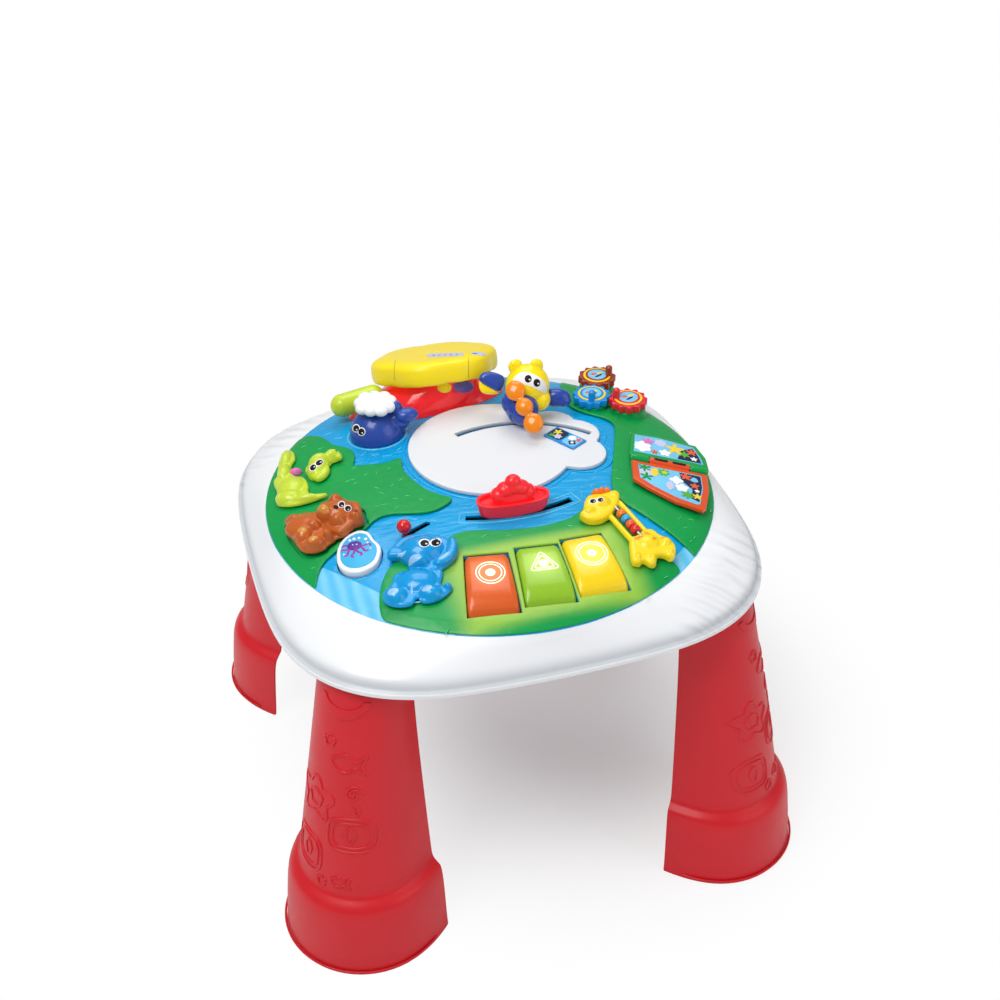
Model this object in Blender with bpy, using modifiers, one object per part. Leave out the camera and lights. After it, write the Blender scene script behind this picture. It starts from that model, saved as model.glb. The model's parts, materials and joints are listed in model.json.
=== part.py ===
"""Activity table for a baby: a rounded-square white top on four red legs, with a domed
play panel that carries keys, buttons, animals, gears, a book, a boat and an aeroplane.

Frame: metres, +Z up. The origin is on the floor under the middle of the table. The keys
face -Y, and +X is to the right of someone who looks along +Y.
"""
import math

import bmesh
import bpy
from mathutils import Matrix, Vector

# Sizes shared by all pieces
FIT_GAP = 0.0003
RUN_GAP = 0.0006
CUT_OVERRUN = 0.004
MERGE_DISTANCE = 0.00001

# The two sizes that the rest hangs on: half the width of the top, and the height of its lip
TABLE_HALF_WIDTH = 0.230
LIP_HEIGHT = 0.2906

# White table frame
CORNER_POWER = 3.33
FRAME_RISE = 0.0344
FRAME_WALL = 0.0026
LEDGE_DEPTH = 0.0035
LEDGE_WIDTH = 0.011
ROUND_TABLE_STEPS = 32
# Outer skin, each as shares: of the half side, of the way to the disc, of the height
FRAME_SKIN_SHARES = (
    (1.000, 0.00, 0.00),
    (1.000, 0.00, 0.11),
    (0.983, 0.00, 0.17),
    (0.976, 0.00, 0.36),
    (0.963, 0.20, 0.60),
    (0.950, 0.45, 0.80),
    (0.940, 0.75, 0.94),
    (0.930, 1.00, 1.00),
)
INNER_SKIN_ROWS = (5, 3, 0)

# Domed play panel
PANEL_SHARE = 0.904348
PANEL_RADIUS = TABLE_HALF_WIDTH * PANEL_SHARE
LEDGE_RADIUS = PANEL_RADIUS - LEDGE_WIDTH
PANEL_EDGE_HEIGHT = LIP_HEIGHT + FRAME_RISE
DOME_RISE = 0.020
DOME_TOP = PANEL_EDGE_HEIGHT + DOME_RISE
DOME_POWER = 4
PANEL_WALL = 0.0026
DOME_RING_SHARES = (0.0, 0.40, 0.60, 0.75, 0.87, 0.95)
SEAT_RIM_WIDTH = 0.0022

# Places and sizes on the panel are shares of this drawing span
PLAY_SHARE = 0.869565
PLAY_SPAN = TABLE_HALF_WIDTH * PLAY_SHARE

# Raised layers on the panel
LAND_HEIGHT = 0.003
LAND_EDGE_HEIGHT = 0.0012
POND_HEIGHT = 0.0045
OUTLINE_STEPS = 2
LAND_LEFT_SHARES = (
    (-0.222, -0.156), (-0.383, -0.212), (-0.500, -0.180), (-0.620, -0.150), (-0.722, -0.190),
    (-0.800, -0.270), (-0.854, -0.326), (-0.940, -0.475), (-1.100, -0.250), (-1.150, 0.100),
    (-1.080, 0.480), (-0.760, 0.700), (-0.655, 0.690), (-0.612, 0.630), (-0.590, 0.545),
    (-0.635, 0.470), (-0.630, 0.380), (-0.560, 0.300), (-0.480, 0.270), (-0.392, 0.268),
    (-0.380, 0.130), (-0.330, 0.000), (-0.280, -0.090),
)
LAND_FRONT_SHARES = (
    (-0.315, -0.500), (-0.206, -0.482), (-0.004, -0.485), (0.180, -0.487), (0.290, -0.440),
    (0.390, -0.375), (0.485, -0.395), (0.520, -0.500), (0.565, -0.650), (0.610, -0.845),
    (0.520, -1.000), (0.100, -1.150), (-0.300, -1.120), (-0.640, -0.960), (-0.690, -0.760),
    (-0.645, -0.545), (-0.500, -0.475),
)
LAND_RIGHT_SHARES = (
    (0.468, 0.446), (0.600, 0.380), (0.645, 0.250), (0.640, 0.088), (0.600, -0.020),
    (0.565, -0.140), (0.520, -0.280), (0.500, -0.365), (0.600, -0.520), (0.700, -0.730),
    (0.780, -0.800), (1.050, -0.550), (1.150, 0.000), (1.050, 0.500), (0.750, 0.900),
    (0.400, 1.060), (0.350, 0.900), (0.365, 0.700), (0.400, 0.560),
)
POND_CENTRE_SHARE = (0.062, 0.188)
POND_RADIUS_SHARE = 0.3925
CLOUD_LOBE_SHARES = ((0.440, 0.025, 0.135), (0.480, 0.190, 0.122), (0.400, 0.300, 0.120))

# Picture strip on the cloud
WINDOW_CENTRE_SHARE = (0.415, 0.140)
WINDOW_SHARES = (0.180, 0.100)
WINDOW_HEIGHT = 0.0016
WINDOW_HEADING = -58.0

# Legs
FOOT_CENTRE_SHARE = 1.07826
FOOT_RADIUS_SHARE = 0.334783
FOOT_CENTRE_RADIUS = TABLE_HALF_WIDTH * FOOT_CENTRE_SHARE
FOOT_RADIUS = TABLE_HALF_WIDTH * FOOT_RADIUS_SHARE
LEG_INSERT = 0.006
LEG_HEIGHT = LIP_HEIGHT + LEG_INSERT
LEG_WALL = 0.0028
LEG_ARC_STEPS = 8
# Sections, each as shares: of the leg's height, the foot's centre, the foot's radius, and
# the flank's length as a share of the foot's radius
LEG_SECTION_SHARES = (
    (0.000, 1.000, 1.000, 0.26),
    (0.019, 1.000, 0.985, 0.26),
    (0.222, 0.990, 0.938, 0.26),
    (0.250, 0.985, 0.890, 0.26),
    (0.268, 0.983, 0.785, 0.26),
    (0.337, 0.982, 0.753, 0.27),
    (0.843, 0.914, 0.551, 0.17),
    (0.978, 0.880, 0.530, 0.12),
    (1.000, 0.858, 0.530, 0.12),
)

# Under-cover
TRAY_SHARE = 0.952174
TRAY_HALF_WIDTH = TABLE_HALF_WIDTH * TRAY_SHARE
TRAY_HEIGHT = LEG_HEIGHT + FIT_GAP
TRAY_WALL = 0.0025
TENON_DEPTH = 0.019
TENON_WALL = 0.0025
POST_RADIUS = 0.004
POST_COUNT = 6
CELL_RADIUS = 0.0072
CELL_LENGTH = 0.050
CELL_COUNT = 3
CELL_SPACING = 0.0006
BOX_CENTRE_SHARE = (0.0, 0.30)
BOX_MARGIN = 0.0012
BOX_WALL = 0.0018
BOX_HEADROOM = 0.0021
DOOR_CLEARANCE = 0.0004
GRILLE_HOLE_RADIUS = 0.003
GRILLE_RING_RADIUS = 0.014
GRILLE_HOLES = 6
SPEAKER_CENTRE_SHARE = (0.45, -0.05)
SPEAKER_RADIUS_SHARE = 0.13
SPEAKER_HEIGHT = 0.0115

# Circuit board
BOARD_DROP = 0.013
BOARD_BOTTOM = PANEL_EDGE_HEIGHT - BOARD_DROP
BOARD_THICKNESS = 0.0016
BOARD_SHARES = (
    (-0.89, 0.05), (-0.55, 0.05), (-0.55, -0.50), (0.40, -0.50), (0.40, -0.84), (-0.50, -0.84),
    (-0.88, -0.45),
)
BOARD_POST_SHARES = ((-0.80, -0.06), (-0.58, -0.62), (-0.18, -0.80), (0.36, -0.56))

# Keys: place, heading away from the rear and colour of each
KEY_TABLE_SHARES = (
    ("key_orange", -0.220, -0.765, -10.0),
    ("key_green", 0.015, -0.775, -6.0),
    ("key_yellow", 0.240, -0.765, 0.0),
)
KEY_LENGTH = 0.310 * PLAY_SPAN
KEY_REAR_WIDTH = 0.1725 * PLAY_SPAN
KEY_FRONT_WIDTH = 0.210 * PLAY_SPAN
KEY_DROP = 0.0025
KEY_BOTTOM = PANEL_EDGE_HEIGHT - KEY_DROP
KEY_PROUD = 0.0065
KEY_EDGE = 0.0040
KEY_EDGE_SHARE = 0.3
KEY_WINDOW_GAP = 0.0012
KEY_TOP_SHARES = (
    (0.00, 0.30), (0.07, 0.80), (0.18, 1.00), (0.50, 1.05), (0.72, 1.00), (0.86, 0.72),
    (0.95, 0.15), (1.00, -0.55),
)
KEY_BARREL_RADIUS = 0.0022
KEY_BARREL_REACH = 0.0029
KEY_BARREL_RISE = 0.0015
KEY_BARREL_HEIGHT = PANEL_EDGE_HEIGHT + KEY_BARREL_RISE
KEY_BARREL_INSET = 0.0030
CARRIER_PLATE_HEIGHT = 0.0024
CARRIER_WIDTH = 0.012
SADDLE_THICKNESS = 0.0024
SADDLE_RISE = 0.0010
PAD_HEIGHT = 0.0012
PAD_DOME_RADIUS = 0.005
PAD_DOME_HEIGHT = 0.0030
PAD_DOME_SHARE = 0.6

# Drawing span of the animal figures
FIGURE_SPAN = PLAY_SPAN / 2
FIGURE_SEAT_GAP = 0.0004
VIEW_HEADING = -16.0

ELEPHANT_PLACE_SHARE = (-0.495, -0.600)
ELEPHANT_BLOB_SHARES = (
    # u, v, length along u, along v, height above the seat
    (0.05, 0.17, 0.235, 0.185, 0.165),
    (-0.15, 0.12, 0.130, 0.085, 0.095),
    (0.25, 0.12, 0.085, 0.140, 0.105),
    (0.02, -0.14, 0.170, 0.170, 0.110),
    (-0.13, -0.26, 0.140, 0.110, 0.085),
    (0.17, -0.23, 0.120, 0.120, 0.090),
)

BEAR_PLACE_SHARE = (-0.800, -0.125)
BEAR_PLATE_SHARES = (
    (-0.36, 0.10), (-0.30, 0.16), (-0.10, 0.16), (0.04, 0.24), (0.13, 0.25), (0.24, 0.16),
    (0.36, 0.06), (0.36, -0.04), (0.26, -0.14), (0.13, -0.24), (0.06, -0.36), (-0.05, -0.42),
    (-0.16, -0.36), (-0.28, -0.22), (-0.34, -0.05),
)
BEAR_BLOB_SHARES = (
    (-0.19, -0.04, 0.165, 0.200, 0.135),
    (-0.09, -0.22, 0.140, 0.160, 0.115),
    (0.13, 0.03, 0.200, 0.170, 0.175),
    (0.08, -0.06, 0.120, 0.085, 0.195),
    (0.07, 0.18, 0.065, 0.060, 0.120),
    (0.31, 0.01, 0.058, 0.058, 0.120),
)
BEAR_PLATE_THICKNESS = 0.004

BADGE_PLACE_SHARE = (-0.700, -0.385)
BADGE_SHARES = (
    (-0.02, 0.26), (0.06, 0.24), (0.10, 0.19), (0.13, 0.13), (0.19, 0.04), (0.20, -0.06),
    (0.17, -0.17), (0.09, -0.24), (0.00, -0.26), (-0.10, -0.23), (-0.17, -0.14),
    (-0.19, 0.00), (-0.17, 0.12), (-0.11, 0.21),
)
BADGE_TOP = 0.0050
BADGE_SINK = 0.0056
BADGE_FLANGE = 0.0018
BADGE_FLANGE_SHARE = 1.10
BADGE_RIM_SHARE = 0.84
BADGE_FIELD_DEPTH = 0.0012

BUTTON_TRAVEL = 0.0025
BUTTON_STEM_RADIUS = 0.0040

CROC_PLACE_SHARE = (-0.840, 0.275)
CROC_BODY_SHARES = (
    (-0.05, -0.22, 0.165, 0.190, 0.120),
    (-0.06, -0.06, 0.120, 0.110, 0.120),
    (0.13, -0.36, 0.170, 0.065, 0.075),
    (-0.15, 0.12, 0.085, 0.160, 0.090),
    (-0.17, 0.30, 0.070, 0.190, 0.080),
)
CROC_JAW_SHARES = (
    (0.13, 0.03, 0.080, 0.110, 0.130),
    (0.24, 0.12, 0.125, 0.095, 0.150),
    (0.34, 0.22, 0.110, 0.075, 0.090),
)
CROC_TONGUE_SHARE = (-0.015, 0.085, 0.045, 0.040, 0.075)
CROC_JAW_PIN_SHARE = (0.12, 0.01)
JAW_PIN_RADIUS = 0.0028

GIRAFFE_PLACE_SHARE = (0.460, -0.590)
GIRAFFE_BLOB_SHARES = (
    (-0.23, 0.26, 0.150, 0.120, 0.140),
    (-0.33, 0.17, 0.105, 0.075, 0.115),
    (-0.10, 0.36, 0.055, 0.055, 0.095),
    (0.15, -0.22, 0.170, 0.165, 0.120),
    (0.08, -0.38, 0.060, 0.110, 0.090),
    (0.19, -0.40, 0.052, 0.090, 0.085),
    (0.30, -0.20, 0.100, 0.105, 0.110),
    (0.32, -0.32, 0.052, 0.090, 0.085),
)
GIRAFFE_NECK_SHARES = (((-0.212, 0.220), (0.028, -0.215)), ((-0.060, 0.310), (0.155, -0.080)))
GIRAFFE_HORN_SHARES = ((-0.27, 0.39, 0.060, 0.055, 0.120), (-0.175, 0.42, 0.056, 0.059, 0.112))
NECK_WIDTH_SHARE = 0.052
NECK_HEIGHT_SHARE = 0.095
BEAD_ROD_ENDS_SHARES = ((-0.155, 0.300), (0.115, -0.190))
BEAD_ROD_RADIUS = 0.0016
BEAD_HEIGHT = 0.098 * FIGURE_SPAN
BEAD_RADIUS = 0.054 * FIGURE_SPAN
BEAD_ROOM_SHARES = (0.25, 0.83)
BEAD_LENGTH = 0.062 * FIGURE_SPAN
BEAD_ROUND_SHARE = 0.75
BEAD_SPREAD_SHARES = (0.345, 0.740)
BEAD_COLOURS = (("bead_orange", "horn_orange"), ("bead_blue", "bead_blue"),
                ("bead_coral", "bead_coral"), ("bead_red", "bead_red"))

# Elephant's ball lever
LEVER_START_SHARE = (-0.485, -0.340)
LEVER_END_SHARE = (-0.370, -0.290)
LEVER_BALL_RADIUS = 0.0325 * PLAY_SPAN
LEVER_BALL_HEIGHT = 0.050 * PLAY_SPAN
LEVER_STALK_RADIUS = 0.0020
LEVER_SLOT_GAP = 0.0010
LEVER_DISC_GAP = 0.0015
SLIDER_DISC_RADIUS = 0.0075
SLIDER_DISC_THICKNESS = 0.0024

# Boat on its curved slot
BOAT_PIVOT_SHARE = (0.0475, 0.455)
BOAT_ARC_RADIUS = 0.800 * PLAY_SPAN
BOAT_SLOT_HALF_ANGLE = 18.0
BOAT_REST_ANGLE = -92.3
BOAT_OFFSET = 0.0275 * PLAY_SPAN
BOAT_LENGTH = 0.340 * PLAY_SPAN
BOAT_WIDTH = 0.135 * PLAY_SPAN
BOAT_HULL_HEIGHT = 0.0150
BOAT_BOTTOM = DOME_TOP + FIT_GAP
BOAT_DECK_DEPTH = 0.0035
BOAT_RIM = 0.0030
HULL_CORNER_POWER = 0.75
# Length, width and height of each ring, as shares of the hull's
BOAT_HULL_SHARES = (
    (0.88, 0.72, 0.00), (0.95, 0.88, 0.30), (0.97, 0.93, 0.72), (1.00, 1.00, 0.80),
    (1.00, 1.00, 1.00),
)
BOAT_CABIN_SHARES = (
    # along, across, radius along, radius across, height, all as shares of the boat's length
    (0.00, 0.00, 0.310, 0.140, 0.230),
    (-0.17, 0.00, 0.120, 0.115, 0.300),
    (0.17, 0.00, 0.120, 0.115, 0.300),
    (0.00, 0.00, 0.125, 0.125, 0.410),
)
SLOT_HALF_WIDTH = 0.0035
SLOT_STEPS = 10
SLIDER_POST_RADIUS = 0.0031

# Aeroplane on its curved slot
PLANE_PIVOT_SHARE = (0.120, -0.225)
PLANE_ARC_RADIUS = 0.585 * PLAY_SPAN
PLANE_SLOT_ANGLES = (42.0, 109.0)
PLANE_REST_ANGLE = 72.0
PLANE_FOOT_BOTTOM = DOME_TOP + POND_HEIGHT + FIT_GAP
# Places over the dome's top, and sizes, as shares of the drawing span
PLANE_HEAD_SHARES = (0.315, 0.415, 0.175)
PLANE_HEAD_SIZE_SHARES = (0.110, 0.0975, 0.1125)
PLANE_BELLY_SHARES = (0.2625, 0.370, 0.095)
PLANE_BELLY_SIZE_SHARES = (0.0875, 0.095, 0.0675)
PLANE_FIN_TABLE_SHARES = ((0.265, 0.440, 0.280), (0.360, 0.420, 0.275))
PLANE_FIN_SIZE_SHARES = (0.030, 0.020, 0.0375)
PLANE_WING_LEFT_SHARES = (0.1675, 0.4725, 0.175)
PLANE_WING_RIGHT_SHARES = (0.450, 0.380, 0.105)
PLANE_WING_SIZE_SHARES = (0.0725, 0.040, 0.0475)
PLANE_WING_HEADING = -20.0
ROUND_BODY_STEPS = (12, 9)
LIME_STEPS = (10, 7)
PLANE_NOSE_SHARES = (-0.33, -0.66, 0.67)
PLANE_HUB_SHARES = (0.235, 0.255, 0.165)
PROPELLER_BLADE_SHARES = (0.264, -0.750, -0.610)
PROPELLER_LOBE_RADIUS = 0.045 * PLAY_SPAN
PROPELLER_REACH = 0.090 * PLAY_SPAN
PROPELLER_PIN_LENGTH = 0.110 * PLAY_SPAN
PROPELLER_THICKNESS = 0.0075
PROPELLER_HUB_SHARES = (1.2, 0.8, 1.2)
PROPELLER_PIN_RADIUS = 0.0025

# Whale
WHALE_PLACE_SHARE = (-0.420, 0.500)
WHALE_RADIUS = 0.131 * PLAY_SPAN
WHALE_HEIGHT = 0.1425 * PLAY_SPAN
# The tail's stem and its fluke: centre and size of each
WHALE_TAIL_SHARES = (
    ((-0.330, 0.475, 0.060), (0.070, 0.050, 0.055)),
    ((-0.250, 0.4575, 0.1075), (0.0425, 0.0675, 0.025)),
)
SPOUT_RISE_SHARE = 0.1625
SPOUT_HEIGHT = DOME_TOP + SPOUT_RISE_SHARE * PLAY_SPAN
SPOUT_RADIUS = 0.0975 * PLAY_SPAN
SPOUT_LOBE = 0.015 * PLAY_SPAN
# Reach and height of each ring, as shares of the spout's reach and half its thickness
SPOUT_RING_SHARES = ((0.80, -1.00), (1.00, -0.30), (0.97, 0.40), (0.70, 0.95), (0.25, 1.00))
SPOUT_LOBES = 7
SPOUT_STEPS = 28
SPOUT_THICKNESS = 0.0090
SPOUT_POST_RADIUS = 0.0030

# Turning cap on its base
CAP_CENTRE_SHARES = (-0.040, 0.845, 0.125)
CAP_TILT = 20.6
CAP_RADIUS = 0.300 * PLAY_SPAN
CAP_LOBE = 0.025 * PLAY_SPAN
CAP_LOBES = 6
CAP_THICKNESS = 0.0240
CAP_STEPS = 36
CAP_PROFILE_SHARES = ((0.96, -0.50), (1.00, -0.38), (1.00, 0.20), (0.96, 0.38), (0.82, 0.50))
CAP_RUN_GAP = 0.0010
BASE_TOP_RADIUS = 0.230 * PLAY_SPAN
BASE_WALL = 0.0025
BASE_SHARES = (
    (-0.500, 0.705), (-0.420, 0.665), (-0.330, 0.615), (-0.250, 0.570), (-0.100, 0.570),
    (0.080, 0.610), (0.220, 0.670), (0.300, 0.760), (0.260, 0.900), (0.100, 0.990),
    (-0.100, 1.000), (-0.300, 0.945), (-0.440, 0.850), (-0.510, 0.770),
)
SPINDLE_RADIUS = 0.0060
SPINDLE_FLANGE_RADIUS = 0.0100
SPINDLE_FLANGE_THICKNESS = 0.0030
LIME_START_SHARES = (-0.540, 0.740, 0.030)
LIME_END_SHARES = (-0.380, 0.765, 0.040)
LIME_RADIUS = 0.059 * PLAY_SPAN

# Gears on the back right hill
HILL_DROP = 0.0015
HILL_TOP = DOME_TOP - HILL_DROP
HILL_RADIUS = 0.1025 * PLAY_SPAN
HILL_TAPER_SHARE = 0.8
HILL_INSET = 0.0025
HILL_STEPS = 14
GEAR_START_SHARE = (0.670, 0.475)
GEAR_HEADINGS = (62.0, -30.0)
GEAR_TEETH = 12
GEAR_PITCH_RADIUS = 0.0915 * PLAY_SPAN
GEAR_TOOTH = 0.014 * PLAY_SPAN
GEAR_BACKLASH = 0.0006
GEAR_THICKNESS = 0.0075
GEAR_POST_RADIUS = 0.0035
GEAR_TOOTH_POINTS = 5
GEAR_PEG_RADIUS = 0.0225 * PLAY_SPAN
GEAR_PEG_TIP_SHARE = 0.8
GEAR_PEG_HEIGHT = 0.045 * PLAY_SPAN
GEAR_PEG_OFFSET = 0.045 * PLAY_SPAN

# Book at the right
BOOK_PLACE_SHARE = (0.815, -0.175)
BOOK_HEADING = -21.0
BOOK_PAGE_SHARES = (
    # u along the spine, v towards the reader is negative
    (-0.36, -0.045), (0.36, -0.045), (0.37, -0.30), (0.33, -0.62), (0.30, -0.66), (0.05, -0.60),
    (-0.20, -0.46), (-0.34, -0.36),
)
BOOK_COVER_SHARES = (
    (-0.38, 0.07), (0.38, 0.07), (0.36, 0.20), (0.27, 0.34), (-0.10, 0.36), (-0.36, 0.34),
)
BOOK_THICKNESS = 0.0040
BOOK_SEAT = 0.0036
BOOK_HINGE_HEIGHT = 0.0072
BOOK_PIN_RADIUS = 0.0015
BOOK_KNUCKLE_RADIUS = 0.0034
BOOK_ARM_SHARES = (0.3, 3.0)
BOOK_KNUCKLE_SHARES = ((-0.36, -0.20), (-0.19, 0.19), (0.20, 0.36))

# Power switch underneath
SWITCH_PLACE_SHARE = (-0.45, 0.30)
SWITCH_KNOB = (0.006, 0.010, 0.006)
SWITCH_TRAVEL = 0.005
SWITCH_SLOT_GAP = 0.0006
SWITCH_FLANGE = (0.010, 0.020, 0.002)

# An odd number of rings keeps a blob's points off its middle, where its seat is cut
LARGE_BLOB_SHARE = 0.0625
LARGE_BLOB_STEPS = (10, 7)
SMALL_BLOB_STEPS = (8, 5)
ROUND_STEPS = 16
SMALL_ROUND_STEPS = 12
PIN_STEPS = 8
POST_STEPS = 6
POND_STEPS = 32

COLOURS = {
    "frame_white": (0.86, 0.88, 0.90), "river_blue": (0.0, 0.33, 0.72),
    "land_green": (0.0, 0.39, 0.08), "leg_red": (0.79, 0.02, 0.03),
    "cloud_white": (0.88, 0.89, 0.91), "strip_blue": (0.10, 0.45, 0.80),
    "croc_lime": (0.55, 0.75, 0.04), "tongue_pink": (0.85, 0.25, 0.50),
    "bear_brown": (0.40, 0.11, 0.02), "elephant_blue": (0.02, 0.25, 0.75),
    "badge_white": (0.85, 0.88, 0.92), "lever_red": (0.80, 0.01, 0.02),
    "key_orange": (0.85, 0.16, 0.04), "key_green": (0.30, 0.62, 0.03),
    "key_yellow": (0.95, 0.70, 0.05), "giraffe_yellow": (0.95, 0.68, 0.01),
    "horn_orange": (0.90, 0.22, 0.02), "bead_blue": (0.02, 0.36, 0.80),
    "bead_red": (0.75, 0.03, 0.05), "bead_coral": (0.85, 0.12, 0.05),
    "steel": (0.60, 0.61, 0.63),
    "boat_red": (0.75, 0.01, 0.03), "plane_yellow": (0.95, 0.70, 0.01),
    "plane_blue": (0.03, 0.08, 0.50), "whale_blue": (0.03, 0.09, 0.42),
    "propeller_orange": (0.95, 0.25, 0.01), "base_red": (0.75, 0.02, 0.02),
    "cap_yellow": (0.93, 0.72, 0.01), "lime": (0.55, 0.75, 0.04),
    "gear_blue": (0.01, 0.28, 0.75), "gear_brown": (0.35, 0.06, 0.02),
    "gear_red": (0.80, 0.02, 0.03), "book_orange": (0.75, 0.10, 0.02),
    "board_green": (0.02, 0.20, 0.08), "rubber_grey": (0.25, 0.25, 0.26),
    "speaker_black": (0.03, 0.03, 0.03), "cell_steel": (0.35, 0.36, 0.30),
    "switch_black": (0.05, 0.05, 0.05),
}
METAL_COLOURS = ("steel", "cell_steel")


def clear_scene():
    for item in list(bpy.data.objects):
        bpy.data.objects.remove(item, do_unlink=True)


def new_collection(name):
    collection = bpy.data.collections.new(name)
    bpy.context.scene.collection.children.link(collection)
    return collection


clear_scene()
PARTS = new_collection("activity_table")
CUTTERS = new_collection("cutters")


def material(name):
    """One Principled material for each colour of plastic or metal."""
    found = bpy.data.materials.get(name)
    if found:
        return found
    made = bpy.data.materials.new(name)
    made.use_nodes = True
    shader = made.node_tree.nodes["Principled BSDF"]
    shader.inputs["Base Color"].default_value = (*COLOURS[name], 1)
    metal = name in METAL_COLOURS
    shader.inputs["Metallic"].default_value = 1.0 if metal else 0.0
    shader.inputs["Roughness"].default_value = 0.35
    return made


def mesh_object(name, bm, colour=None):
    """Turn a bmesh into a closed object, in the parts or, with no colour, the cutters."""
    bmesh.ops.remove_doubles(bm, verts=bm.verts, dist=MERGE_DISTANCE)
    bmesh.ops.recalc_face_normals(bm, faces=bm.faces)
    mesh = bpy.data.meshes.new(name)
    bm.to_mesh(mesh)
    bm.free()
    mesh.shade_smooth()
    mesh.set_sharp_from_angle(angle=math.radians(35))
    item = bpy.data.objects.new(name, mesh)
    if colour:
        PARTS.objects.link(item)
        mesh.materials.append(material(colour))
    else:
        CUTTERS.objects.link(item)
        item.hide_render = True
        item.display_type = "WIRE"
    return item


def boolean(item, tool, operation):
    """Add one exact Boolean."""
    modifier = item.modifiers.new(operation.lower(), "BOOLEAN")
    modifier.operation = operation
    modifier.object = tool
    return item


def cut(item, *tools):
    for tool in tools:
        boolean(item, tool, "DIFFERENCE")
    return item


def join(item, *tools):
    for tool in tools:
        boolean(item, tool, "UNION")
    return item


# Shape helpers

def loft(name, rings, colour=None, closed=False):
    """Skin rings of points. A closed loft returns to its first ring and has no caps."""
    bm = bmesh.new()
    rows = [[bm.verts.new(point) for point in ring] for ring in rings]
    pairs = list(zip(rows, rows[1:]))
    if closed:
        pairs.append((rows[-1], rows[0]))
    for lower, upper in pairs:
        for i, corner in enumerate(lower):
            j = (i + 1) % len(lower)
            bm.faces.new((corner, lower[j], upper[j], upper[i]))
    if not closed:
        bm.faces.new(rows[0])
        bm.faces.new(rows[-1])
    return mesh_object(name, bm, colour)


def cylinder(name, radius, start, end, colour=None, steps=ROUND_STEPS, end_radius=None):
    """A round bar between two points."""
    start, end = Vector(start), Vector(end)
    axis = end - start
    bm = bmesh.new()
    bmesh.ops.create_cone(bm, cap_ends=True, segments=steps, radius1=radius,
                          radius2=radius if end_radius is None else end_radius,
                          depth=axis.length)
    turn = axis.to_track_quat("Z", "Y").to_matrix().to_4x4()
    bm.transform(Matrix.Translation((start + end) / 2) @ turn)
    return mesh_object(name, bm, colour)


def box(name, low, high, colour=None, frame=None):
    low, high = Vector(low), Vector(high)
    bm = bmesh.new()
    bmesh.ops.create_cube(bm, size=1)
    bm.transform(Matrix.Translation((low + high) / 2) @ Matrix.Diagonal((*(high - low), 1)))
    if frame:
        bm.transform(frame)
    return mesh_object(name, bm, colour)


def ellipsoid(name, frame, size, colour=None, steps=None):
    if steps is None:
        steps = LARGE_BLOB_STEPS if max(size) > LARGE_BLOB_SHARE * PLAY_SPAN else SMALL_BLOB_STEPS
    bm = bmesh.new()
    bmesh.ops.create_uvsphere(bm, u_segments=steps[0], v_segments=steps[1], radius=1)
    bm.transform(frame @ Matrix.Diagonal((*size, 1)))
    return mesh_object(name, bm, colour)


def smooth_outline(points, steps=OUTLINE_STEPS):
    """A closed curve through the points, with a few steps between each two."""
    count = len(points)
    result = []
    for i in range(count):
        a, b, c, d = (Vector(points[(i + k) % count]) for k in (-1, 0, 1, 2))
        for step in range(steps):
            t = step / steps
            result.append(0.5 * ((2 * b) + (c - a) * t + (2 * a - 5 * b + 4 * c - d) * t * t
                                 + (3 * b - a - 3 * c + d) * t ** 3))
    return result


def grown(points, gap):
    """The outline moved outwards by a gap."""
    count = len(points)
    area = sum(points[i].x * points[(i + 1) % count].y - points[(i + 1) % count].x * points[i].y
               for i in range(count))
    side = 1 if area > 0 else -1
    result = []
    for i, point in enumerate(points):
        along = (points[(i + 1) % count] - points[i - 1]).normalized()
        result.append(point + Vector((along.y, -along.x)) * gap * side)
    return result


def prism(name, points, low, high, colour=None, frame=None):
    """A flat outline as a filled 2D curve, extruded to its thickness, as a mesh."""
    curve = bpy.data.curves.new(name, "CURVE")
    curve.dimensions = "2D"
    curve.fill_mode = "BOTH"
    curve.extrude = (high - low) / 2
    spline = curve.splines.new("POLY")
    spline.points.add(len(points) - 1)
    for target, point in zip(spline.points, points):
        target.co = (point[0], point[1], 0, 1)
    spline.use_cyclic_u = True
    flat = bpy.data.objects.new(name, curve)
    CUTTERS.objects.link(flat)
    bpy.context.view_layer.update()
    shape = bpy.data.meshes.new_from_object(flat.evaluated_get(bpy.context.evaluated_depsgraph_get()))
    bm = bmesh.new()
    bm.from_mesh(shape)
    bpy.data.objects.remove(flat)
    bpy.data.meshes.remove(shape)
    bm.transform(Matrix.Translation((0, 0, (low + high) / 2)))
    if frame:
        bm.transform(frame)
    return mesh_object(name, bm, colour)


def settle(item):
    """Replace an object's mesh by its evaluated one and drop the modifiers' tools."""
    bpy.context.view_layer.update()
    tools = [modifier.object for modifier in item.modifiers if modifier.type == "BOOLEAN"]
    done = bpy.data.meshes.new_from_object(item.evaluated_get(bpy.context.evaluated_depsgraph_get()))
    item.modifiers.clear()
    item.data = done
    for tool in set(tools):
        if tool.users_collection and tool.name in CUTTERS.objects:
            bpy.data.objects.remove(tool)
    return item


# The dome

def dome_height(x, y):
    share = min(math.hypot(x, y), PANEL_RADIUS) / PANEL_RADIUS
    return PANEL_EDGE_HEIGHT + DOME_RISE * (1 - share ** DOME_POWER)


def place(shares, span=PLAY_SPAN):
    return Vector((shares[0] * span, shares[1] * span))


def over_dome(shares):
    """A point whose height is counted from the top of the dome."""
    return Vector(shares) * PLAY_SPAN + Vector((0, 0, DOME_TOP))


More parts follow.
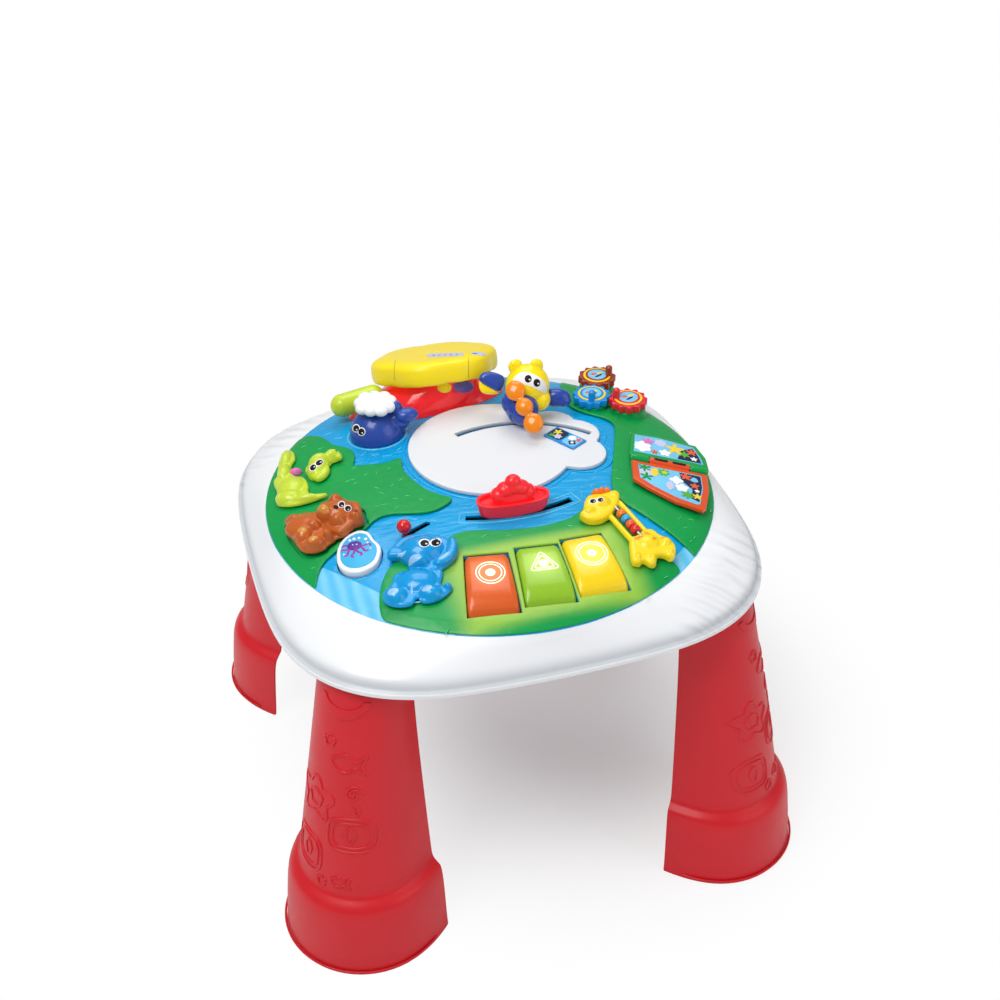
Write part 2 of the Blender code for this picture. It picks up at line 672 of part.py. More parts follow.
def dome_frame(at, heading=VIEW_HEADING):
    """A frame on the dome: +Z along its normal, +X turned by the heading."""
    radius = math.hypot(at[0], at[1])
    slope = DOME_RISE * DOME_POWER / PANEL_RADIUS * (radius / PANEL_RADIUS) ** (DOME_POWER - 1)
    normal = Vector((slope * at[0] / radius, slope * at[1] / radius, 1)).normalized()
    turn = math.radians(heading)
    along = Vector((math.cos(turn), math.sin(turn), 0))
    along = (along - normal * along.dot(normal)).normalized()
    across = normal.cross(along)
    frame = Matrix((along, across, normal)).transposed().to_4x4()
    frame.translation = Vector((at[0], at[1], dome_height(*at)))
    return frame


def turned_profile(name, profile, colour=None):
    """Spin a profile of (radius, height) pairs, which may start and end on the axis."""
    mesh = bpy.data.meshes.new(name)
    points = [(radius, 0, height) for radius, height in profile]
    mesh.from_pydata(points, [(i, i + 1) for i in range(len(points) - 1)], [])
    item = bpy.data.objects.new(name, mesh)
    CUTTERS.objects.link(item)
    screw = item.modifiers.new("turn", "SCREW")
    screw.steps = ROUND_TABLE_STEPS
    screw.render_steps = ROUND_TABLE_STEPS
    screw.use_merge_vertices = True
    screw.merge_threshold = MERGE_DISTANCE
    settle(item)
    bm = bmesh.new()
    bm.from_mesh(item.data)
    bpy.data.objects.remove(item)
    return mesh_object(name, bm, colour)


def dome_slab(name, low, high, colour=None, flat_top=None, edge=LAND_EDGE_HEIGHT, inset=FIT_GAP):
    """A layer that follows the dome, between two heights above it."""
    rim = PANEL_RADIUS - FIT_GAP - inset
    radii = [share * PANEL_RADIUS for share in DOME_RING_SHARES] + [rim]
    tops = []
    for radius in radii:
        proud = edge if radius == rim else high
        top = flat_top if flat_top else dome_height(radius, 0) + proud
        tops.append((radius, top))
    bottoms = [(radius, dome_height(radius, 0) + low) for radius in reversed(radii)]
    return turned_profile(name, tops + bottoms + [tops[0]], colour)


# White frame

def squircle_radius(half, angle):
    c, s = abs(math.cos(angle)), abs(math.sin(angle))
    return half / (c ** CORNER_POWER + s ** CORNER_POWER) ** (1 / CORNER_POWER)


def signed_power(value):
    return math.copysign(abs(value) ** (2 / CORNER_POWER), value)


def frame_ring(half, blend, height, circle=PANEL_RADIUS):
    """A ring between the rounded square, with its points crowded at the corners, and
    the round seat of the play panel, with its points spread evenly."""
    points = []
    for i in range(ROUND_TABLE_STEPS):
        even = math.tau * i / ROUND_TABLE_STEPS
        crowded = math.atan2(signed_power(math.sin(even)), signed_power(math.cos(even)))
        angle = even + (1 - blend) * math.remainder(crowded - even, math.tau)
        radius = (1 - blend) * squircle_radius(half, angle) + blend * circle
        points.append((radius * math.cos(angle), radius * math.sin(angle), height))
    return points


def make_table_frame():
    height = PANEL_EDGE_HEIGHT - LIP_HEIGHT
    rings = [frame_ring(half * TABLE_HALF_WIDTH, blend, LIP_HEIGHT + rise * height)
             for half, blend, rise in FRAME_SKIN_SHARES]
    ledge = PANEL_EDGE_HEIGHT - LEDGE_DEPTH
    rings.append(frame_ring(TABLE_HALF_WIDTH, 1, ledge))
    rings.append(frame_ring(TABLE_HALF_WIDTH, 1, ledge, LEDGE_RADIUS))
    rings.append(frame_ring(TABLE_HALF_WIDTH, 1, ledge - FRAME_WALL, LEDGE_RADIUS))
    rings.append(frame_ring(TABLE_HALF_WIDTH, 1, ledge - FRAME_WALL))
    for row in INNER_SKIN_ROWS:
        half, blend, rise = FRAME_SKIN_SHARES[row]
        drop = 0 if rise == 0 else FRAME_WALL
        rings.append(frame_ring(half * TABLE_HALF_WIDTH - FRAME_WALL, blend,
                                LIP_HEIGHT + rise * height - drop))
    return loft("table_frame", rings, "frame_white", closed=True)


# Legs

def leg_section(shares, turn):
    """One U-shaped section of a leg, open towards the middle of the table."""
    height, centre, radius, flank = shares
    centre, radius, flank = centre * FOOT_CENTRE_RADIUS, radius * FOOT_RADIUS, flank * FOOT_RADIUS
    points = []
    for wall, order in ((0, 1), (LEG_WALL, -1)):
        reach = radius - wall
        side = [(centre - flank, -reach)]
        for i in range(LEG_ARC_STEPS + 1):
            angle = math.pi * (i / LEG_ARC_STEPS - 0.5)
            side.append((centre + reach * math.cos(angle), reach * math.sin(angle)))
        side.append((centre - flank, reach))
        points += side[::order]
    return [turn @ Vector((x, y, height * LEG_HEIGHT)) for x, y in points]


def make_leg(name, heading):
    turn = Matrix.Rotation(math.radians(heading), 3, "Z")
    return loft(name, [leg_section(row, turn) for row in LEG_SECTION_SHARES], "leg_red")


# Under-cover, batteries, board and speaker

def leg_top_centre():
    return LEG_SECTION_SHARES[-1][1] * FOOT_CENTRE_RADIUS


def make_lower_tray():
    top = TRAY_HEIGHT + TRAY_WALL
    rim = [frame_ring(TRAY_HALF_WIDTH, 0, z) for z in (TRAY_HEIGHT, top)]
    tray = loft("lower_tray", rim, "frame_white")
    bore = LEG_SECTION_SHARES[-1][2] * FOOT_RADIUS - LEG_WALL
    inner = bore * math.cos(math.pi / LEG_ARC_STEPS / 2) - FIT_GAP
    for heading in (45, 135, 225, 315):
        turn = Matrix.Rotation(math.radians(heading), 3, "Z")
        centre = turn @ Vector((leg_top_centre(), 0, 0))
        low = centre + Vector((0, 0, TRAY_HEIGHT - TENON_DEPTH))
        join(tray, cylinder("tenon", inner, low, centre + Vector((0, 0, top - MERGE_DISTANCE)),
                            steps=SMALL_ROUND_STEPS))
        cut(tray, cylinder("tenon_bore", inner - TENON_WALL, low - Vector((0, 0, CUT_OVERRUN)),
                           centre + Vector((0, 0, TRAY_HEIGHT + MERGE_DISTANCE)),
                           steps=SMALL_ROUND_STEPS))
    ledge_under = PANEL_EDGE_HEIGHT - LEDGE_DEPTH - FRAME_WALL
    ring = (LEDGE_RADIUS + PANEL_RADIUS) / 2
    for i in range(POST_COUNT):
        angle = math.tau * i / POST_COUNT
        at = Vector((ring * math.cos(angle), ring * math.sin(angle), TRAY_HEIGHT + TRAY_WALL / 2))
        join(tray, cylinder("post", POST_RADIUS, at, (at.x, at.y, ledge_under - FIT_GAP), steps=POST_STEPS))
    for shares in BOARD_POST_SHARES:
        at = place(shares)
        join(tray, cylinder("board_post", POST_RADIUS, (at.x, at.y, TRAY_HEIGHT + TRAY_WALL / 2),
                            (at.x, at.y, BOARD_BOTTOM - FIT_GAP), steps=POST_STEPS))
    settle(tray)
    low, high = battery_space()
    grow = Vector((BOX_WALL, BOX_WALL, 0))
    lid = Vector((0, 0, BOX_WALL))
    join(tray, box("battery_box", low - grow - Vector((0, 0, TRAY_WALL / 2)), high + grow + lid))
    drop = Vector((0, 0, CUT_OVERRUN + TRAY_WALL))
    cut(tray, box("battery_room", low - drop, high))
    centre = place(SPEAKER_CENTRE_SHARE)
    for i in range(GRILLE_HOLES):
        angle = math.tau * i / GRILLE_HOLES
        at = centre + GRILLE_RING_RADIUS * Vector((math.cos(angle), math.sin(angle)))
        cut(tray, cylinder("grille", GRILLE_HOLE_RADIUS, (at.x, at.y, TRAY_HEIGHT - CUT_OVERRUN),
                           (at.x, at.y, top + CUT_OVERRUN), steps=POST_STEPS))
    knob_low, knob_high = switch_knob()
    gap = Vector((SWITCH_SLOT_GAP, SWITCH_SLOT_GAP, CUT_OVERRUN))
    cut(tray, box("switch_slot", knob_low - gap, knob_high + gap + Vector((0, SWITCH_TRAVEL, 0))))
    return settle(tray)


def cell_pitch():
    return 2 * CELL_RADIUS + CELL_SPACING


def battery_space():
    """Corners of the room that holds the cells, above the door."""
    centre = place(BOX_CENTRE_SHARE)
    half_x = CELL_LENGTH / 2 + BOX_MARGIN
    half_y = CELL_COUNT * cell_pitch() / 2 + BOX_MARGIN
    floor = TRAY_HEIGHT + TRAY_WALL
    low = Vector((centre.x - half_x, centre.y - half_y, floor))
    return low, Vector((centre.x + half_x, centre.y + half_y, floor + 2 * CELL_RADIUS + BOX_HEADROOM))


def make_batteries():
    low, high = battery_space()
    gap = Vector((DOOR_CLEARANCE, DOOR_CLEARANCE, 0))
    box("battery_door", low + gap - Vector((0, 0, TRAY_WALL)),
        Vector((high.x, high.y, low.z)) - gap, "frame_white")
    height = low.z + FIT_GAP + CELL_RADIUS
    centre = (low + high) / 2
    for i in range(CELL_COUNT):
        y = centre.y + (i - (CELL_COUNT - 1) / 2) * cell_pitch()
        cylinder(f"battery_cell_{i + 1}", CELL_RADIUS, (centre.x - CELL_LENGTH / 2, y, height),
                 (centre.x + CELL_LENGTH / 2, y, height), "cell_steel", steps=SMALL_ROUND_STEPS)


def make_electronics():
    outline = [place(shares) for shares in BOARD_SHARES]
    prism("circuit_board", outline, BOARD_BOTTOM, BOARD_BOTTOM + BOARD_THICKNESS, "board_green")
    at = place(SPEAKER_CENTRE_SHARE)
    floor = TRAY_HEIGHT + TRAY_WALL + FIT_GAP
    radius = SPEAKER_RADIUS_SHARE * PLAY_SPAN
    cylinder("speaker", radius, (at.x, at.y, floor), (at.x, at.y, floor + SPEAKER_HEIGHT),
             "speaker_black", end_radius=radius / 2)


def switch_knob():
    at = place(SWITCH_PLACE_SHARE)
    half = Vector(SWITCH_KNOB) / 2
    low = Vector((at.x - half.x, at.y - half.y, TRAY_HEIGHT - half.z))
    return low, Vector((at.x + half.x, at.y + half.y, TRAY_HEIGHT + TRAY_WALL + FIT_GAP))


def make_power_switch():
    low, high = switch_knob()
    flange = Vector(SWITCH_FLANGE) / 2
    middle = (low + high) / 2
    knob = box("power_switch", low, high + Vector((0, 0, SWITCH_FLANGE[2] / 2)), "switch_black")
    join(knob, box("switch_flange", (middle.x - flange.x, middle.y - flange.y, high.z),
                   (middle.x + flange.x, middle.y + flange.y, high.z + SWITCH_FLANGE[2])))
    return settle(knob)


# Play panel and its raised layers

def arc_slot(name, pivot, radius, angles, low, high, half_width=SLOT_HALF_WIDTH):
    """A cutter for a curved slot with round ends."""
    start, end = (math.radians(angle) for angle in angles)
    points = []
    for side, first, last in ((1, start, end), (-1, end, start)):
        for i in range(SLOT_STEPS + 1):
            angle = first + (last - first) * i / SLOT_STEPS
            reach = radius + side * half_width
            points.append(pivot + reach * Vector((math.cos(angle), math.sin(angle))))
        tip = pivot + radius * Vector((math.cos(last), math.sin(last)))
        away = Vector((-math.sin(last), math.cos(last))) * (1 if last > first else -1)
        points.append(tip + away * half_width)
    return prism(name, points, low, high)


def boat_slot_angles():
    return -90 - BOAT_SLOT_HALF_ANGLE, -90 + BOAT_SLOT_HALF_ANGLE


def lever_ends():
    start, end = place(LEVER_START_SHARE), place(LEVER_END_SHARE)
    return (Vector((start.x, start.y, dome_height(*start))),
            Vector((end.x, end.y, dome_height(*end))))


def straight_slot(name, start, end, half_width, low, high):
    along = (end - start).normalized()
    side = Vector((-along.y, along.x)) * half_width
    tip = along * half_width
    points = [start + side, start - tip, start - side, end - side, end + tip, end + side]
    return prism(name, points, low, high)


def key_frame(x, y, heading):
    """A level frame at a key's middle: +Y runs to the rear."""
    turn = Matrix.Rotation(math.radians(heading), 4, "Z")
    return Matrix.Translation((x, y, 0)) @ turn


def key_outline(gap=0):
    half = KEY_LENGTH / 2 + gap
    rear, front = KEY_REAR_WIDTH / 2 + gap, KEY_FRONT_WIDTH / 2 + gap
    return [Vector(p) for p in ((-rear, half), (-front, -half), (front, -half), (rear, half))]


def key_windows():
    """Cutters for the openings that the keys stand in."""
    tools = []
    for name, x, y, heading in KEY_TABLE_SHARES:
        frame = key_frame(x * PLAY_SPAN, y * PLAY_SPAN, heading)
        tools.append(prism(name + "_window", key_outline(KEY_WINDOW_GAP), LIP_HEIGHT,
                           PANEL_EDGE_HEIGHT + DOME_RISE + CUT_OVERRUN, None, frame))
    return tools


def pins_through_land(name):
    """Cutters for the bear's stem and the crocodile's jaw pin."""
    bear = dome_frame(place(BEAR_PLACE_SHARE))
    stem = cylinder(name + "_stem", BUTTON_STEM_RADIUS + FIT_GAP,
                    bear @ Vector((0, 0, -PANEL_WALL - CUT_OVERRUN)),
                    bear @ Vector((0, 0, LAND_HEIGHT + CUT_OVERRUN)))
    croc = dome_frame(place(CROC_PLACE_SHARE))
    at = place(CROC_JAW_PIN_SHARE, FIGURE_SPAN)
    pin = cylinder(name + "_pin", JAW_PIN_RADIUS + FIT_GAP,
                   croc @ Vector((at.x, at.y, -PANEL_WALL - CUT_OVERRUN)),
                   croc @ Vector((at.x, at.y, LAND_HEIGHT + CUT_OVERRUN)))
    return stem, pin


def make_river_panel():
    rim = PANEL_RADIUS - FIT_GAP
    seat = PANEL_EDGE_HEIGHT - LEDGE_DEPTH + FIT_GAP
    inner = PANEL_RADIUS - PANEL_RADIUS * (1 - DOME_RING_SHARES[-1]) - SEAT_RIM_WIDTH
    radii = [share * PANEL_RADIUS for share in DOME_RING_SHARES]
    profile = [(radius, dome_height(radius, 0)) for radius in radii + [rim]]
    profile += [(rim, seat), (inner, seat)]
    profile += [(radius, dome_height(radius, 0) - PANEL_WALL)
                for radius in reversed(radii) if radius < inner]
    profile.append(profile[0])
    panel = turned_profile("river_panel", profile, "river_blue")
    low, high = LIP_HEIGHT, PANEL_EDGE_HEIGHT + DOME_RISE + CUT_OVERRUN
    cut(panel, *key_windows())
    cut(panel, arc_slot("boat_slot", place(BOAT_PIVOT_SHARE), BOAT_ARC_RADIUS,
                        boat_slot_angles(), low, high))
    cut(panel, arc_slot("plane_slot", place(PLANE_PIVOT_SHARE), PLANE_ARC_RADIUS,
                        PLANE_SLOT_ANGLES, low, high))
    start, end = lever_ends()
    cut(panel, straight_slot("lever_slot", start.xy, end.xy,
                             LEVER_STALK_RADIUS + LEVER_SLOT_GAP, low, high))
    badge = dome_frame(place(BADGE_PLACE_SHARE))
    cut(panel, prism("badge_hole", grown(badge_outline(), RUN_GAP), -PANEL_WALL - CUT_OVERRUN,
                     CUT_OVERRUN, None, badge))
    cut(panel, *pins_through_land("river"))
    return settle(panel)


def land(name, shares, colour="land_green"):
    """A raised layer of land: the dome's skin, cut to its outline."""
    slab = dome_slab(name, FIT_GAP, LAND_HEIGHT, colour)
    outline = smooth_outline([place(pair) for pair in shares])
    boolean(slab, prism(name + "_outline", outline, LIP_HEIGHT,
                        PANEL_EDGE_HEIGHT + DOME_RISE + CUT_OVERRUN), "INTERSECT")
    return settle(slab)


def make_lands():
    left = land("meadow_left", LAND_LEFT_SHARES)
    bear = dome_frame(place(BEAR_PLACE_SHARE))
    cut(left, prism("bear_well", grown(bear_outline(), RUN_GAP), -LAND_HEIGHT / 2,
                    LAND_HEIGHT + CUT_OVERRUN, None, bear))
    cut(left, pins_through_land("left")[1])
    settle(left)
    front = land("meadow_front", LAND_FRONT_SHARES)
    settle(cut(front, *key_windows()))
    right = land("meadow_right", LAND_RIGHT_SHARES)
    sides = [cylinder("hill_side", HILL_RADIUS, (x, y, LIP_HEIGHT), (x, y, HILL_TOP + CUT_OVERRUN),
                      steps=HILL_STEPS, end_radius=HILL_RADIUS * HILL_TAPER_SHARE)
             for x, y in gear_centres()]
    settle(join(*sides))
    hill = dome_slab("hill", LAND_EDGE_HEIGHT / 2, LAND_HEIGHT, None, HILL_TOP, 0, HILL_INSET)
    settle(boolean(hill, sides[0], "INTERSECT"))
    posts = [cylinder("gear_post", GEAR_POST_RADIUS, (x, y, HILL_TOP - LAND_HEIGHT),
                      (x, y, gear_post_top()), steps=PIN_STEPS) for x, y in gear_centres()]
    join(right, hill, *posts)
    return settle(right)


def make_pond():
    """The white pond with its cloud, one raised layer with the aeroplane's slot."""
    pond = dome_slab("pond_plate", FIT_GAP, POND_HEIGHT, "cloud_white", edge=POND_HEIGHT)
    centre = place(POND_CENTRE_SHARE)
    low, high = LIP_HEIGHT, PANEL_EDGE_HEIGHT + DOME_RISE + POND_HEIGHT + CUT_OVERRUN
    edge = cylinder("pond_edge", POND_RADIUS_SHARE * PLAY_SPAN, (centre.x, centre.y, low),
                    (centre.x, centre.y, high), steps=POND_STEPS)
    for x, y, radius in CLOUD_LOBE_SHARES:
        at = place((x, y))
        join(edge, cylinder("lobe", radius * PLAY_SPAN, (at.x, at.y, low), (at.x, at.y, high)))
    settle(edge)
    boolean(pond, edge, "INTERSECT")
    settle(pond)
    cut(pond, arc_slot("pond_slot", place(PLANE_PIVOT_SHARE), PLANE_ARC_RADIUS,
                       PLANE_SLOT_ANGLES, low, high))
    settle(pond)
    at = place(WINDOW_CENTRE_SHARE)
    frame = dome_frame(at, WINDOW_HEADING)
    half = place(WINDOW_SHARES) / 2
    seat = POND_HEIGHT + FIT_GAP
    box("cloud_window", (-half.x, -half.y, seat), (half.x, half.y, seat + WINDOW_HEIGHT),
        "strip_blue", frame)


# Keys

def key_section(frame, share, proud):
    y = (0.5 - share) * KEY_LENGTH
    half = KEY_REAR_WIDTH / 2 + (KEY_FRONT_WIDTH - KEY_REAR_WIDTH) / 2 * share
    at = frame @ Vector((0, y, 0))
    top = dome_height(at.x, at.y) + proud * KEY_PROUD
    edge = KEY_EDGE
    soft = edge * KEY_EDGE_SHARE
    side = ((-half, KEY_BOTTOM), (-half, top - edge), (-half + soft, top - soft),
            (-half + edge, top))
    points = list(side) + [(-x, z) for x, z in reversed(side)]
    return [frame @ Vector((x, y, z)) for x, z in points]


def key_hinge(frame, width):
    """Ends of a key's barrel, half a width and a reach from its middle line."""
    y = KEY_LENGTH / 2 - KEY_BARREL_INSET
    reach = width / 2 + KEY_BARREL_REACH
    return (frame @ Vector((-reach, y, KEY_BARREL_HEIGHT)),
            frame @ Vector((reach, y, KEY_BARREL_HEIGHT)))


def make_keys():
    for name, x, y, heading in KEY_TABLE_SHARES:
        frame = key_frame(x * PLAY_SPAN, y * PLAY_SPAN, heading)
        key = loft(name, [key_section(frame, *row) for row in KEY_TOP_SHARES], name)
        left, right = key_hinge(frame, KEY_REAR_WIDTH)
        join(key, cylinder("barrel", KEY_BARREL_RADIUS, left, right, steps=PIN_STEPS))
        settle(key)
    make_key_carrier()
    make_key_pad()


def make_key_carrier():
    """A bar on the board with a saddle under each end of each key's barrel."""
    base = BOARD_BOTTOM + BOARD_THICKNESS + FIT_GAP
    bar_top = base + CARRIER_PLATE_HEIGHT
    ends = []
    for name, x, y, heading in KEY_TABLE_SHARES:
        ends += [(name, point, heading) for point in
                 key_hinge(key_frame(x * PLAY_SPAN, y * PLAY_SPAN, heading), KEY_REAR_WIDTH)]
    half = CARRIER_WIDTH / 2
    middle = sum(point.y for _, point, _ in ends) / len(ends)
    bar = box("key_carrier", (ends[0][1].x - half, middle - half, base),
              (ends[-1][1].x + half, middle + half, bar_top), "rubber_grey")
    for i, (name, point, heading) in enumerate(ends):
        side = 1 if i % 2 else -1
        turn = Matrix.Translation(point) @ Matrix.Rotation(math.radians(heading), 4, "Z")
        near = -side * (KEY_BARREL_REACH - RUN_GAP)
        far = near + side * SADDLE_THICKNESS
        deep = CARRIER_WIDTH / 3
        low = bar_top - point.z - CARRIER_PLATE_HEIGHT / 2
        join(bar, box("saddle", (min(near, far), -deep, low), (max(near, far), deep, SADDLE_RISE),
                      None, turn))
    settle(bar)
    for name, x, y, heading in KEY_TABLE_SHARES:
        frame = key_frame(x * PLAY_SPAN, y * PLAY_SPAN, heading)
        left, right = key_hinge(frame, KEY_REAR_WIDTH + RUN_GAP + RUN_GAP)
        cut(bar, cylinder("groove", KEY_BARREL_RADIUS + FIT_GAP, left, right, steps=PIN_STEPS))
    return settle(bar)


def make_key_pad():
    """Rubber contact strip on the board, with one dome under each key."""
    base = BOARD_BOTTOM + BOARD_THICKNESS + FIT_GAP
    points = [key_frame(x * PLAY_SPAN, y * PLAY_SPAN, heading) @ Vector((0, 0, 0))
              for _, x, y, heading in KEY_TABLE_SHARES]
    half = PAD_DOME_RADIUS + PAD_HEIGHT
    middle = sum(point.y for point in points) / len(points)
    pad = box("key_rubber_pad", (points[0].x - half, middle - half, base),
              (points[-1].x + half, middle + half, base + PAD_HEIGHT), "rubber_grey")
    for point in points:
        join(pad, cylinder("dome", PAD_DOME_RADIUS, (point.x, point.y, base + PAD_HEIGHT / 2),
                           (point.x, point.y, base + PAD_DOME_HEIGHT),
                           end_radius=PAD_DOME_RADIUS * PAD_DOME_SHARE, steps=PIN_STEPS))
    return settle(pad)


# Figures made of rounded blobs on a flat seat

def blob(name, frame, shares, seat, gap=0):
    u, v, long, wide, high = (share * FIGURE_SPAN for share in shares)
    at = frame @ Matrix.Translation((u, v, seat))
    size = (long + gap, wide + gap, high + gap)
    return ellipsoid(name, at, size)


def figure(name, frame, rows, seat, colour, extra=()):
    """Join blobs and cut the lower half away, so that the figure stands on its seat."""
    first, *rest = [blob(name + "_blob", frame, shares, seat) for shares in rows]
    body = join(first, *rest, *extra)
    reach = FIGURE_SPAN
    cut(body, box("seat_cut", (-reach, -reach, seat - reach), (reach, reach, seat), None, frame))
    settle(body)
    bm = bmesh.new()
    bm.from_mesh(body.data)
    bpy.data.objects.remove(body)
    return mesh_object(name, bm, colour)


def make_elephant():
    frame = dome_frame(place(ELEPHANT_PLACE_SHARE))
    figure("elephant_figure", frame, ELEPHANT_BLOB_SHARES, LAND_HEIGHT + FIGURE_SEAT_GAP,
           "elephant_blue")
    start, end = lever_ends()
    up = (dome_frame(start.xy).to_3x3() @ Vector((0, 0, 1))).normalized()
    ball = ellipsoid("elephant_lever", Matrix.Translation(start + up * LEVER_BALL_HEIGHT),
                     (LEVER_BALL_RADIUS,) * 3, "lever_red")
    under = -PANEL_WALL - LEVER_DISC_GAP
    join(ball, cylinder("stalk", LEVER_STALK_RADIUS,
                        start + up * (under - SLIDER_DISC_THICKNESS / 2),
                        start + up * LEVER_BALL_HEIGHT, steps=PIN_STEPS))
    join(ball, cylinder("disc", SLIDER_DISC_RADIUS, start + up * (under - SLIDER_DISC_THICKNESS),
                        start + up * under, steps=SMALL_ROUND_STEPS))
    return settle(ball)


def bear_outline():
    return smooth_outline([place(pair, FIGURE_SPAN) for pair in BEAR_PLATE_SHARES], 1)


def badge_outline(steps=OUTLINE_STEPS):
    return smooth_outline([place(pair, FIGURE_SPAN) for pair in BADGE_SHARES], steps)


def button_stem(frame, low):
    """A stem from under a button to just above the switch on the board."""
    top = frame @ Vector((0, 0, low))
    axis = frame.to_3x3() @ Vector((0, 0, 1))
    lean = math.hypot(axis.x, axis.y) * BUTTON_STEM_RADIUS
    end_height = BOARD_BOTTOM + BOARD_THICKNESS + BUTTON_TRAVEL + RUN_GAP + lean
    end = top - axis * ((top.z - end_height) / axis.z)
    return cylinder("button_stem", BUTTON_STEM_RADIUS, end, top, steps=SMALL_ROUND_STEPS)


def make_buttons():
    frame = dome_frame(place(BEAR_PLACE_SHARE))
    low = BUTTON_TRAVEL + FIGURE_SEAT_GAP
    plate_top = low + BEAR_PLATE_THICKNESS
    plate = prism("bear_plate", bear_outline(), low, plate_top, None, frame)
    stem = button_stem(frame, low + BEAR_PLATE_THICKNESS / 2)
    settle(join(plate, stem))
    blobs = figure("bear_button", frame, BEAR_BLOB_SHARES, plate_top - FIT_GAP, "bear_brown")
    settle(join(blobs, plate))
    frame = dome_frame(place(BADGE_PLACE_SHARE))
    outline = badge_outline()
    badge = prism("badge_button", outline, -BADGE_SINK, BADGE_TOP, "badge_white", frame)
    field = [point * BADGE_RIM_SHARE for point in outline]
    cut(badge, prism("badge_field", field, BADGE_TOP - BADGE_FIELD_DEPTH,
                     BADGE_TOP + CUT_OVERRUN, None, frame))
    flange = [point * BADGE_FLANGE_SHARE for point in badge_outline(1)]
    flange_low = -BADGE_SINK - BADGE_FLANGE
    join(badge, prism("badge_flange", flange, flange_low, -BADGE_SINK + MERGE_DISTANCE, None, frame))
    join(badge, button_stem(frame, flange_low + BADGE_FLANGE / 2))
    settle(badge)


def make_crocodile():
    frame = dome_frame(place(CROC_PLACE_SHARE))
    seat = LAND_HEIGHT + FIGURE_SEAT_GAP
    figure("crocodile_body", frame, CROC_BODY_SHARES, seat, "croc_lime")
    jaw = figure("crocodile_jaw", frame, CROC_JAW_SHARES, seat, "croc_lime")
    at = place(CROC_JAW_PIN_SHARE, FIGURE_SPAN)
    join(jaw, cylinder("jaw_pin", JAW_PIN_RADIUS,
                       frame @ Vector((at.x, at.y, -PANEL_WALL - RUN_GAP)),
                       frame @ Vector((at.x, at.y, seat + JAW_PIN_RADIUS)), steps=SMALL_ROUND_STEPS))
    settle(jaw)
    figure("crocodile_tongue", frame, (CROC_TONGUE_SHARE,), seat, "tongue_pink")


def bead_line(frame):
    start, end = (place(pair, FIGURE_SPAN) for pair in BEAD_ROD_ENDS_SHARES)
    return (frame @ Vector((start.x, start.y, BEAD_HEIGHT)),
            frame @ Vector((end.x, end.y, BEAD_HEIGHT)))


def make_giraffe():
    frame = dome_frame(place(GIRAFFE_PLACE_SHARE))
    seat = LAND_HEIGHT + FIGURE_SEAT_GAP
    necks = []
    for start, end in GIRAFFE_NECK_SHARES:
        a, b = place(start, FIGURE_SPAN), place(end, FIGURE_SPAN)
        along = (b - a).normalized()
        side = Vector((-along.y, along.x)) * NECK_WIDTH_SHARE * FIGURE_SPAN / 2
        necks.append(prism("neck", [a + side, a - side, b - side, b + side],
                           seat - CUT_OVERRUN / 2, NECK_HEIGHT_SHARE * FIGURE_SPAN, None, frame))
    body = figure("giraffe_figure", frame, GIRAFFE_BLOB_SHARES, seat, "giraffe_yellow", necks)
    start, end = bead_line(frame)
    cut(body, cylinder("rod_bore", BEAD_ROD_RADIUS + FIT_GAP, start, end, steps=PIN_STEPS))
    first, last = (start.lerp(end, share) for share in BEAD_ROOM_SHARES)
    cut(body, cylinder("bead_room", BEAD_RADIUS + RUN_GAP, first, last, steps=SMALL_ROUND_STEPS))
    tools = [blob("horn_room", frame, shares, seat, FIT_GAP) for shares in GIRAFFE_HORN_SHARES]
    settle(cut(body, *tools))
    figure("giraffe_horns", frame, GIRAFFE_HORN_SHARES, seat, "horn_orange")
    along = (end - start).normalized()
    cylinder("bead_rod", BEAD_ROD_RADIUS, start + along * FIT_GAP, end - along * FIT_GAP, "steel",
             steps=PIN_STEPS)
    spread = [start.lerp(end, share) for share in BEAD_SPREAD_SHARES]
    for i, (name, colour) in enumerate(BEAD_COLOURS):
        make_bead(name, colour, spread[0].lerp(spread[1], i / (len(BEAD_COLOURS) - 1)), along)


def make_bead(name, colour, centre, along):
    """A round bead with flat ends, bored for the rod."""
    frame = Matrix.Translation(centre) @ along.to_track_quat("Z", "Y").to_matrix().to_4x4()
    bead = ellipsoid(name, frame, (BEAD_RADIUS, BEAD_RADIUS, BEAD_LENGTH * BEAD_ROUND_SHARE), colour)
    wide = BEAD_RADIUS + CUT_OVERRUN
    half = BEAD_LENGTH / 2
    for low, high in ((-wide, -half), (half, wide)):
        cut(bead, box("bead_end", (-wide, -wide, low), (wide, wide, high), None, frame))
    reach = along * wide
    cut(bead, cylinder("bead_bore", BEAD_ROD_RADIUS + FIT_GAP, centre - reach, centre + reach,
                       steps=PIN_STEPS))
    settle(bead)


# Boat

def on_arc(pivot, radius, angle):
    turn = math.radians(angle)
    return pivot + radius * Vector((math.cos(turn), math.sin(turn)))


def slider(name, at, pivot, radius, angles, top, colour):
    """A post through a curved slot, with a disc below the panel's lowest place on the way."""
    way = [on_arc(pivot, radius + side * SLIDER_DISC_RADIUS, angle)
           for angle in angles for side in (-1, 1)]
    disc_top = min(dome_height(*point) for point in way) - PANEL_WALL - RUN_GAP
    post = cylinder(name, SLIDER_POST_RADIUS, (at.x, at.y, disc_top - SLIDER_DISC_THICKNESS / 2),
                    (at.x, at.y, top), colour, steps=SMALL_ROUND_STEPS)
    join(post, cylinder("slider_disc", SLIDER_DISC_RADIUS,
                        (at.x, at.y, disc_top - SLIDER_DISC_THICKNESS), (at.x, at.y, disc_top),
                        steps=SMALL_ROUND_STEPS))
    return settle(post)


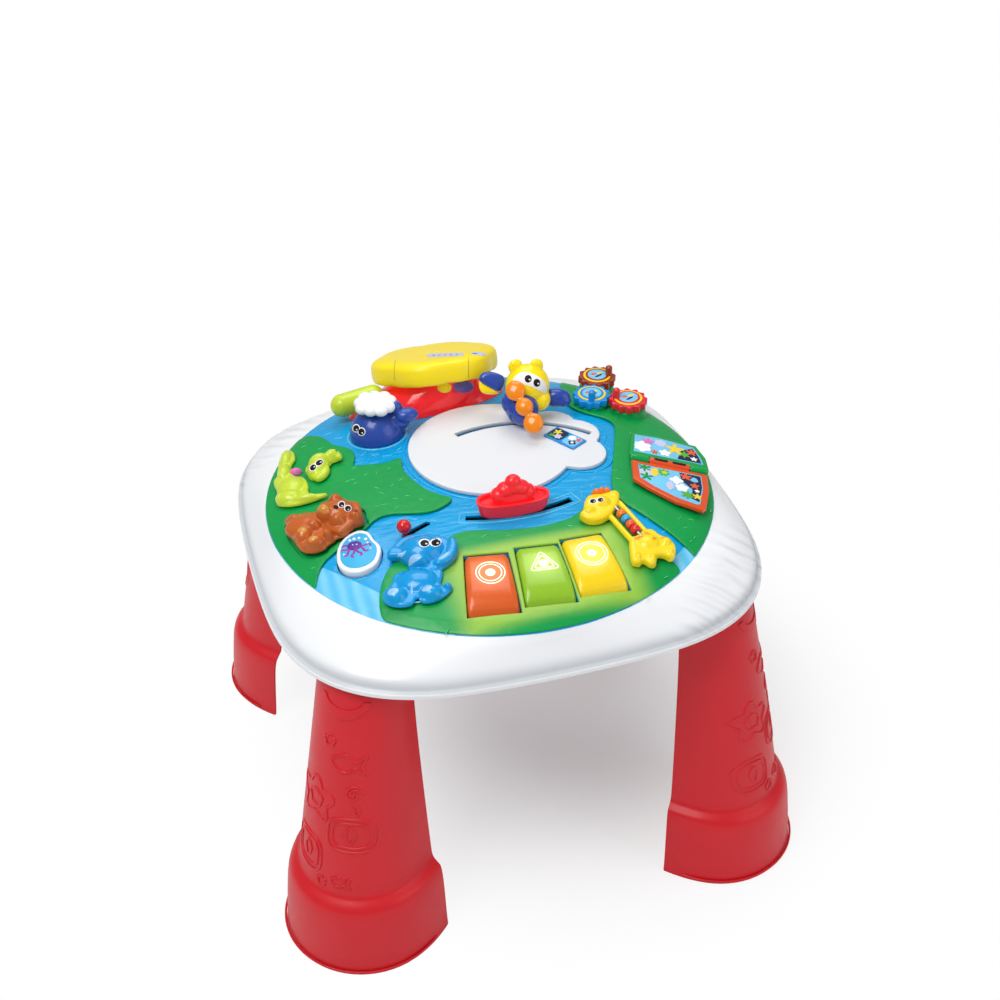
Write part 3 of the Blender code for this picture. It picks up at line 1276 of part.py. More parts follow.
def hull_ring(frame, length, width, height, inset=0):
    """A boat-shaped ring: round stern, drawn-in bow."""
    points = []
    for i in range(ROUND_STEPS):
        angle = math.tau * i / ROUND_STEPS
        c, s = math.cos(angle), math.sin(angle)
        x = math.copysign(abs(c) ** HULL_CORNER_POWER, c) * (length / 2 - inset)
        y = math.copysign(abs(s) ** HULL_CORNER_POWER, s) * (width / 2 - inset)
        points.append(frame @ Vector((x, y, height)))
    return points


def make_boat():
    pivot = place(BOAT_PIVOT_SHARE)
    at = on_arc(pivot, BOAT_ARC_RADIUS, BOAT_REST_ANGLE)
    turn = Matrix.Rotation(math.radians(BOAT_REST_ANGLE + 90), 4, "Z")
    frame = Matrix.Translation((at.x, at.y, BOAT_BOTTOM)) @ turn
    frame = frame @ Matrix.Translation((0, BOAT_OFFSET, 0))
    top = BOAT_HULL_HEIGHT
    deck = top - BOAT_DECK_DEPTH
    rings = [hull_ring(frame, BOAT_LENGTH * long, BOAT_WIDTH * wide, top * high)
             for long, wide, high in BOAT_HULL_SHARES]
    rings.append(hull_ring(frame, BOAT_LENGTH, BOAT_WIDTH, top, BOAT_RIM))
    rings.append(hull_ring(frame, BOAT_LENGTH, BOAT_WIDTH, deck, BOAT_RIM))
    hull = loft("boat_hull", rings, "boat_red")
    lobes = []
    for along, across, long, wide, high in BOAT_CABIN_SHARES:
        place_at = frame @ Matrix.Translation((along * BOAT_LENGTH, across * BOAT_LENGTH,
                                               deck + FIT_GAP))
        steps = SMALL_BLOB_STEPS if lobes else LARGE_BLOB_STEPS
        lobes.append(ellipsoid("cabin_lobe", place_at,
                               (long * BOAT_LENGTH, wide * BOAT_LENGTH, high * BOAT_LENGTH), None,
                               steps))
    cabin = join(lobes[0], *lobes[1:])
    reach = BOAT_LENGTH
    cut(cabin, box("deck_cut", (-reach, -reach, deck + FIT_GAP - reach),
                   (reach, reach, deck + FIT_GAP), None, frame))
    settle(cabin)
    bm = bmesh.new()
    bm.from_mesh(cabin.data)
    bpy.data.objects.remove(cabin)
    mesh_object("boat_cabin", bm, "boat_red")
    slider("boat_slider", at, pivot, BOAT_ARC_RADIUS, boat_slot_angles(), BOAT_BOTTOM - FIT_GAP,
           "boat_red")
    return hull


# Aeroplane

def plane_ellipsoid(name, place_shares, size_shares, heading=0, gap=0, colour=None, steps=None):
    turn = Matrix.Rotation(math.radians(heading), 4, "Z")
    size = Vector(size_shares) * PLAY_SPAN + Vector((gap, gap, gap))
    return ellipsoid(name, Matrix.Translation(over_dome(place_shares)) @ turn, size, colour, steps)


def head_room(name):
    """A cutter as large as the head and its gap."""
    return plane_ellipsoid(name, PLANE_HEAD_SHARES, PLANE_HEAD_SIZE_SHARES, 0, FIT_GAP, None,
                           ROUND_BODY_STEPS)


def make_plane():
    pivot = place(PLANE_PIVOT_SHARE)
    at = on_arc(pivot, PLANE_ARC_RADIUS, PLANE_REST_ANGLE)
    head = plane_ellipsoid("plane_body", PLANE_HEAD_SHARES, PLANE_HEAD_SIZE_SHARES, 0, 0,
                           "plane_yellow", ROUND_BODY_STEPS)
    for fin in PLANE_FIN_TABLE_SHARES:
        join(head, plane_ellipsoid("fin", fin, PLANE_FIN_SIZE_SHARES, PLANE_WING_HEADING))
    settle(head)
    nose = Vector(PLANE_NOSE_SHARES).normalized()
    hub = over_dome(PLANE_HUB_SHARES)
    belly = plane_ellipsoid("plane_belly", PLANE_BELLY_SHARES, PLANE_BELLY_SIZE_SHARES, 0, 0,
                            "plane_blue")
    neck_top = over_dome(PLANE_BELLY_SHARES).z - PLANE_BELLY_SIZE_SHARES[2] * PLAY_SPAN / 2
    join(belly, cylinder("neck", SLIDER_POST_RADIUS * 2, (at.x, at.y, PLANE_FOOT_BOTTOM),
                         (at.x, at.y, neck_top), steps=SMALL_ROUND_STEPS))
    cut(belly, head_room("belly_head_room"))
    half = PROPELLER_THICKNESS / 2
    join(belly, cylinder("propeller_pin", PROPELLER_PIN_RADIUS, hub - nose * PROPELLER_PIN_LENGTH,
                         hub + nose * half, steps=SMALL_ROUND_STEPS))
    settle(belly)
    for name, shares in (("plane_wing_left", PLANE_WING_LEFT_SHARES),
                         ("plane_wing_right", PLANE_WING_RIGHT_SHARES)):
        wing = plane_ellipsoid(name, shares, PLANE_WING_SIZE_SHARES, PLANE_WING_HEADING, 0,
                               "plane_blue")
        settle(cut(wing, head_room("wing_head_room")))
    make_propeller(hub, nose, half)
    slider("plane_slider", at, pivot, PLANE_ARC_RADIUS, PLANE_SLOT_ANGLES,
           PLANE_FOOT_BOTTOM - FIT_GAP, "plane_blue")


def make_propeller(hub, nose, half):
    """Two round blades and a hub, bored for the pin on the plane's nose."""
    blade = Vector(PROPELLER_BLADE_SHARES)
    blade = (blade - nose * blade.dot(nose)).normalized()
    frame = Matrix((blade, nose.cross(blade), nose)).transposed().to_4x4()
    frame.translation = hub
    long, wide, thick = PROPELLER_HUB_SHARES
    propeller = ellipsoid("plane_propeller", frame,
                          (PROPELLER_LOBE_RADIUS * long, PROPELLER_LOBE_RADIUS * wide, half * thick),
                          "propeller_orange")
    for side in (-1, 1):
        join(propeller, ellipsoid("blade_lobe",
                                  frame @ Matrix.Translation((side * PROPELLER_REACH, 0, 0)),
                                  (PROPELLER_LOBE_RADIUS, PROPELLER_LOBE_RADIUS, half)))
    reach = nose * CUT_OVERRUN * 2
    cut(propeller, cylinder("propeller_bore", PROPELLER_PIN_RADIUS + FIT_GAP, hub - reach,
                            hub + reach, steps=SMALL_ROUND_STEPS))
    settle(propeller)


# Whale

def lobed_ring(frame, radius, lobe, lobes, height, share=1.0, steps=CAP_STEPS):
    points = []
    for i in range(steps):
        angle = math.tau * i / steps
        reach = (radius + lobe * abs(math.cos(lobes * angle / 2))) * share
        points.append(frame @ Vector((reach * math.cos(angle), reach * math.sin(angle), height)))
    return points


def make_whale():
    at = place(WHALE_PLACE_SHARE)
    frame = dome_frame(at, 0)
    whale = ellipsoid("whale_blob", frame @ Matrix.Translation((0, 0, FIGURE_SEAT_GAP)),
                      (WHALE_RADIUS, WHALE_RADIUS, WHALE_HEIGHT), None, ROUND_BODY_STEPS)
    reach = FIGURE_SPAN
    cut(whale, box("whale_seat", (-reach, -reach, FIGURE_SEAT_GAP - reach),
                   (reach, reach, FIGURE_SEAT_GAP), None, frame))
    for centre, size in WHALE_TAIL_SHARES:
        join(whale, ellipsoid("tail", Matrix.Translation(over_dome(centre)),
                              Vector(size) * PLAY_SPAN))
    top = SPOUT_HEIGHT + SPOUT_THICKNESS / 4
    join(whale, cylinder("spout_post", SPOUT_POST_RADIUS,
                         (at.x, at.y, dome_height(*at) + WHALE_HEIGHT / 2), (at.x, at.y, top),
                         steps=SMALL_ROUND_STEPS))
    settle(whale)
    bm = bmesh.new()
    bm.from_mesh(whale.data)
    bpy.data.objects.remove(whale)
    mesh_object("whale_body", bm, "whale_blue")
    level = Matrix.Translation((at.x, at.y, SPOUT_HEIGHT))
    half = SPOUT_THICKNESS / 2
    spout = loft("whale_spout", [lobed_ring(level, SPOUT_RADIUS, SPOUT_LOBE, SPOUT_LOBES, half * rise,
                                            share, SPOUT_STEPS)
                                 for share, rise in SPOUT_RING_SHARES], "cloud_white")
    cut(spout, cylinder("spout_bore", SPOUT_POST_RADIUS + FIT_GAP, (at.x, at.y, SPOUT_HEIGHT - half * 2),
                        (at.x, at.y, top + FIT_GAP), steps=SMALL_ROUND_STEPS))
    settle(spout)


# Base, turning cap, spindle and lime handle

def cap_frame():
    return Matrix.Translation(over_dome(CAP_CENTRE_SHARES)) @ Matrix.Rotation(math.radians(-CAP_TILT), 4, "X")


def base_rings(grow=0.0):
    """Outer rings of the base, from the panel up to the tilted round top."""
    outline = smooth_outline([place(pair) for pair in BASE_SHARES])
    outline = grown(outline, grow)
    centre = sum(outline, Vector((0, 0))) / len(outline)
    top_z = -CAP_THICKNESS / 2 - CAP_RUN_GAP + grow
    frame = cap_frame()
    bottom, middle, top = [], [], []
    for point in outline:
        away = (point - centre).normalized()
        rim = frame @ Vector((away.x * (BASE_TOP_RADIUS + grow), away.y * (BASE_TOP_RADIUS + grow),
                              top_z))
        foot = Vector((point.x, point.y, dome_height(*point) + FIT_GAP))
        bottom.append(foot)
        middle.append(foot.lerp(rim, 0.5) + Vector((away.x, away.y, 0)) * BASE_WALL)
        top.append(rim)
    return bottom, middle, top


def make_stage():
    outer = base_rings()
    inner = base_rings(-BASE_WALL)
    frame = cap_frame()
    count = len(outer[0])
    top_z = -CAP_THICKNESS / 2 - CAP_RUN_GAP
    holes = []
    outline = outer[0]
    centre = sum((p.xy for p in outline), Vector((0, 0))) / count
    for z in (top_z, top_z - BASE_WALL):
        hole = []
        for point in outline:
            away = (point.xy - centre).normalized() * (SPINDLE_RADIUS + FIT_GAP)
            hole.append(frame @ Vector((away.x, away.y, z)))
        holes.append(hole)
    rings = [outer[0], outer[1], outer[2], holes[0], holes[1], inner[2], inner[1], inner[0]]
    loft("stage_base", rings, "base_red", closed=True)
    cap = loft("turn_cap", [lobed_ring(frame, CAP_RADIUS, CAP_LOBE, CAP_LOBES, z * CAP_THICKNESS,
                                       share) for share, z in CAP_PROFILE_SHARES], "cap_yellow")
    top = CAP_THICKNESS / 4
    cut(cap, cylinder("cap_bore", SPINDLE_RADIUS + FIT_GAP,
                      frame @ Vector((0, 0, -CAP_THICKNESS)), frame @ Vector((0, 0, top + FIT_GAP)),
                      steps=SMALL_ROUND_STEPS))
    settle(cap)
    under = top_z - BASE_WALL - FIT_GAP
    spindle = cylinder("cap_spindle", SPINDLE_RADIUS, frame @ Vector((0, 0, under - BASE_WALL)),
                       frame @ Vector((0, 0, top)), "steel", steps=SMALL_ROUND_STEPS)
    join(spindle, cylinder("spindle_flange", SPINDLE_FLANGE_RADIUS,
                           frame @ Vector((0, 0, under - SPINDLE_FLANGE_THICKNESS)),
                           frame @ Vector((0, 0, under)), steps=SMALL_ROUND_STEPS))
    settle(spindle)
    start, end = over_dome(LIME_START_SHARES), over_dome(LIME_END_SHARES)
    handle = cylinder("lime_handle", LIME_RADIUS, start, end, "lime", steps=LIME_STEPS[0])
    join(handle, ellipsoid("lime_end", Matrix.Translation(start), (LIME_RADIUS,) * 3, None,
                           LIME_STEPS))
    settle(handle)
    cut(handle, loft("base_room", base_rings(RUN_GAP)))
    settle(handle)


# Gears

def gear_post_top():
    return HILL_TOP + GEAR_THICKNESS - GEAR_BACKLASH


def gear_centres():
    first = place(GEAR_START_SHARE)
    reach = 2 * GEAR_PITCH_RADIUS
    return [first] + [on_arc(first, reach, heading) for heading in GEAR_HEADINGS]


def gear_outline(phase):
    """Rounded teeth, as a smooth wave about the pitch circle."""
    points = []
    steps = GEAR_TEETH * GEAR_TOOTH_POINTS
    for i in range(steps):
        angle = math.tau * i / steps
        wave = math.cos(GEAR_TEETH * (angle - phase))
        reach = GEAR_PITCH_RADIUS - GEAR_BACKLASH + GEAR_TOOTH / 2 * wave
        points.append(Vector((reach * math.cos(angle), reach * math.sin(angle))))
    return points


def make_gears():
    """The middle gear drives one neighbour on each side, tooth in gap."""
    centres = gear_centres()
    pitch = math.tau / GEAR_TEETH
    names = ("gear_blue", "gear_brown", "gear_red")
    for i, (name, centre) in enumerate(zip(names, centres)):
        if i == 0:
            phase = math.radians(GEAR_HEADINGS[0])
        else:
            heading = math.radians(GEAR_HEADINGS[i - 1])
            toward = heading + math.pi
            driver_phase = math.radians(GEAR_HEADINGS[0])
            offset = (heading - driver_phase) % pitch
            phase = toward + pitch / 2 + offset
        frame = Matrix.Translation((centre.x, centre.y, HILL_TOP + FIT_GAP))
        gear = prism(name, gear_outline(phase), 0, GEAR_THICKNESS, name, frame)
        peg = on_arc(Vector((0, 0)), GEAR_PEG_OFFSET, GEAR_HEADINGS[0])
        foot = frame @ Vector((peg.x, peg.y, GEAR_THICKNESS / 2))
        tip = frame @ Vector((peg.x, peg.y, GEAR_THICKNESS + GEAR_PEG_HEIGHT))
        join(gear, cylinder("gear_peg", GEAR_PEG_RADIUS, foot, tip, steps=PIN_STEPS,
                            end_radius=GEAR_PEG_RADIUS * GEAR_PEG_TIP_SHARE))
        cut(gear, cylinder("gear_bore", GEAR_POST_RADIUS + FIT_GAP,
                           frame @ Vector((0, 0, -CUT_OVERRUN)),
                           frame @ Vector((0, 0, GEAR_THICKNESS - GEAR_BACKLASH / 2 + FIT_GAP)),
                           steps=PIN_STEPS))
        settle(gear)


# Book

def knuckle(name, frame, first, last, radius, colour=None):
    a, b = first * FIGURE_SPAN, last * FIGURE_SPAN
    return cylinder(name, radius, frame @ Vector((a, 0, BOOK_HINGE_HEIGHT)),
                    frame @ Vector((b, 0, BOOK_HINGE_HEIGHT)), colour, steps=PIN_STEPS)


def make_book():
    """A page that turns on a pin, and the fixed back cover with its two pin housings."""
    frame = dome_frame(place(BOOK_PLACE_SHARE), BOOK_HEADING)
    left, middle, right = BOOK_KNUCKLE_SHARES
    bore_ends = (left[0] - FIGURE_SPAN, right[1] + FIGURE_SPAN)
    page = prism("book_page", [place(pair, FIGURE_SPAN) for pair in BOOK_PAGE_SHARES], BOOK_SEAT,
                 BOOK_SEAT + BOOK_THICKNESS, "book_orange", frame)
    arm = BOOK_KNUCKLE_RADIUS
    join(page, knuckle("page_knuckle", frame, *middle, BOOK_KNUCKLE_RADIUS))
    low, high = BOOK_SEAT + FIT_GAP, BOOK_SEAT + BOOK_THICKNESS - FIT_GAP
    join(page, box("page_arm", (middle[0] * FIGURE_SPAN + FIT_GAP, -arm - arm, low),
                   (middle[1] * FIGURE_SPAN - FIT_GAP, -arm * BOOK_ARM_SHARES[0], high), None, frame))
    cut(page, knuckle("page_bore", frame, *bore_ends, BOOK_PIN_RADIUS + FIT_GAP))
    settle(page)
    cover = prism("book_cover", [place(pair, FIGURE_SPAN) for pair in BOOK_COVER_SHARES],
                  BOOK_SEAT, BOOK_SEAT + BOOK_THICKNESS, "land_green", frame)
    for span in (left, right):
        join(cover, knuckle("cover_knuckle", frame, *span, BOOK_KNUCKLE_RADIUS))
        join(cover, box("cover_arm", (span[0] * FIGURE_SPAN + FIT_GAP, arm * BOOK_ARM_SHARES[0], low),
                        (span[1] * FIGURE_SPAN - FIT_GAP, arm * BOOK_ARM_SHARES[1], high), None, frame))
    cut(cover, knuckle("cover_bore", frame, *bore_ends, BOOK_PIN_RADIUS + FIT_GAP))
    settle(cover)
    knuckle("book_pin", frame, left[0], right[1], BOOK_PIN_RADIUS, "steel")


make_table_frame()
for leg, heading in (("front_left", 225), ("front_right", 315), ("back_right", 45),
                     ("back_left", 135)):
    make_leg("leg_" + leg, heading)
make_lower_tray()
make_batteries()
make_electronics()
make_power_switch()
make_river_panel()
make_lands()
make_pond()
make_keys()
make_elephant()
make_buttons()
make_crocodile()
make_giraffe()
make_boat()
make_plane()
make_whale()
make_stage()
make_gears()
make_book()
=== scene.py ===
# %% [markdown]
# # An activity table
#
# The table is a white rounded-square top on four hollow red legs. Its play panel is a low
# dome of blue plastic with raised green land, and it carries small moulded toys. The packed
# model gives the sizes and the joints. This script gives each piece its smooth skin and its
# finish. It starts by loading that model, which every later cell reads its places from.

# %% Load the model
import json
import math
import random

import bmesh
import bpy
from mathutils import Matrix, Vector
from mathutils.bvhtree import BVHTree


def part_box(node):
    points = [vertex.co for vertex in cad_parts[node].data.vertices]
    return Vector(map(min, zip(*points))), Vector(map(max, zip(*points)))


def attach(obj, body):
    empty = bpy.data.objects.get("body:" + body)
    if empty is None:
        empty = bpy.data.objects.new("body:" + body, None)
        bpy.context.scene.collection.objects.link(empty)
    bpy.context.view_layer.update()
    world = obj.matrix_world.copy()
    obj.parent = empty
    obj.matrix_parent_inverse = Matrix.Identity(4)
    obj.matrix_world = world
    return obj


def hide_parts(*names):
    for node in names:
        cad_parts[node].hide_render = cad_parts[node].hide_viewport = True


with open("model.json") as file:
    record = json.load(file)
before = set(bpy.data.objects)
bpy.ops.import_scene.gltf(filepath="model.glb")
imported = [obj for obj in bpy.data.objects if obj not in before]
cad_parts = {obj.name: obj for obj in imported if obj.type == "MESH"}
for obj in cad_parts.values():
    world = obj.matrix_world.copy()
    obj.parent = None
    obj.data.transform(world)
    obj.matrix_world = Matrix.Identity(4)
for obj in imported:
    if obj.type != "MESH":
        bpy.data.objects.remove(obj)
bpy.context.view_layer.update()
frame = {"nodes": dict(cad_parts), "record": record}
MM = 0.001

# %% [markdown]
# ## Camera
#
# The photograph looks down at the table from the front left, so the camera is built from
# three directions: where it stands, what is right and what is up. The third direction, back
# towards the camera, is used again later, for eyes that are printed to be seen face on.

# %% Camera
CAMERA_PLACE = Vector((-0.3029, -1.0663, 1.1013))
CAMERA_RIGHT = Vector((0.958, -0.2867, -0.0077))
CAMERA_UP = Vector((0.1721, 0.5529, 0.8153))
CAMERA_LENS = 52.18


def make_camera():
    data = bpy.data.cameras.new("camera")
    data.lens = CAMERA_LENS
    data.sensor_width = 36
    camera = bpy.data.objects.new("camera", data)
    right = CAMERA_RIGHT.normalized()
    back = right.cross(CAMERA_UP).normalized()
    up = back.cross(right)
    camera.matrix_world = Matrix((right, up, back)).transposed().to_4x4()
    camera.location = CAMERA_PLACE
    bpy.context.scene.collection.objects.link(camera)
    bpy.context.scene.camera = camera
    return back


VIEW_BACK = make_camera()
bpy.context.scene.view_settings.view_transform = "Standard"
print("camera looks along:", [round(-value, 3) for value in VIEW_BACK])

# %% [markdown]
# ## Short ways to add nodes
#
# A material is a tree of nodes. To add one takes a line for the node, one for each setting
# and one for each input, so three helpers put that into a single call. An input is given a
# number, a colour, or the output of another node, and the helper links it or sets it.

# %% Node helpers
def fill_inputs(node, values):
    """Set each input, by name or number, or link it where the value is an output."""
    for label, value in values.items():
        if isinstance(value, bpy.types.NodeSocket):
            node.id_data.links.new(value, node.inputs[label])
        else:
            node.inputs[label].default_value = value


def add_node(tree, kind, values, **settings):
    node = tree.nodes.new("ShaderNode" + kind)
    for label, value in settings.items():
        setattr(node, label, value)
    fill_inputs(node, values)
    return node


def object_place(tree):
    """The point on the object's own mesh, which every pattern here reads."""
    return tree.nodes.new("ShaderNodeTexCoord").outputs["Object"]


def math_node(tree, operation, first, second):
    """A Math node. Each side is a number or a socket."""
    return add_node(tree, "Math", {0: first, 1: second}, operation=operation).outputs[0]


def ramp_node(tree, value, start, end, low=0.0, high=1.0, soft=False):
    """Turn a range of values into another, in a straight line or softly."""
    kind = "SMOOTHSTEP" if soft else "LINEAR"
    return add_node(tree, "MapRange", {
        "Value": value, "From Min": start, "From Max": end, "To Min": low, "To Max": high,
    }, interpolation_type=kind).outputs["Result"]


def distance_node(tree, centre):
    return add_node(tree, "VectorMath", {0: object_place(tree), 1: centre},
                    operation="DISTANCE").outputs["Value"]


# %% [markdown]
# ## World and floor
#
# The camera sees a white world, but as a light the world is kept dim, or the shadows would
# drown. A Light Path node tells the two apart. The floor is matt paper that glows only for
# the camera, and less so round a point under the table, which leaves a soft shade there.

# %% World
WORLD_LIGHT = 0.30


def make_world():
    world = bpy.data.worlds.new("studio")
    bpy.context.scene.world = world
    world.use_nodes = True
    tree = world.node_tree
    path = tree.nodes.new("ShaderNodeLightPath")
    seen = math_node(tree, "MAXIMUM", path.outputs["Is Camera Ray"],
                     path.outputs["Is Transmission Ray"])
    fill_inputs(tree.nodes["Background"], {
        "Color": (1, 1, 1, 1), "Strength": ramp_node(tree, seen, 0.0, 1.0, WORLD_LIGHT)})


make_world()
print("world light:", WORLD_LIGHT)

# %% Floor
FLOOR_HALF = 4.0
FLOOR_GLOW = 0.22
FLOOR_FADE = (0.06, 0.38)
SHADE_CENTRE = (0.10, 0.04, 0)


def make_floor():
    bm = bmesh.new()
    bmesh.ops.create_grid(bm, x_segments=1, y_segments=1, size=FLOOR_HALF)
    mesh = bpy.data.meshes.new("floor")
    bm.to_mesh(mesh)
    bm.free()
    floor = bpy.data.objects.new("floor", mesh)
    bpy.context.scene.collection.objects.link(floor)
    material = bpy.data.materials.new("floor_paper")
    material.use_nodes = True
    tree = material.node_tree
    shader = tree.nodes["Principled BSDF"]
    fill_inputs(shader, {"Base Color": (0.92, 0.92, 0.93, 1), "Roughness": 0.9,
                         "Specular IOR Level": 0.0})
    glow = tree.nodes.new("ShaderNodeEmission")
    fade = ramp_node(tree, distance_node(tree, SHADE_CENTRE), *FLOOR_FADE, FLOOR_GLOW, 1.0, True)
    path = tree.nodes.new("ShaderNodeLightPath")
    share = math_node(tree, "MULTIPLY", path.outputs["Is Camera Ray"], fade)
    mix = add_node(tree, "MixShader", {"Fac": share, 1: shader.outputs["BSDF"],
                                       2: glow.outputs["Emission"]})
    fill_inputs(tree.nodes["Material Output"], {"Surface": mix.outputs["Shader"]})
    mesh.materials.append(material)


make_floor()
print("floor half width:", FLOOR_HALF)

# %% [markdown]
# ## Lamps
#
# Three large area lamps light the table: a strong one from the left, a weak one that fills
# the right side, and one from behind and above that rims the white edge. Each is turned
# towards the middle of the table, and a large lamp makes a soft shadow.

# %% Lamps
LAMP_TARGET = Vector((0, 0, 0.3))


def make_lamp(name, place, size, power):
    data = bpy.data.lights.new(name, "AREA")
    data.size = size
    data.energy = power
    lamp = bpy.data.objects.new(name, data)
    lamp.location = place
    aim = LAMP_TARGET - Vector(place)
    lamp.rotation_euler = aim.to_track_quat("-Z", "Y").to_euler()
    bpy.context.scene.collection.objects.link(lamp)


LAMPS = (
    ("key_lamp", (-1.0, -0.6, 2.3), 1.2, 32), ("fill_lamp", (1.4, -1.4, 1.2), 1.5, 9),
    ("top_lamp", (0.2, 0.9, 2.2), 1.4, 17),
)
for row in LAMPS:
    make_lamp(*row)
print("lamps:", len(LAMPS))

# %% [markdown]
# ## Moulded plastic
#
# Nearly everything here is injection-moulded plastic. Such a surface is never one flat
# colour: the pigment is a little cloudy, the gloss wanders, and the mould leaves a very
# fine grain. One node group makes those three things from Object coordinates, and each
# material sets its own colour, gloss and grain, because only the amounts differ.

# %% Node group for moulded plastic
CLOUD_SCALE = 22.0
GLOSS_SCALE = 60.0
GLOSS_SWING = 0.14


def new_group(name, inputs, outputs):
    group = bpy.data.node_groups.new(name, "ShaderNodeTree")
    for label, kind, value in inputs:
        socket = group.interface.new_socket(label, in_out="INPUT", socket_type=kind)
        socket.default_value = value
    for label, kind in outputs:
        group.interface.new_socket(label, in_out="OUTPUT", socket_type=kind)
    return group, group.nodes.new("NodeGroupInput"), group.nodes.new("NodeGroupOutput")


def noise_node(tree, coordinates, scale, detail=2.0):
    return add_node(tree, "TexNoise", {
        "Detail": detail, "Scale": scale, "Vector": coordinates}).outputs["Fac"]


def build_moulded_group():
    group, given, result = new_group("moulded_plastic", [
        ("Color", "NodeSocketColor", (1, 1, 1, 1)),
        ("Mottle", "NodeSocketFloat", 0.06),
        ("Roughness", "NodeSocketFloat", 0.3),
        ("Grain Scale", "NodeSocketFloat", 900.0),
        ("Grain Depth", "NodeSocketFloat", 0.00002),
    ], [("Color", "NodeSocketColor"), ("Roughness", "NodeSocketFloat"),
        ("Normal", "NodeSocketVector")])
    place = object_place(group)
    cloud = math_node(group, "SUBTRACT", noise_node(group, place, CLOUD_SCALE, 3.0), 0.5)
    shift = math_node(group, "MULTIPLY", cloud, given.outputs["Mottle"])
    value = math_node(group, "ADD", math_node(group, "MULTIPLY", shift, 2.0), 1.0)
    tint = add_node(group, "HueSaturation", {"Value": value, "Color": given.outputs["Color"]})
    wander = math_node(group, "SUBTRACT", noise_node(group, place, GLOSS_SCALE), 0.5)
    gloss = math_node(group, "ADD", math_node(group, "MULTIPLY", wander, GLOSS_SWING),
                      given.outputs["Roughness"])
    grain = noise_node(group, place, given.outputs["Grain Scale"])
    bump = add_node(group, "Bump", {"Strength": 0.35, "Height": grain,
                                    "Distance": given.outputs["Grain Depth"]})
    fill_inputs(result, {"Color": tint.outputs["Color"], "Roughness": gloss,
                         "Normal": bump.outputs["Normal"]})
    return group


MOULDED = build_moulded_group()
print("node group:", MOULDED.name, "with", len(MOULDED.nodes), "nodes")

# %% [markdown]
# ## A material for each colour
#
# A finish is a colour, a gloss, a clear coat and a little mottle. The colours are noted as
# they are seen, 0 to 255, and turned into the linear values that shaders use. Each material
# places the group above and feeds its three outputs to the Principled BSDF. The boat, the
# base, the aeroplane and the cap also glow a little, which is painted light: it brightens
# their sides that the lamps leave in shade.

# %% Material helpers
def srgb(red, green, blue):
    """A colour as it is seen, 0 to 255, as the linear values that shaders use."""
    return tuple((c / 255) ** 2.2 for c in (red, green, blue)) + (1.0,)


def plastic(name, colour, roughness=0.26, coat=0.35, mottle=0.06, see_through=0.0):
    """A material of moulded plastic, which keeps the name of its group node."""
    material = bpy.data.materials.new(name)
    material.use_nodes = True
    tree = material.node_tree
    moulded = tree.nodes.new("ShaderNodeGroup")
    moulded.node_tree = MOULDED
    fill_inputs(moulded, {"Color": colour, "Mottle": mottle, "Roughness": roughness})
    fill_inputs(tree.nodes["Principled BSDF"], {
        "Base Color": moulded.outputs["Color"], "Roughness": moulded.outputs["Roughness"],
        "Normal": moulded.outputs["Normal"], "Coat Weight": coat, "Coat Roughness": 0.08,
        "Specular IOR Level": 0.32, "Transmission Weight": see_through,
    })
    material["group"] = moulded.name
    return material


def moulded_node(material):
    return material.node_tree.nodes[material["group"]]


def mix_colours(tree, share, first, second):
    """Mix two colours. The node has sockets of one name for each type, so RGBA is sought."""
    mix = add_node(tree, "Mix", {"Factor": share}, data_type="RGBA")
    slots = {slot.name: i for i, slot in enumerate(mix.inputs) if slot.type == "RGBA"}
    fill_inputs(mix, {slots["A"]: first, slots["B"]: second})
    return [slot for slot in mix.outputs if slot.type == "RGBA"][0]


def add_relief(material, height, strength, distance):
    """Press a pattern of heights into a material, on top of the plastic's own grain."""
    tree = material.node_tree
    bump = add_node(tree, "Bump", {"Strength": strength, "Distance": distance, "Height": height,
                                   "Normal": moulded_node(material).outputs["Normal"]})
    fill_inputs(tree.nodes["Principled BSDF"], {"Normal": bump.outputs["Normal"]})


def light_up(material, colour, strength):
    fill_inputs(material.node_tree.nodes["Principled BSDF"],
                {"Emission Color": colour, "Emission Strength": strength})


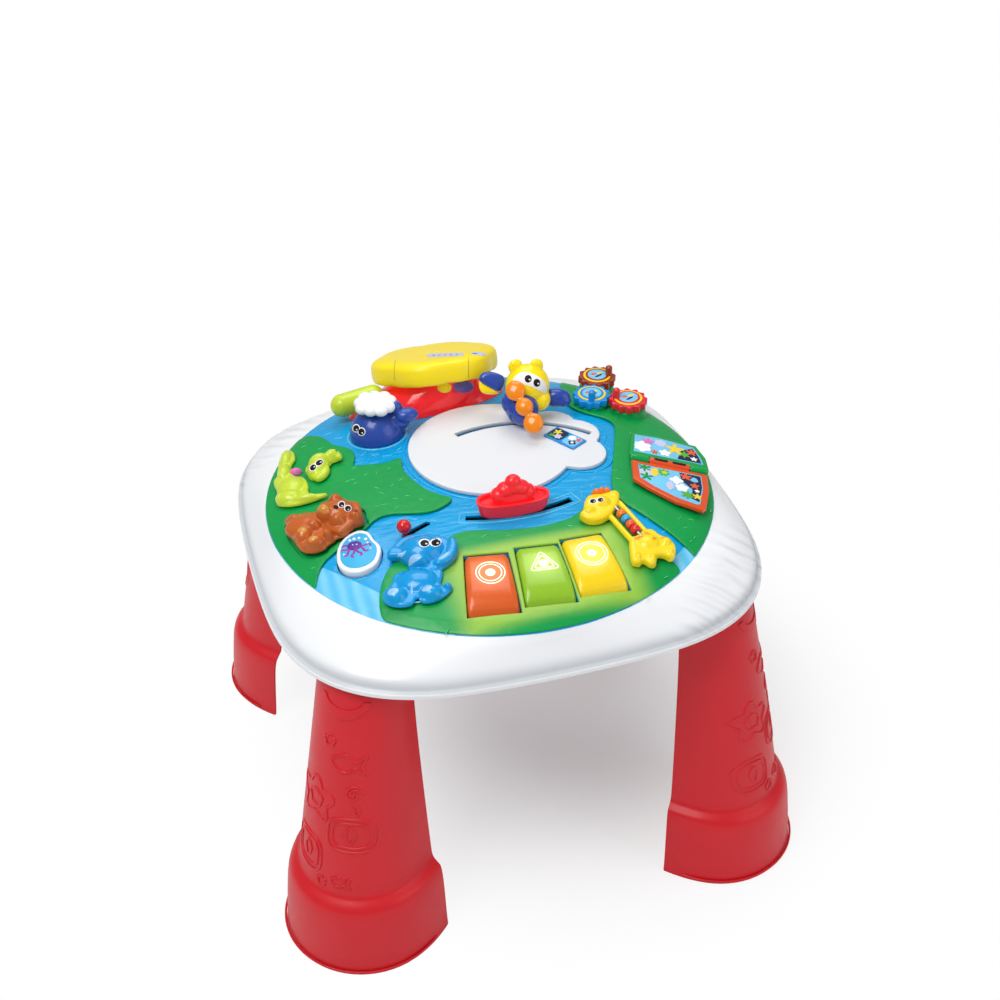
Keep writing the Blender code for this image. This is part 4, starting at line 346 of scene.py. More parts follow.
# %% The finishes that need nothing more
# Each row is red, green, blue, then roughness, coat, mottle and how far it is see-through.
COLOURS = {
    "leg_red": (214, 34, 44, 0.40, 0.06), "pond_white": (226, 229, 234, 0.38, 0.15, 0.02),
    "lime": (200, 222, 62, 0.28, 0.3, 0.08), "lime_pale": (214, 232, 110, 0.2, 0.5, 0.06),
    "tongue": (232, 118, 190), "bear": (192, 96, 40, 0.28, 0.35, 0.16),
    "bear_painted_highlight": (208, 138, 58, 0.2, 0.6, 0.12), "bear_dark": (150, 50, 20, 0.25, 0.5, 0.1),
    "elephant": (0, 152, 220, 0.26, 0.4, 0.12), "elephant_painted_highlight": (150, 200, 240, 0.3, 0.4, 0.1),
    "badge": (238, 242, 250, 0.25, 0.5, 0.03), "badge_sea": (60, 176, 226, 0.4, 0.1, 0.2),
    "badge_mark": (88, 48, 150, 0.4, 0.1, 0.1), "lever_red": (222, 30, 40, 0.18, 0.6),
    "giraffe": (252, 220, 30, 0.28, 0.3, 0.05), "spot_orange": (240, 160, 40),
    "orange": (244, 120, 34, 0.22, 0.5), "panel_line": (196, 172, 10, 0.3, 0.3, 0.02),
    "violet": (112, 96, 190, 0.25, 0.4, 0.1), "bead_blue": (40, 170, 225), "coral": (238, 96, 60),
    "bead_red": (226, 44, 56), "boat_red": (240, 42, 52, 0.3, 0.25),
    "plane_yellow": (255, 224, 14, 0.2, 0.5, 0.04), "plane_blue": (46, 74, 166, 0.26, 0.35),
    "propeller": (250, 140, 24, 0.18, 0.6), "whale_blue": (48, 78, 166, 0.28, 0.35, 0.05),
    "spout_white": (246, 247, 250, 0.4, 0.2, 0.02),
    "base_red": (236, 40, 46, 0.16, 0.5, 0.2, 0.08),
    "cap_yellow": (244, 218, 36, 0.36, 0.12, 0.05), "gear_blue": (20, 145, 225, 0.22, 0.4),
    "gear_brown": (160, 62, 40, 0.22, 0.4), "gear_red": (228, 44, 60, 0.22, 0.4),
    "book_orange": (226, 84, 40, 0.24, 0.4), "cover_green": (0, 158, 74, 0.24, 0.4),
    "dark": (52, 22, 26, 0.3, 0.2), "ink": (8, 8, 12, 0.55, 0.0, 0.0),
    "eye_white": (250, 250, 252, 0.45, 0.05, 0.01), "sun_yellow": (250, 214, 50, 0.35, 0.2),
    "sky": (120, 200, 240, 0.35, 0.2, 0.25), "hill": (90, 180, 60, 0.35, 0.2, 0.2),
    "night": (30, 40, 70, 0.35, 0.2, 0.2), "lilac": (205, 205, 235, 0.35, 0.2, 0.05),
    "steel": (180, 182, 186, 0.3, 0.0, 0.03), "rubber": (120, 120, 122, 0.7, 0.0, 0.05),
    "tray_white": (228, 230, 234, 0.45, 0.1, 0.02), "board_green": (20, 110, 60, 0.4, 0.2, 0.1),
}
FINISHES = {name: plastic(name, srgb(*row[:3]), *row[3:]) for name, row in COLOURS.items()}
# Painted light: a faint glow in their own colour lifts the boat, the base, the aeroplane and the
# cap where the lamps leave them in shade.
for name, share in (("boat_red", 0.22), ("base_red", 0.25), ("plane_yellow", 0.12),
                    ("cap_yellow", 0.10)):
    light_up(FINISHES[name], srgb(*COLOURS[name][:3]), share)
FINISHES["steel"].node_tree.nodes["Principled BSDF"].inputs["Metallic"].default_value = 1.0
print("plain finishes:", len(FINISHES))

# %% [markdown]
# ## White plastic with wavy corners
#
# The frame is white plastic. Two of its corners, the back left and the front right, carry
# faint wavy ridges, so shallow that they are a bump and not geometry. The product of the two
# ground coordinates is far below zero only at those corners, which makes the mask. A second
# mask, by height, paints shade on the frame's lower edge: grey from 4 mm above its bottom,
# fading to white by 18 mm.

# %% Frame finish
FRAME_COLOUR = srgb(240, 242, 245)
FRAME_LOW, FRAME_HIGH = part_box("table_frame")
print("frame heights:", FRAME_LOW[2], FRAME_HIGH[2])
FRAME_PAINTED_SHADE = (FRAME_LOW[2] + 0.0042, FRAME_LOW[2] + 0.0180)
CORNER_PRODUCT = (0.020, 0.026)


def make_frame_finish():
    material = plastic("frame_white", FRAME_COLOUR, 0.36, 0.2, 0.015)
    tree = material.node_tree
    place = object_place(tree)
    parts = add_node(tree, "SeparateXYZ", {0: place})
    product = math_node(tree, "MULTIPLY", parts.outputs["X"], parts.outputs["Y"])
    corner = ramp_node(tree, math_node(tree, "MULTIPLY", product, -1.0), *CORNER_PRODUCT)
    wave = add_node(tree, "TexWave", {"Scale": 26.0, "Distortion": 5.0, "Detail Scale": 0.6,
                                      "Vector": place}, bands_direction="DIAGONAL")
    ridge = math_node(tree, "MULTIPLY", wave.outputs["Fac"], corner)
    # Painted shade: the outer wall turns grey just above its lowest 4 mm and fades to white higher
    # up.
    painted_shade_band = ramp_node(tree, parts.outputs["Z"], FRAME_PAINTED_SHADE[1], FRAME_PAINTED_SHADE[0], soft=True)
    edge = math_node(tree, "GREATER_THAN", parts.outputs["Z"], FRAME_PAINTED_SHADE[0])
    shade = mix_colours(tree, math_node(tree, "MULTIPLY", painted_shade_band, edge), FRAME_COLOUR,
                        srgb(205, 210, 215))
    fill_inputs(moulded_node(material), {"Color": shade})
    add_relief(material, ridge, 0.7, 0.0026)
    return material


FINISHES["frame_white"] = make_frame_finish()

# %% [markdown]
# ## Smooth copies of the lofted pieces
#
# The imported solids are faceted. Where a piece is a clean loft, such as the frame, the legs
# or the cap, a copy of its mesh can be welded, its triangles joined to four-sided faces,
# and a Subdivision Surface modifier then rounds it. Edges that are sharp on the real piece
# get a crease first, or they would melt away.

# %% Helper for smooth copies
WELD = 0.00002


def piece(name, bm, finish, body, replaces=(), smooth_angle=40):
    """Turn a bmesh into a piece of the scene, shaded smooth, and put it on its body."""
    mesh = bpy.data.meshes.new(name)
    bm.to_mesh(mesh)
    bm.free()
    mesh.shade_smooth()
    mesh.set_sharp_from_angle(angle=math.radians(smooth_angle))
    item = bpy.data.objects.new(name, mesh)
    bpy.context.scene.collection.objects.link(item)
    mesh.materials.append(FINISHES[finish])
    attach(item, body)
    if replaces:
        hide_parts(*replaces)
    return item


def body_of_node(node):
    for body, nodes in frame["record"]["behaviour"]["bodies"].items():
        if node in nodes:
            return body


def welded_copy(node):
    """The node's mesh as a bmesh of welded faces, with flat neighbours joined."""
    bm = bmesh.new()
    bm.from_mesh(frame["nodes"][node].data)
    bmesh.ops.remove_doubles(bm, verts=bm.verts, dist=WELD)
    bmesh.ops.join_triangles(bm, faces=bm.faces, angle_face_threshold=math.radians(30),
                             angle_shape_threshold=math.radians(60))
    return bm


def smooth_copy(node, finish, levels=2, crease_angle=40, crease=0.85):
    bm = welded_copy(node)
    layer = bm.edges.layers.float.new("crease_edge")
    for edge in bm.edges:
        if edge.calc_face_angle(0) > math.radians(crease_angle):
            edge[layer] = crease
    item = piece(node + "_skin", bm, finish, body_of_node(node), (node,), 50)
    surface = item.modifiers.new("round", "SUBSURF")
    surface.levels = levels
    surface.render_levels = levels
    return item


smooth_copy("table_frame", "frame_white", 2, 38)
for corner in ("front_left", "front_right", "back_left", "back_right"):
    smooth_copy("leg_" + corner, "leg_red", 2, 30)
smooth_copy("turn_cap", "cap_yellow", 2, 60, 0.3)
smooth_copy("boat_hull", "boat_red", 2, 50, 0.7)
smooth_copy("stage_base", "base_red", 2, 50, 0.7)
print("smooth copies made")

# %% [markdown]
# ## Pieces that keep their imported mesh
#
# The under-cover, the battery parts, the pins and the sliders lie inside or below, where no
# smooth skin would show. They keep the mesh they were packed with, and only get a finish.

# %% Finishes of the nodes that keep their own mesh
KEPT = {
    "lower_tray": "tray_white", "battery_door": "tray_white", "circuit_board": "board_green",
    "speaker": "dark", "power_switch": "dark", "key_carrier": "rubber",
    "key_rubber_pad": "rubber", "bead_rod": "steel", "cap_spindle": "steel",
    "book_pin": "steel", "boat_slider": "boat_red", "plane_slider": "plane_blue",
    "battery_cell_1": "steel", "battery_cell_2": "steel", "battery_cell_3": "steel",
}


def keep_node(node, finish):
    mesh = frame["nodes"][node].data
    mesh.materials.clear()
    mesh.materials.append(FINISHES[finish])


for node, finish in KEPT.items():
    keep_node(node, finish)
print("kept nodes:", len(KEPT))

# %% [markdown]
# ## The domed play panel
#
# The panel rises 20 mm from its rim to its middle, flat at the top and steeper at the rim.
# Each layer is a flat plate first: a filled 2D curve with a rounded edge, holes and all.
# The plate is then sliced into a fine grid with bisect_plane, so that it can bend, and
# each point is lifted by the dome's height. That keeps every outline crisp and round.

# %% The dome's height and frames
PANEL_RADIUS = 0.208
PANEL_EDGE_HEIGHT = 0.325
DOME_RISE = 0.020
DOME_POWER = 4
PLAY_SPAN = 0.200
LAND_HEIGHT = 0.003
LAND_EDGE_DROP = 0.0018
POND_HEIGHT = 0.0045
FIT_GAP = 0.0003
GRID_STEP = 0.007
VIEW_HEADING = -16.0


def dome_height(x, y):
    share = min(math.hypot(x, y), PANEL_RADIUS) / PANEL_RADIUS
    return PANEL_EDGE_HEIGHT + DOME_RISE * (1 - share ** DOME_POWER)


def place(shares, span=PLAY_SPAN):
    return Vector((shares[0] * span, shares[1] * span))


def dome_frame(at, heading=VIEW_HEADING):
    """A frame on the dome: +Z along its normal, +X turned by the heading."""
    radius = math.hypot(at[0], at[1])
    slope = DOME_RISE * DOME_POWER / PANEL_RADIUS * (radius / PANEL_RADIUS) ** (DOME_POWER - 1)
    normal = Vector((slope * at[0] / radius, slope * at[1] / radius, 1)).normalized()
    turn = math.radians(heading)
    along = Vector((math.cos(turn), math.sin(turn), 0))
    along = (along - normal * along.dot(normal)).normalized()
    across = normal.cross(along)
    result = Matrix((along, across, normal)).transposed().to_4x4()
    result.translation = Vector((at[0], at[1], dome_height(*at)))
    return result


# %% [markdown]
# ## Outlines and plates
#
# Outlines are lists of points on the ground. A soft one is a closed curve through a few
# points, and even spacing keeps its bevel clean. A filled curve with an extrusion and a
# bevel makes the plate, since it copes with holes and rounds every edge alike. The curve is
# turned into a mesh at once, so that bmesh operators can slice it and bend it.

# %% Outlines and plates
def smooth_loop(points, steps=8):
    """A closed curve through the points."""
    count = len(points)
    result = []
    for i in range(count):
        a, b, c, d = (Vector(points[(i + k) % count]) for k in (-1, 0, 1, 2))
        for t in (step / steps for step in range(steps)):
            result.append(0.5 * ((2 * b) + (c - a) * t + (2 * a - 5 * b + 4 * c - d) * t * t
                                 + (3 * b - a - 3 * c + d) * t ** 3))
    return result


def even_loop(points, step=0.0022, passes=3):
    """The closed outline again, with its points evenly spaced and its corners eased."""
    sides = list(zip(points, points[1:] + points[:1]))
    total = sum((b - a).length for a, b in sides)
    count = max(12, round(total / step))
    result, walked = [], 0.0
    for a, b in sides:
        length = (b - a).length
        while (length > 0 and len(result) < count
               and len(result) * total / count < walked + length):
            result.append(a.lerp(b, (len(result) * total / count - walked) / length))
        walked += length
    for _ in range(passes):
        result = [(result[i - 1] + 2 * result[i] + result[(i + 1) % len(result)]) / 4
                  for i in range(len(result))]
    return result


def baked(item):
    """The item's evaluated shape as a bmesh. The item itself is removed."""
    bpy.context.scene.collection.objects.link(item)
    bpy.context.view_layer.update()
    shape = bpy.data.meshes.new_from_object(
        item.evaluated_get(bpy.context.evaluated_depsgraph_get()))
    bm = bmesh.new()
    bm.from_mesh(shape)
    bpy.data.objects.remove(item)
    bpy.data.meshes.remove(shape)
    return bm


def curve_mesh(loops, closed, bevel, **settings):
    """A curve with straight sides through the points of each loop, as a bmesh."""
    curve = bpy.data.curves.new("line", "CURVE")
    curve.bevel_depth = bevel
    curve.bevel_resolution = 2
    for label, value in settings.items():
        setattr(curve, label, value)
    for loop in loops:
        spline = curve.splines.new("POLY")
        spline.points.add(len(loop) - 1)
        for target, point in zip(spline.points, loop):
            target.co = (*point, 1) if len(point) == 3 else (*point, 0, 1)
        spline.use_cyclic_u = closed
    return baked(bpy.data.objects.new("line", curve))


def line_mesh(loops, width, height, closed=True):
    """A raised line along each loop, half round, as a bmesh that lies flat."""
    bm = curve_mesh(loops, closed, width / 2, dimensions="3D", use_fill_caps=True)
    bmesh.ops.scale(bm, verts=bm.verts, vec=(1, 1, 2 * height / width))
    return bm


def direction(angle):
    return Vector((math.cos(angle), math.sin(angle)))


def circle_loop(centre, radius, steps=48):
    return [centre + radius * direction(math.tau * i / steps) for i in range(steps)]


def plate_mesh(loops, low, high, rounding):
    """A flat plate with a rounded edge, as a bmesh. The first loop is its outline."""
    bm = curve_mesh(loops, True, rounding, dimensions="2D", fill_mode="BOTH",
                    extrude=(high - low) / 2 - rounding, offset=-rounding)
    bmesh.ops.remove_doubles(bm, verts=bm.verts, dist=WELD)
    bmesh.ops.translate(bm, verts=bm.verts, vec=(0, 0, (low + high) / 2))
    return bm


def slice_grid(bm, step=GRID_STEP):
    """Cut a flat plate into a grid, so that it can bend."""
    for axis in (0, 1):
        low = min(vert.co[axis] for vert in bm.verts)
        high = max(vert.co[axis] for vert in bm.verts)
        normal = Vector((1, 0, 0)) if axis == 0 else Vector((0, 1, 0))
        for i in range(math.floor(low / step) + 1, math.ceil(high / step)):
            geometry = bm.verts[:] + bm.edges[:] + bm.faces[:]
            bmesh.ops.bisect_plane(bm, geom=geometry, dist=WELD / 10, plane_co=normal * i * step,
                                   plane_no=normal)


def bend_to_dome(bm, edge_drop=0.0, height=LAND_HEIGHT):
    """Lift each point by the dome, and thin the plate towards the rim."""
    for vert in bm.verts:
        share = vert.co.xy.length / PANEL_RADIUS
        thin = edge_drop * max(0.0, (share - 0.95) / 0.05) * max(0.0, vert.co.z / height)
        vert.co.z += dome_height(vert.co.x, vert.co.y) - thin


def inside_rim(points, radius):
    return [point if point.length < radius else point * (radius / point.length)
            for point in points]


# %% [markdown]
# ## Outlines of the water's openings
#
# The blue panel has three key windows, two curved slots, the lever's straight slot and the
# badge's opening. The same outlines serve the green land, so they are worked out once.

# %% Openings
KEY_TABLE_SHARES = (
    ("key_orange", -0.220, -0.765, -10.0),
    ("key_green", 0.015, -0.775, -6.0),
    ("key_yellow", 0.240, -0.765, 0.0),
)
KEY_LENGTH = 0.067
KEY_SHIFT = 0.0025
KEY_REAR_WIDTH = 0.0376
KEY_FRONT_WIDTH = 0.0446
KEY_WINDOW_GAP = 0.0006
BOAT_PIVOT_SHARE = (0.0475, 0.455)
PLANE_PIVOT_SHARE = (0.120, -0.225)
BADGE_PLACE_SHARE = (-0.700, -0.385)
BADGE_SHARES = (
    (-0.02, 0.26), (0.06, 0.24), (0.10, 0.19), (0.13, 0.13), (0.19, 0.04), (0.20, -0.06),
    (0.17, -0.17), (0.09, -0.24), (0.00, -0.26), (-0.10, -0.23), (-0.17, -0.14),
    (-0.19, 0.00), (-0.17, 0.12), (-0.11, 0.21),
)
FIGURE_SPAN = 0.100


def key_frame(x, y, heading):
    turn = Matrix.Rotation(math.radians(heading), 4, "Z")
    return Matrix.Translation((x, y, 0)) @ turn @ Matrix.Translation((0, KEY_SHIFT, 0))


def key_loop(x, y, heading, gap):
    half = KEY_LENGTH / 2 + gap
    rear, front = KEY_REAR_WIDTH / 2 + gap, KEY_FRONT_WIDTH / 2 + gap
    turned = key_frame(x * PLAY_SPAN, y * PLAY_SPAN, heading)
    corners = ((-rear, half), (-front, -half), (front, -half), (rear, half))
    return [(turned @ Vector((*corner, 0))).xy for corner in corners]


def arc_loop(pivot, radius, angles, half_width, steps=24):
    start, end = (math.radians(angle) for angle in angles)
    points = []
    for side, first, last in ((1, start, end), (-1, end, start)):
        for i in range(steps + 1):
            angle = first + (last - first) * i / steps
            reach = radius + side * half_width
            points.append(pivot + reach * direction(angle))
    return points


def straight_loop(start, end, half_width):
    along = (end - start).normalized()
    side = Vector((-along.y, along.x)) * half_width
    tip = along * half_width
    return [start + side, start - tip, start - side, end - side, end + tip, end + side]


KEY_LOOPS = [key_loop(x, y, heading, KEY_WINDOW_GAP) for _, x, y, heading in KEY_TABLE_SHARES]
BOAT_ARC_RADIUS = 0.160
BOAT_LOOP = arc_loop(place(BOAT_PIVOT_SHARE), BOAT_ARC_RADIUS, (-108, -72), 0.0035)
PLANE_LOOP = arc_loop(place(PLANE_PIVOT_SHARE), 0.117, (42, 109), 0.0035)
LEVER_START = place((-0.485, -0.340))
LEVER_LOOP = straight_loop(LEVER_START, place((-0.370, -0.290)), 0.003)


def figure_loop(place_share, shares, scale, steps):
    """A figure's own outline, grown by the scale and laid on the ground."""
    turned = dome_frame(place(place_share))
    points = smooth_loop([place(pair, FIGURE_SPAN) * scale for pair in shares], steps)
    return [(turned @ Vector((*point, 0))).xy for point in points]


BADGE_LOOP = figure_loop(BADGE_PLACE_SHARE, BADGE_SHARES, 1.04, 4)
print("openings:", len(KEY_LOOPS) + 4)


# %% [markdown]
# ## Water
#
# The river is glossy blue with small ripples pressed into it. Where it runs over the rim it
# is a paler blue with streaks that run down the slope. Both pale places are half planes on
# the ground, so a dot product finds them, and one wave texture gives the streaks.

# %% Water finish
WATER = srgb(0, 160, 222)
SHORE_SOFTNESS = 0.0012


def half_plane(tree, spot, towards, start):
    """A mask that is 1 beyond a straight line on the ground."""
    dot = add_node(tree, "VectorMath", {0: spot, 1: towards}, operation="DOT_PRODUCT")
    return ramp_node(tree, dot.outputs["Value"], start, start + SHORE_SOFTNESS)


def make_river_finish():
    material = plastic("river_blue", WATER, 0.26, 0.3, 0.08)
    tree = material.node_tree
    spot = object_place(tree)
    fall = math_node(tree, "MAXIMUM", half_plane(tree, spot, (-0.789, -0.615, 0), 0.1830),
                     half_plane(tree, spot, (0.63, -0.777, 0), 0.1945))
    wave = add_node(tree, "TexWave", {"Scale": 26.0, "Distortion": 1.5, "Vector": spot})
    pale = mix_colours(tree, wave.outputs["Fac"], srgb(92, 192, 240), srgb(126, 208, 246))
    fill_inputs(moulded_node(material), {"Color": mix_colours(tree, fall, WATER, pale)})
    stretch = add_node(tree, "Mapping", {"Rotation": (0, 0, math.radians(20)),
                                         "Scale": (1, 3, 1), "Vector": spot})
    add_relief(material, noise_node(tree, stretch.outputs["Vector"], 55.0, 1.0), 0.6, 0.0020)
    return material


FINISHES["river_blue"] = make_river_finish()

# %% Water plate
RIVER_THICKNESS = 0.0026


def make_river():
    rim = circle_loop(Vector((0, 0)), PANEL_RADIUS - FIT_GAP, 160)
    loops = [rim, *KEY_LOOPS, BOAT_LOOP, PLANE_LOOP, LEVER_LOOP, BADGE_LOOP]
    bm = plate_mesh(loops, -RIVER_THICKNESS, 0, 0.0003)
    slice_grid(bm)
    bend_to_dome(bm)
    return piece("river_skin", bm, "river_blue", "table", ("river_panel",), 30)


river = make_river()
print("river faces:", len(river.data.polygons))

# %% [markdown]
# ## Melting volumes together
#
# Soft mouldings, from the hills under the gears to the animals, start as a few overlapping
# volumes. A voxel remesh melts them into one closed skin and a few smoothing steps take the
# creases out. It is how such figures are sculpted in clay before the mould is cut.

# %% Melting helpers
def add_blob(bm, matrix, size, segments=24, rings=16):
    made = bmesh.ops.create_uvsphere(bm, u_segments=segments, v_segments=rings, radius=1)
    bmesh.ops.transform(bm, matrix=matrix @ Matrix.Diagonal((*size, 1)), verts=made["verts"])


def melted(bm, voxel=0.0007, smoothing=8):
    """One closed skin around all the volumes in the bmesh."""
    mesh = bpy.data.meshes.new("melt")
    bm.to_mesh(mesh)
    bm.free()
    item = bpy.data.objects.new("melt", mesh)
    remesh = item.modifiers.new("melt", "REMESH")
    remesh.mode = "VOXEL"
    remesh.voxel_size = voxel
    remesh.adaptivity = 0.0
    smooth = item.modifiers.new("smooth", "SMOOTH")
    smooth.factor = 0.5
    smooth.iterations = smoothing
    result = baked(item)
    bpy.data.meshes.remove(mesh)
    return result


# %% [markdown]
# ## Land
#
# The land is a second layer, three millimetres proud, with a softly rounded shore. Light
# from the keys falls on the front piece and makes a yellow-green halo around them, so its
# material mixes towards that colour near the keys' rectangle.

# %% Land finishes
GREEN = srgb(0, 154, 74)


HALO_CENTRE = (0.004, -0.152, 0)
HALO_HALF_SIZE = (0.084, 0.046)
HALO_FADE = (1.12, 0.78)


def halo_mask(tree, spot):
    """A mask that is 1 near the keys and fades outwards, as a soft rectangle."""
    shift = add_node(tree, "VectorMath", {0: spot, 1: HALO_CENTRE}, operation="SUBTRACT")
    parts = add_node(tree, "SeparateXYZ", {0: shift.outputs[0]})
    wide, deep = (
        math_node(tree, "DIVIDE", math_node(tree, "ABSOLUTE", parts.outputs[axis], 0), half)
        for axis, half in zip("XY", HALO_HALF_SIZE))
    return ramp_node(tree, math_node(tree, "MAXIMUM", wide, deep), *HALO_FADE, soft=True)


def make_land_finish(name, halo):
    material = plastic(name, GREEN, 0.36, 0.12, 0.1)
    tree = material.node_tree
    spot = object_place(tree)
    if halo:
        lit = mix_colours(tree, halo_mask(tree, spot), GREEN, srgb(150, 196, 72))
        fill_inputs(moulded_node(material), {"Color": lit})
    add_relief(material, noise_node(tree, spot, 130.0), 0.5, 0.0010)
    return material


FINISHES["land_green"] = make_land_finish("land_green", False)
FINISHES["land_lit"] = make_land_finish("land_lit", True)
FINISHES["grass"] = plastic("grass", srgb(70, 196, 110), 0.24, 0.4, 0.1)
FINISHES["ripple"] = plastic("ripple", srgb(96, 196, 238), 0.18, 0.5, 0.1)
FINISHES["kerb"] = plastic("kerb", srgb(20, 170, 232), 0.18, 0.5, 0.06)

# %% [markdown]
# ## The land's outlines
#
# Each piece of land is traced as a few points, as shares of the play area. Points beyond the
# rim are pulled onto it. The left piece has a hole round the bear, a little wider than the
# bear itself, so that it can be pressed down. A thin green floor closes that hole below.

# %% Land plates
LAND_LEFT_SHARES = (
    (-0.220, -0.158), (-0.260, -0.200), (-0.327, -0.226), (-0.393, -0.222), (-0.449, -0.204),
    (-0.510, -0.188), (-0.562, -0.190), (-0.602, -0.212), (-0.634, -0.243), (-0.672, -0.262),
    (-0.710, -0.280), (-0.752, -0.306), (-0.800, -0.338), (-0.848, -0.366), (-0.890, -0.420),
    (-0.935, -0.500), (-1.050, -0.400), (-1.150, -0.150), (-1.150, 0.150), (-1.080, 0.450),
    (-0.900, 0.690), (-0.757, 0.690), (-0.699, 0.640), (-0.659, 0.564), (-0.643, 0.494),
    (-0.591, 0.430), (-0.565, 0.380), (-0.569, 0.310), (-0.590, 0.250), (-0.546, 0.238),
    (-0.500, 0.225), (-0.445, 0.217), (-0.401, 0.227), (-0.364, 0.233), (-0.379, 0.141),
    (-0.367, 0.073), (-0.347, 0.016), (-0.316, -0.055), (-0.266, -0.115),
)
LAND_FRONT_SHARES = (
    (-0.370, -0.500), (-0.310, -0.430), (-0.231, -0.412), (-0.162, -0.427), (-0.089, -0.450),
    (0.004, -0.467), (0.090, -0.474), (0.176, -0.466), (0.247, -0.450), (0.300, -0.415),
    (0.370, -0.380), (0.440, -0.420), (0.480, -0.530), (0.530, -0.660), (0.575, -0.760),
    (0.615, -0.850), (0.520, -1.000), (0.100, -1.150), (-0.300, -1.120), (-0.640, -0.960),
    (-0.690, -0.760), (-0.650, -0.600), (-0.560, -0.500), (-0.460, -0.520),
)
LAND_RIGHT_SHARES = (
    (0.545, 0.500), (0.570, 0.420), (0.625, 0.360), (0.680, 0.310), (0.702, 0.250),
    (0.680, 0.170), (0.633, 0.054), (0.572, -0.092), (0.520, -0.215), (0.495, -0.310),
    (0.508, -0.393), (0.552, -0.470), (0.602, -0.552), (0.652, -0.635), (0.690, -0.705),
    (0.780, -0.800), (1.050, -0.550), (1.150, 0.000), (1.050, 0.500), (0.850, 0.860),
    (0.690, 0.880), (0.610, 0.780), (0.575, 0.660), (0.548, 0.580),
)
BEAR_PLACE_SHARE = (-0.800, -0.125)
BEAR_OUTLINE_SHARES = (
    (-0.35, 0.09), (-0.22, 0.11), (-0.10, 0.13), (-0.04, 0.175), (0.03, 0.205), (0.08, 0.225),
    (0.13, 0.24), (0.18, 0.225), (0.21, 0.18), (0.26, 0.155), (0.31, 0.14), (0.345, 0.08),
    (0.355, 0.00), (0.365, -0.05), (0.350, -0.095), (0.300, -0.145), (0.255, -0.20),
    (0.210, -0.255), (0.150, -0.265), (0.115, -0.30), (0.070, -0.34), (0.045, -0.385),
    (-0.04, -0.415), (-0.15, -0.385), (-0.24, -0.25), (-0.32, -0.08),
)
BEAR_HOLE_SHARES = (
    (-0.35, 0.09), (-0.22, 0.11), (-0.10, 0.13), (-0.04, 0.178), (0.03, 0.222), (0.08, 0.248),
    (0.135, 0.262), (0.190, 0.240), (0.222, 0.190), (0.26, 0.158), (0.31, 0.14), (0.345, 0.08),
    (0.358, 0.00), (0.381, -0.052), (0.370, -0.106), (0.314, -0.156), (0.258, -0.203),
    (0.210, -0.255), (0.150, -0.265), (0.115, -0.30), (0.070, -0.34), (0.045, -0.385),
    (-0.04, -0.415), (-0.15, -0.385), (-0.24, -0.25), (-0.32, -0.08),
)


LAND_ROUNDING = 0.0011


def land_mesh(loops, low, high, rounding):
    bm = plate_mesh(loops, low, high, rounding)
    slice_grid(bm)
    bend_to_dome(bm, LAND_EDGE_DROP)
    return bm


def make_land(name, node, shares, finish, holes=()):
    rim = PANEL_RADIUS - 2 * FIT_GAP
    outline = even_loop(inside_rim(smooth_loop([place(pair) for pair in shares]), rim))
    bm = land_mesh([outline, *holes], FIT_GAP, LAND_HEIGHT, LAND_ROUNDING)
    return piece(name, bm, finish, "table", (node,), 45)


BEAR_HOLE, BEAR_FLOOR = (figure_loop(BEAR_PLACE_SHARE, BEAR_HOLE_SHARES, scale, 3)
                         for scale in (1.050, 1.040))
make_land("land_left_skin", "meadow_left", LAND_LEFT_SHARES, "land_green", [BEAR_HOLE])
piece("bear_well", land_mesh([BEAR_FLOOR], 0.0001, 0.0004, 0.0001), "land_green", "table")
make_land("land_front_skin", "meadow_front", LAND_FRONT_SHARES, "land_lit", KEY_LOOPS)
make_land("land_right_skin", "meadow_right", LAND_RIGHT_SHARES, "land_green")
print("pieces of land:", 3)

# %% [markdown]
# ## Relief on the land and the water
#
# The mould has small raised strokes: tufts of grass on the land, ripples on the water, a
# raised track around the boat's slot and a kerb around the pond. A stroke is a stretched
# ball sunk to its middle, so only a soft ridge shows. The tracks are curves with a round
# profile that is pressed flat and then bent to the dome.

# %% Strokes and tracks
TUFT_SHARES = (
    (-0.617, 0.132), (-0.611, 0.097), (-0.642, 0.130), (-0.530, 0.026), (-0.517, -0.021),
    (-0.561, -0.111), (-0.528, -0.112), (-0.468, -0.087), (-0.408, 0.050), (-0.591, 0.224),
    (-0.500, 0.144), (-0.437, 0.162), (-0.762, 0.600), (-0.769, 0.559), (-0.409, -0.084),
    (-0.477, -0.154), (-0.552, 0.148), (-0.360, -0.130), (-0.455, 0.020), (-0.700, 0.480),
    (-0.900, -0.380), (0.728, -0.533), (0.775, -0.545),
    (0.728, -0.596), (0.721, -0.677), (0.747, -0.655), (0.560, -0.158), (0.550, -0.227),
    (0.760, 0.140), (0.930, 0.220), (0.900, -0.480), (0.407, -0.960), (0.526, -0.869),
    (-0.455, -0.930), (-0.060, -0.500), (0.220, -0.510), (-0.160, -0.470),
)
RIPPLE_SHARES = (
    (-0.534, -0.235), (-0.500, -0.290), (-0.584, -0.324), (-0.424, -0.240), (-0.341, -0.282),
    (-0.745, -0.420), (-0.723, -0.530), (-0.770, -0.480),
    (-0.130, -0.225), (0.060, -0.260), (0.350, -0.290), (0.420, -0.230),
    (0.470, -0.130), (0.520, 0.020), (0.600, 0.150), (0.600, 0.260), (0.545, -0.440),
    (0.590, -0.520), (0.630, -0.600), (-0.420, 0.290), (-0.470, 0.320), (-0.520, 0.350),
    (-0.600, 0.560), (-0.640, 0.640), (-0.350, 0.330), (0.520, 0.660), (0.480, 0.560),
)
TRACK_SIZE = (0.0016, 0.0007)
KERB_SIZE = (0.0024, 0.0011)
RING_SIZE = (0.0020, 0.0009)


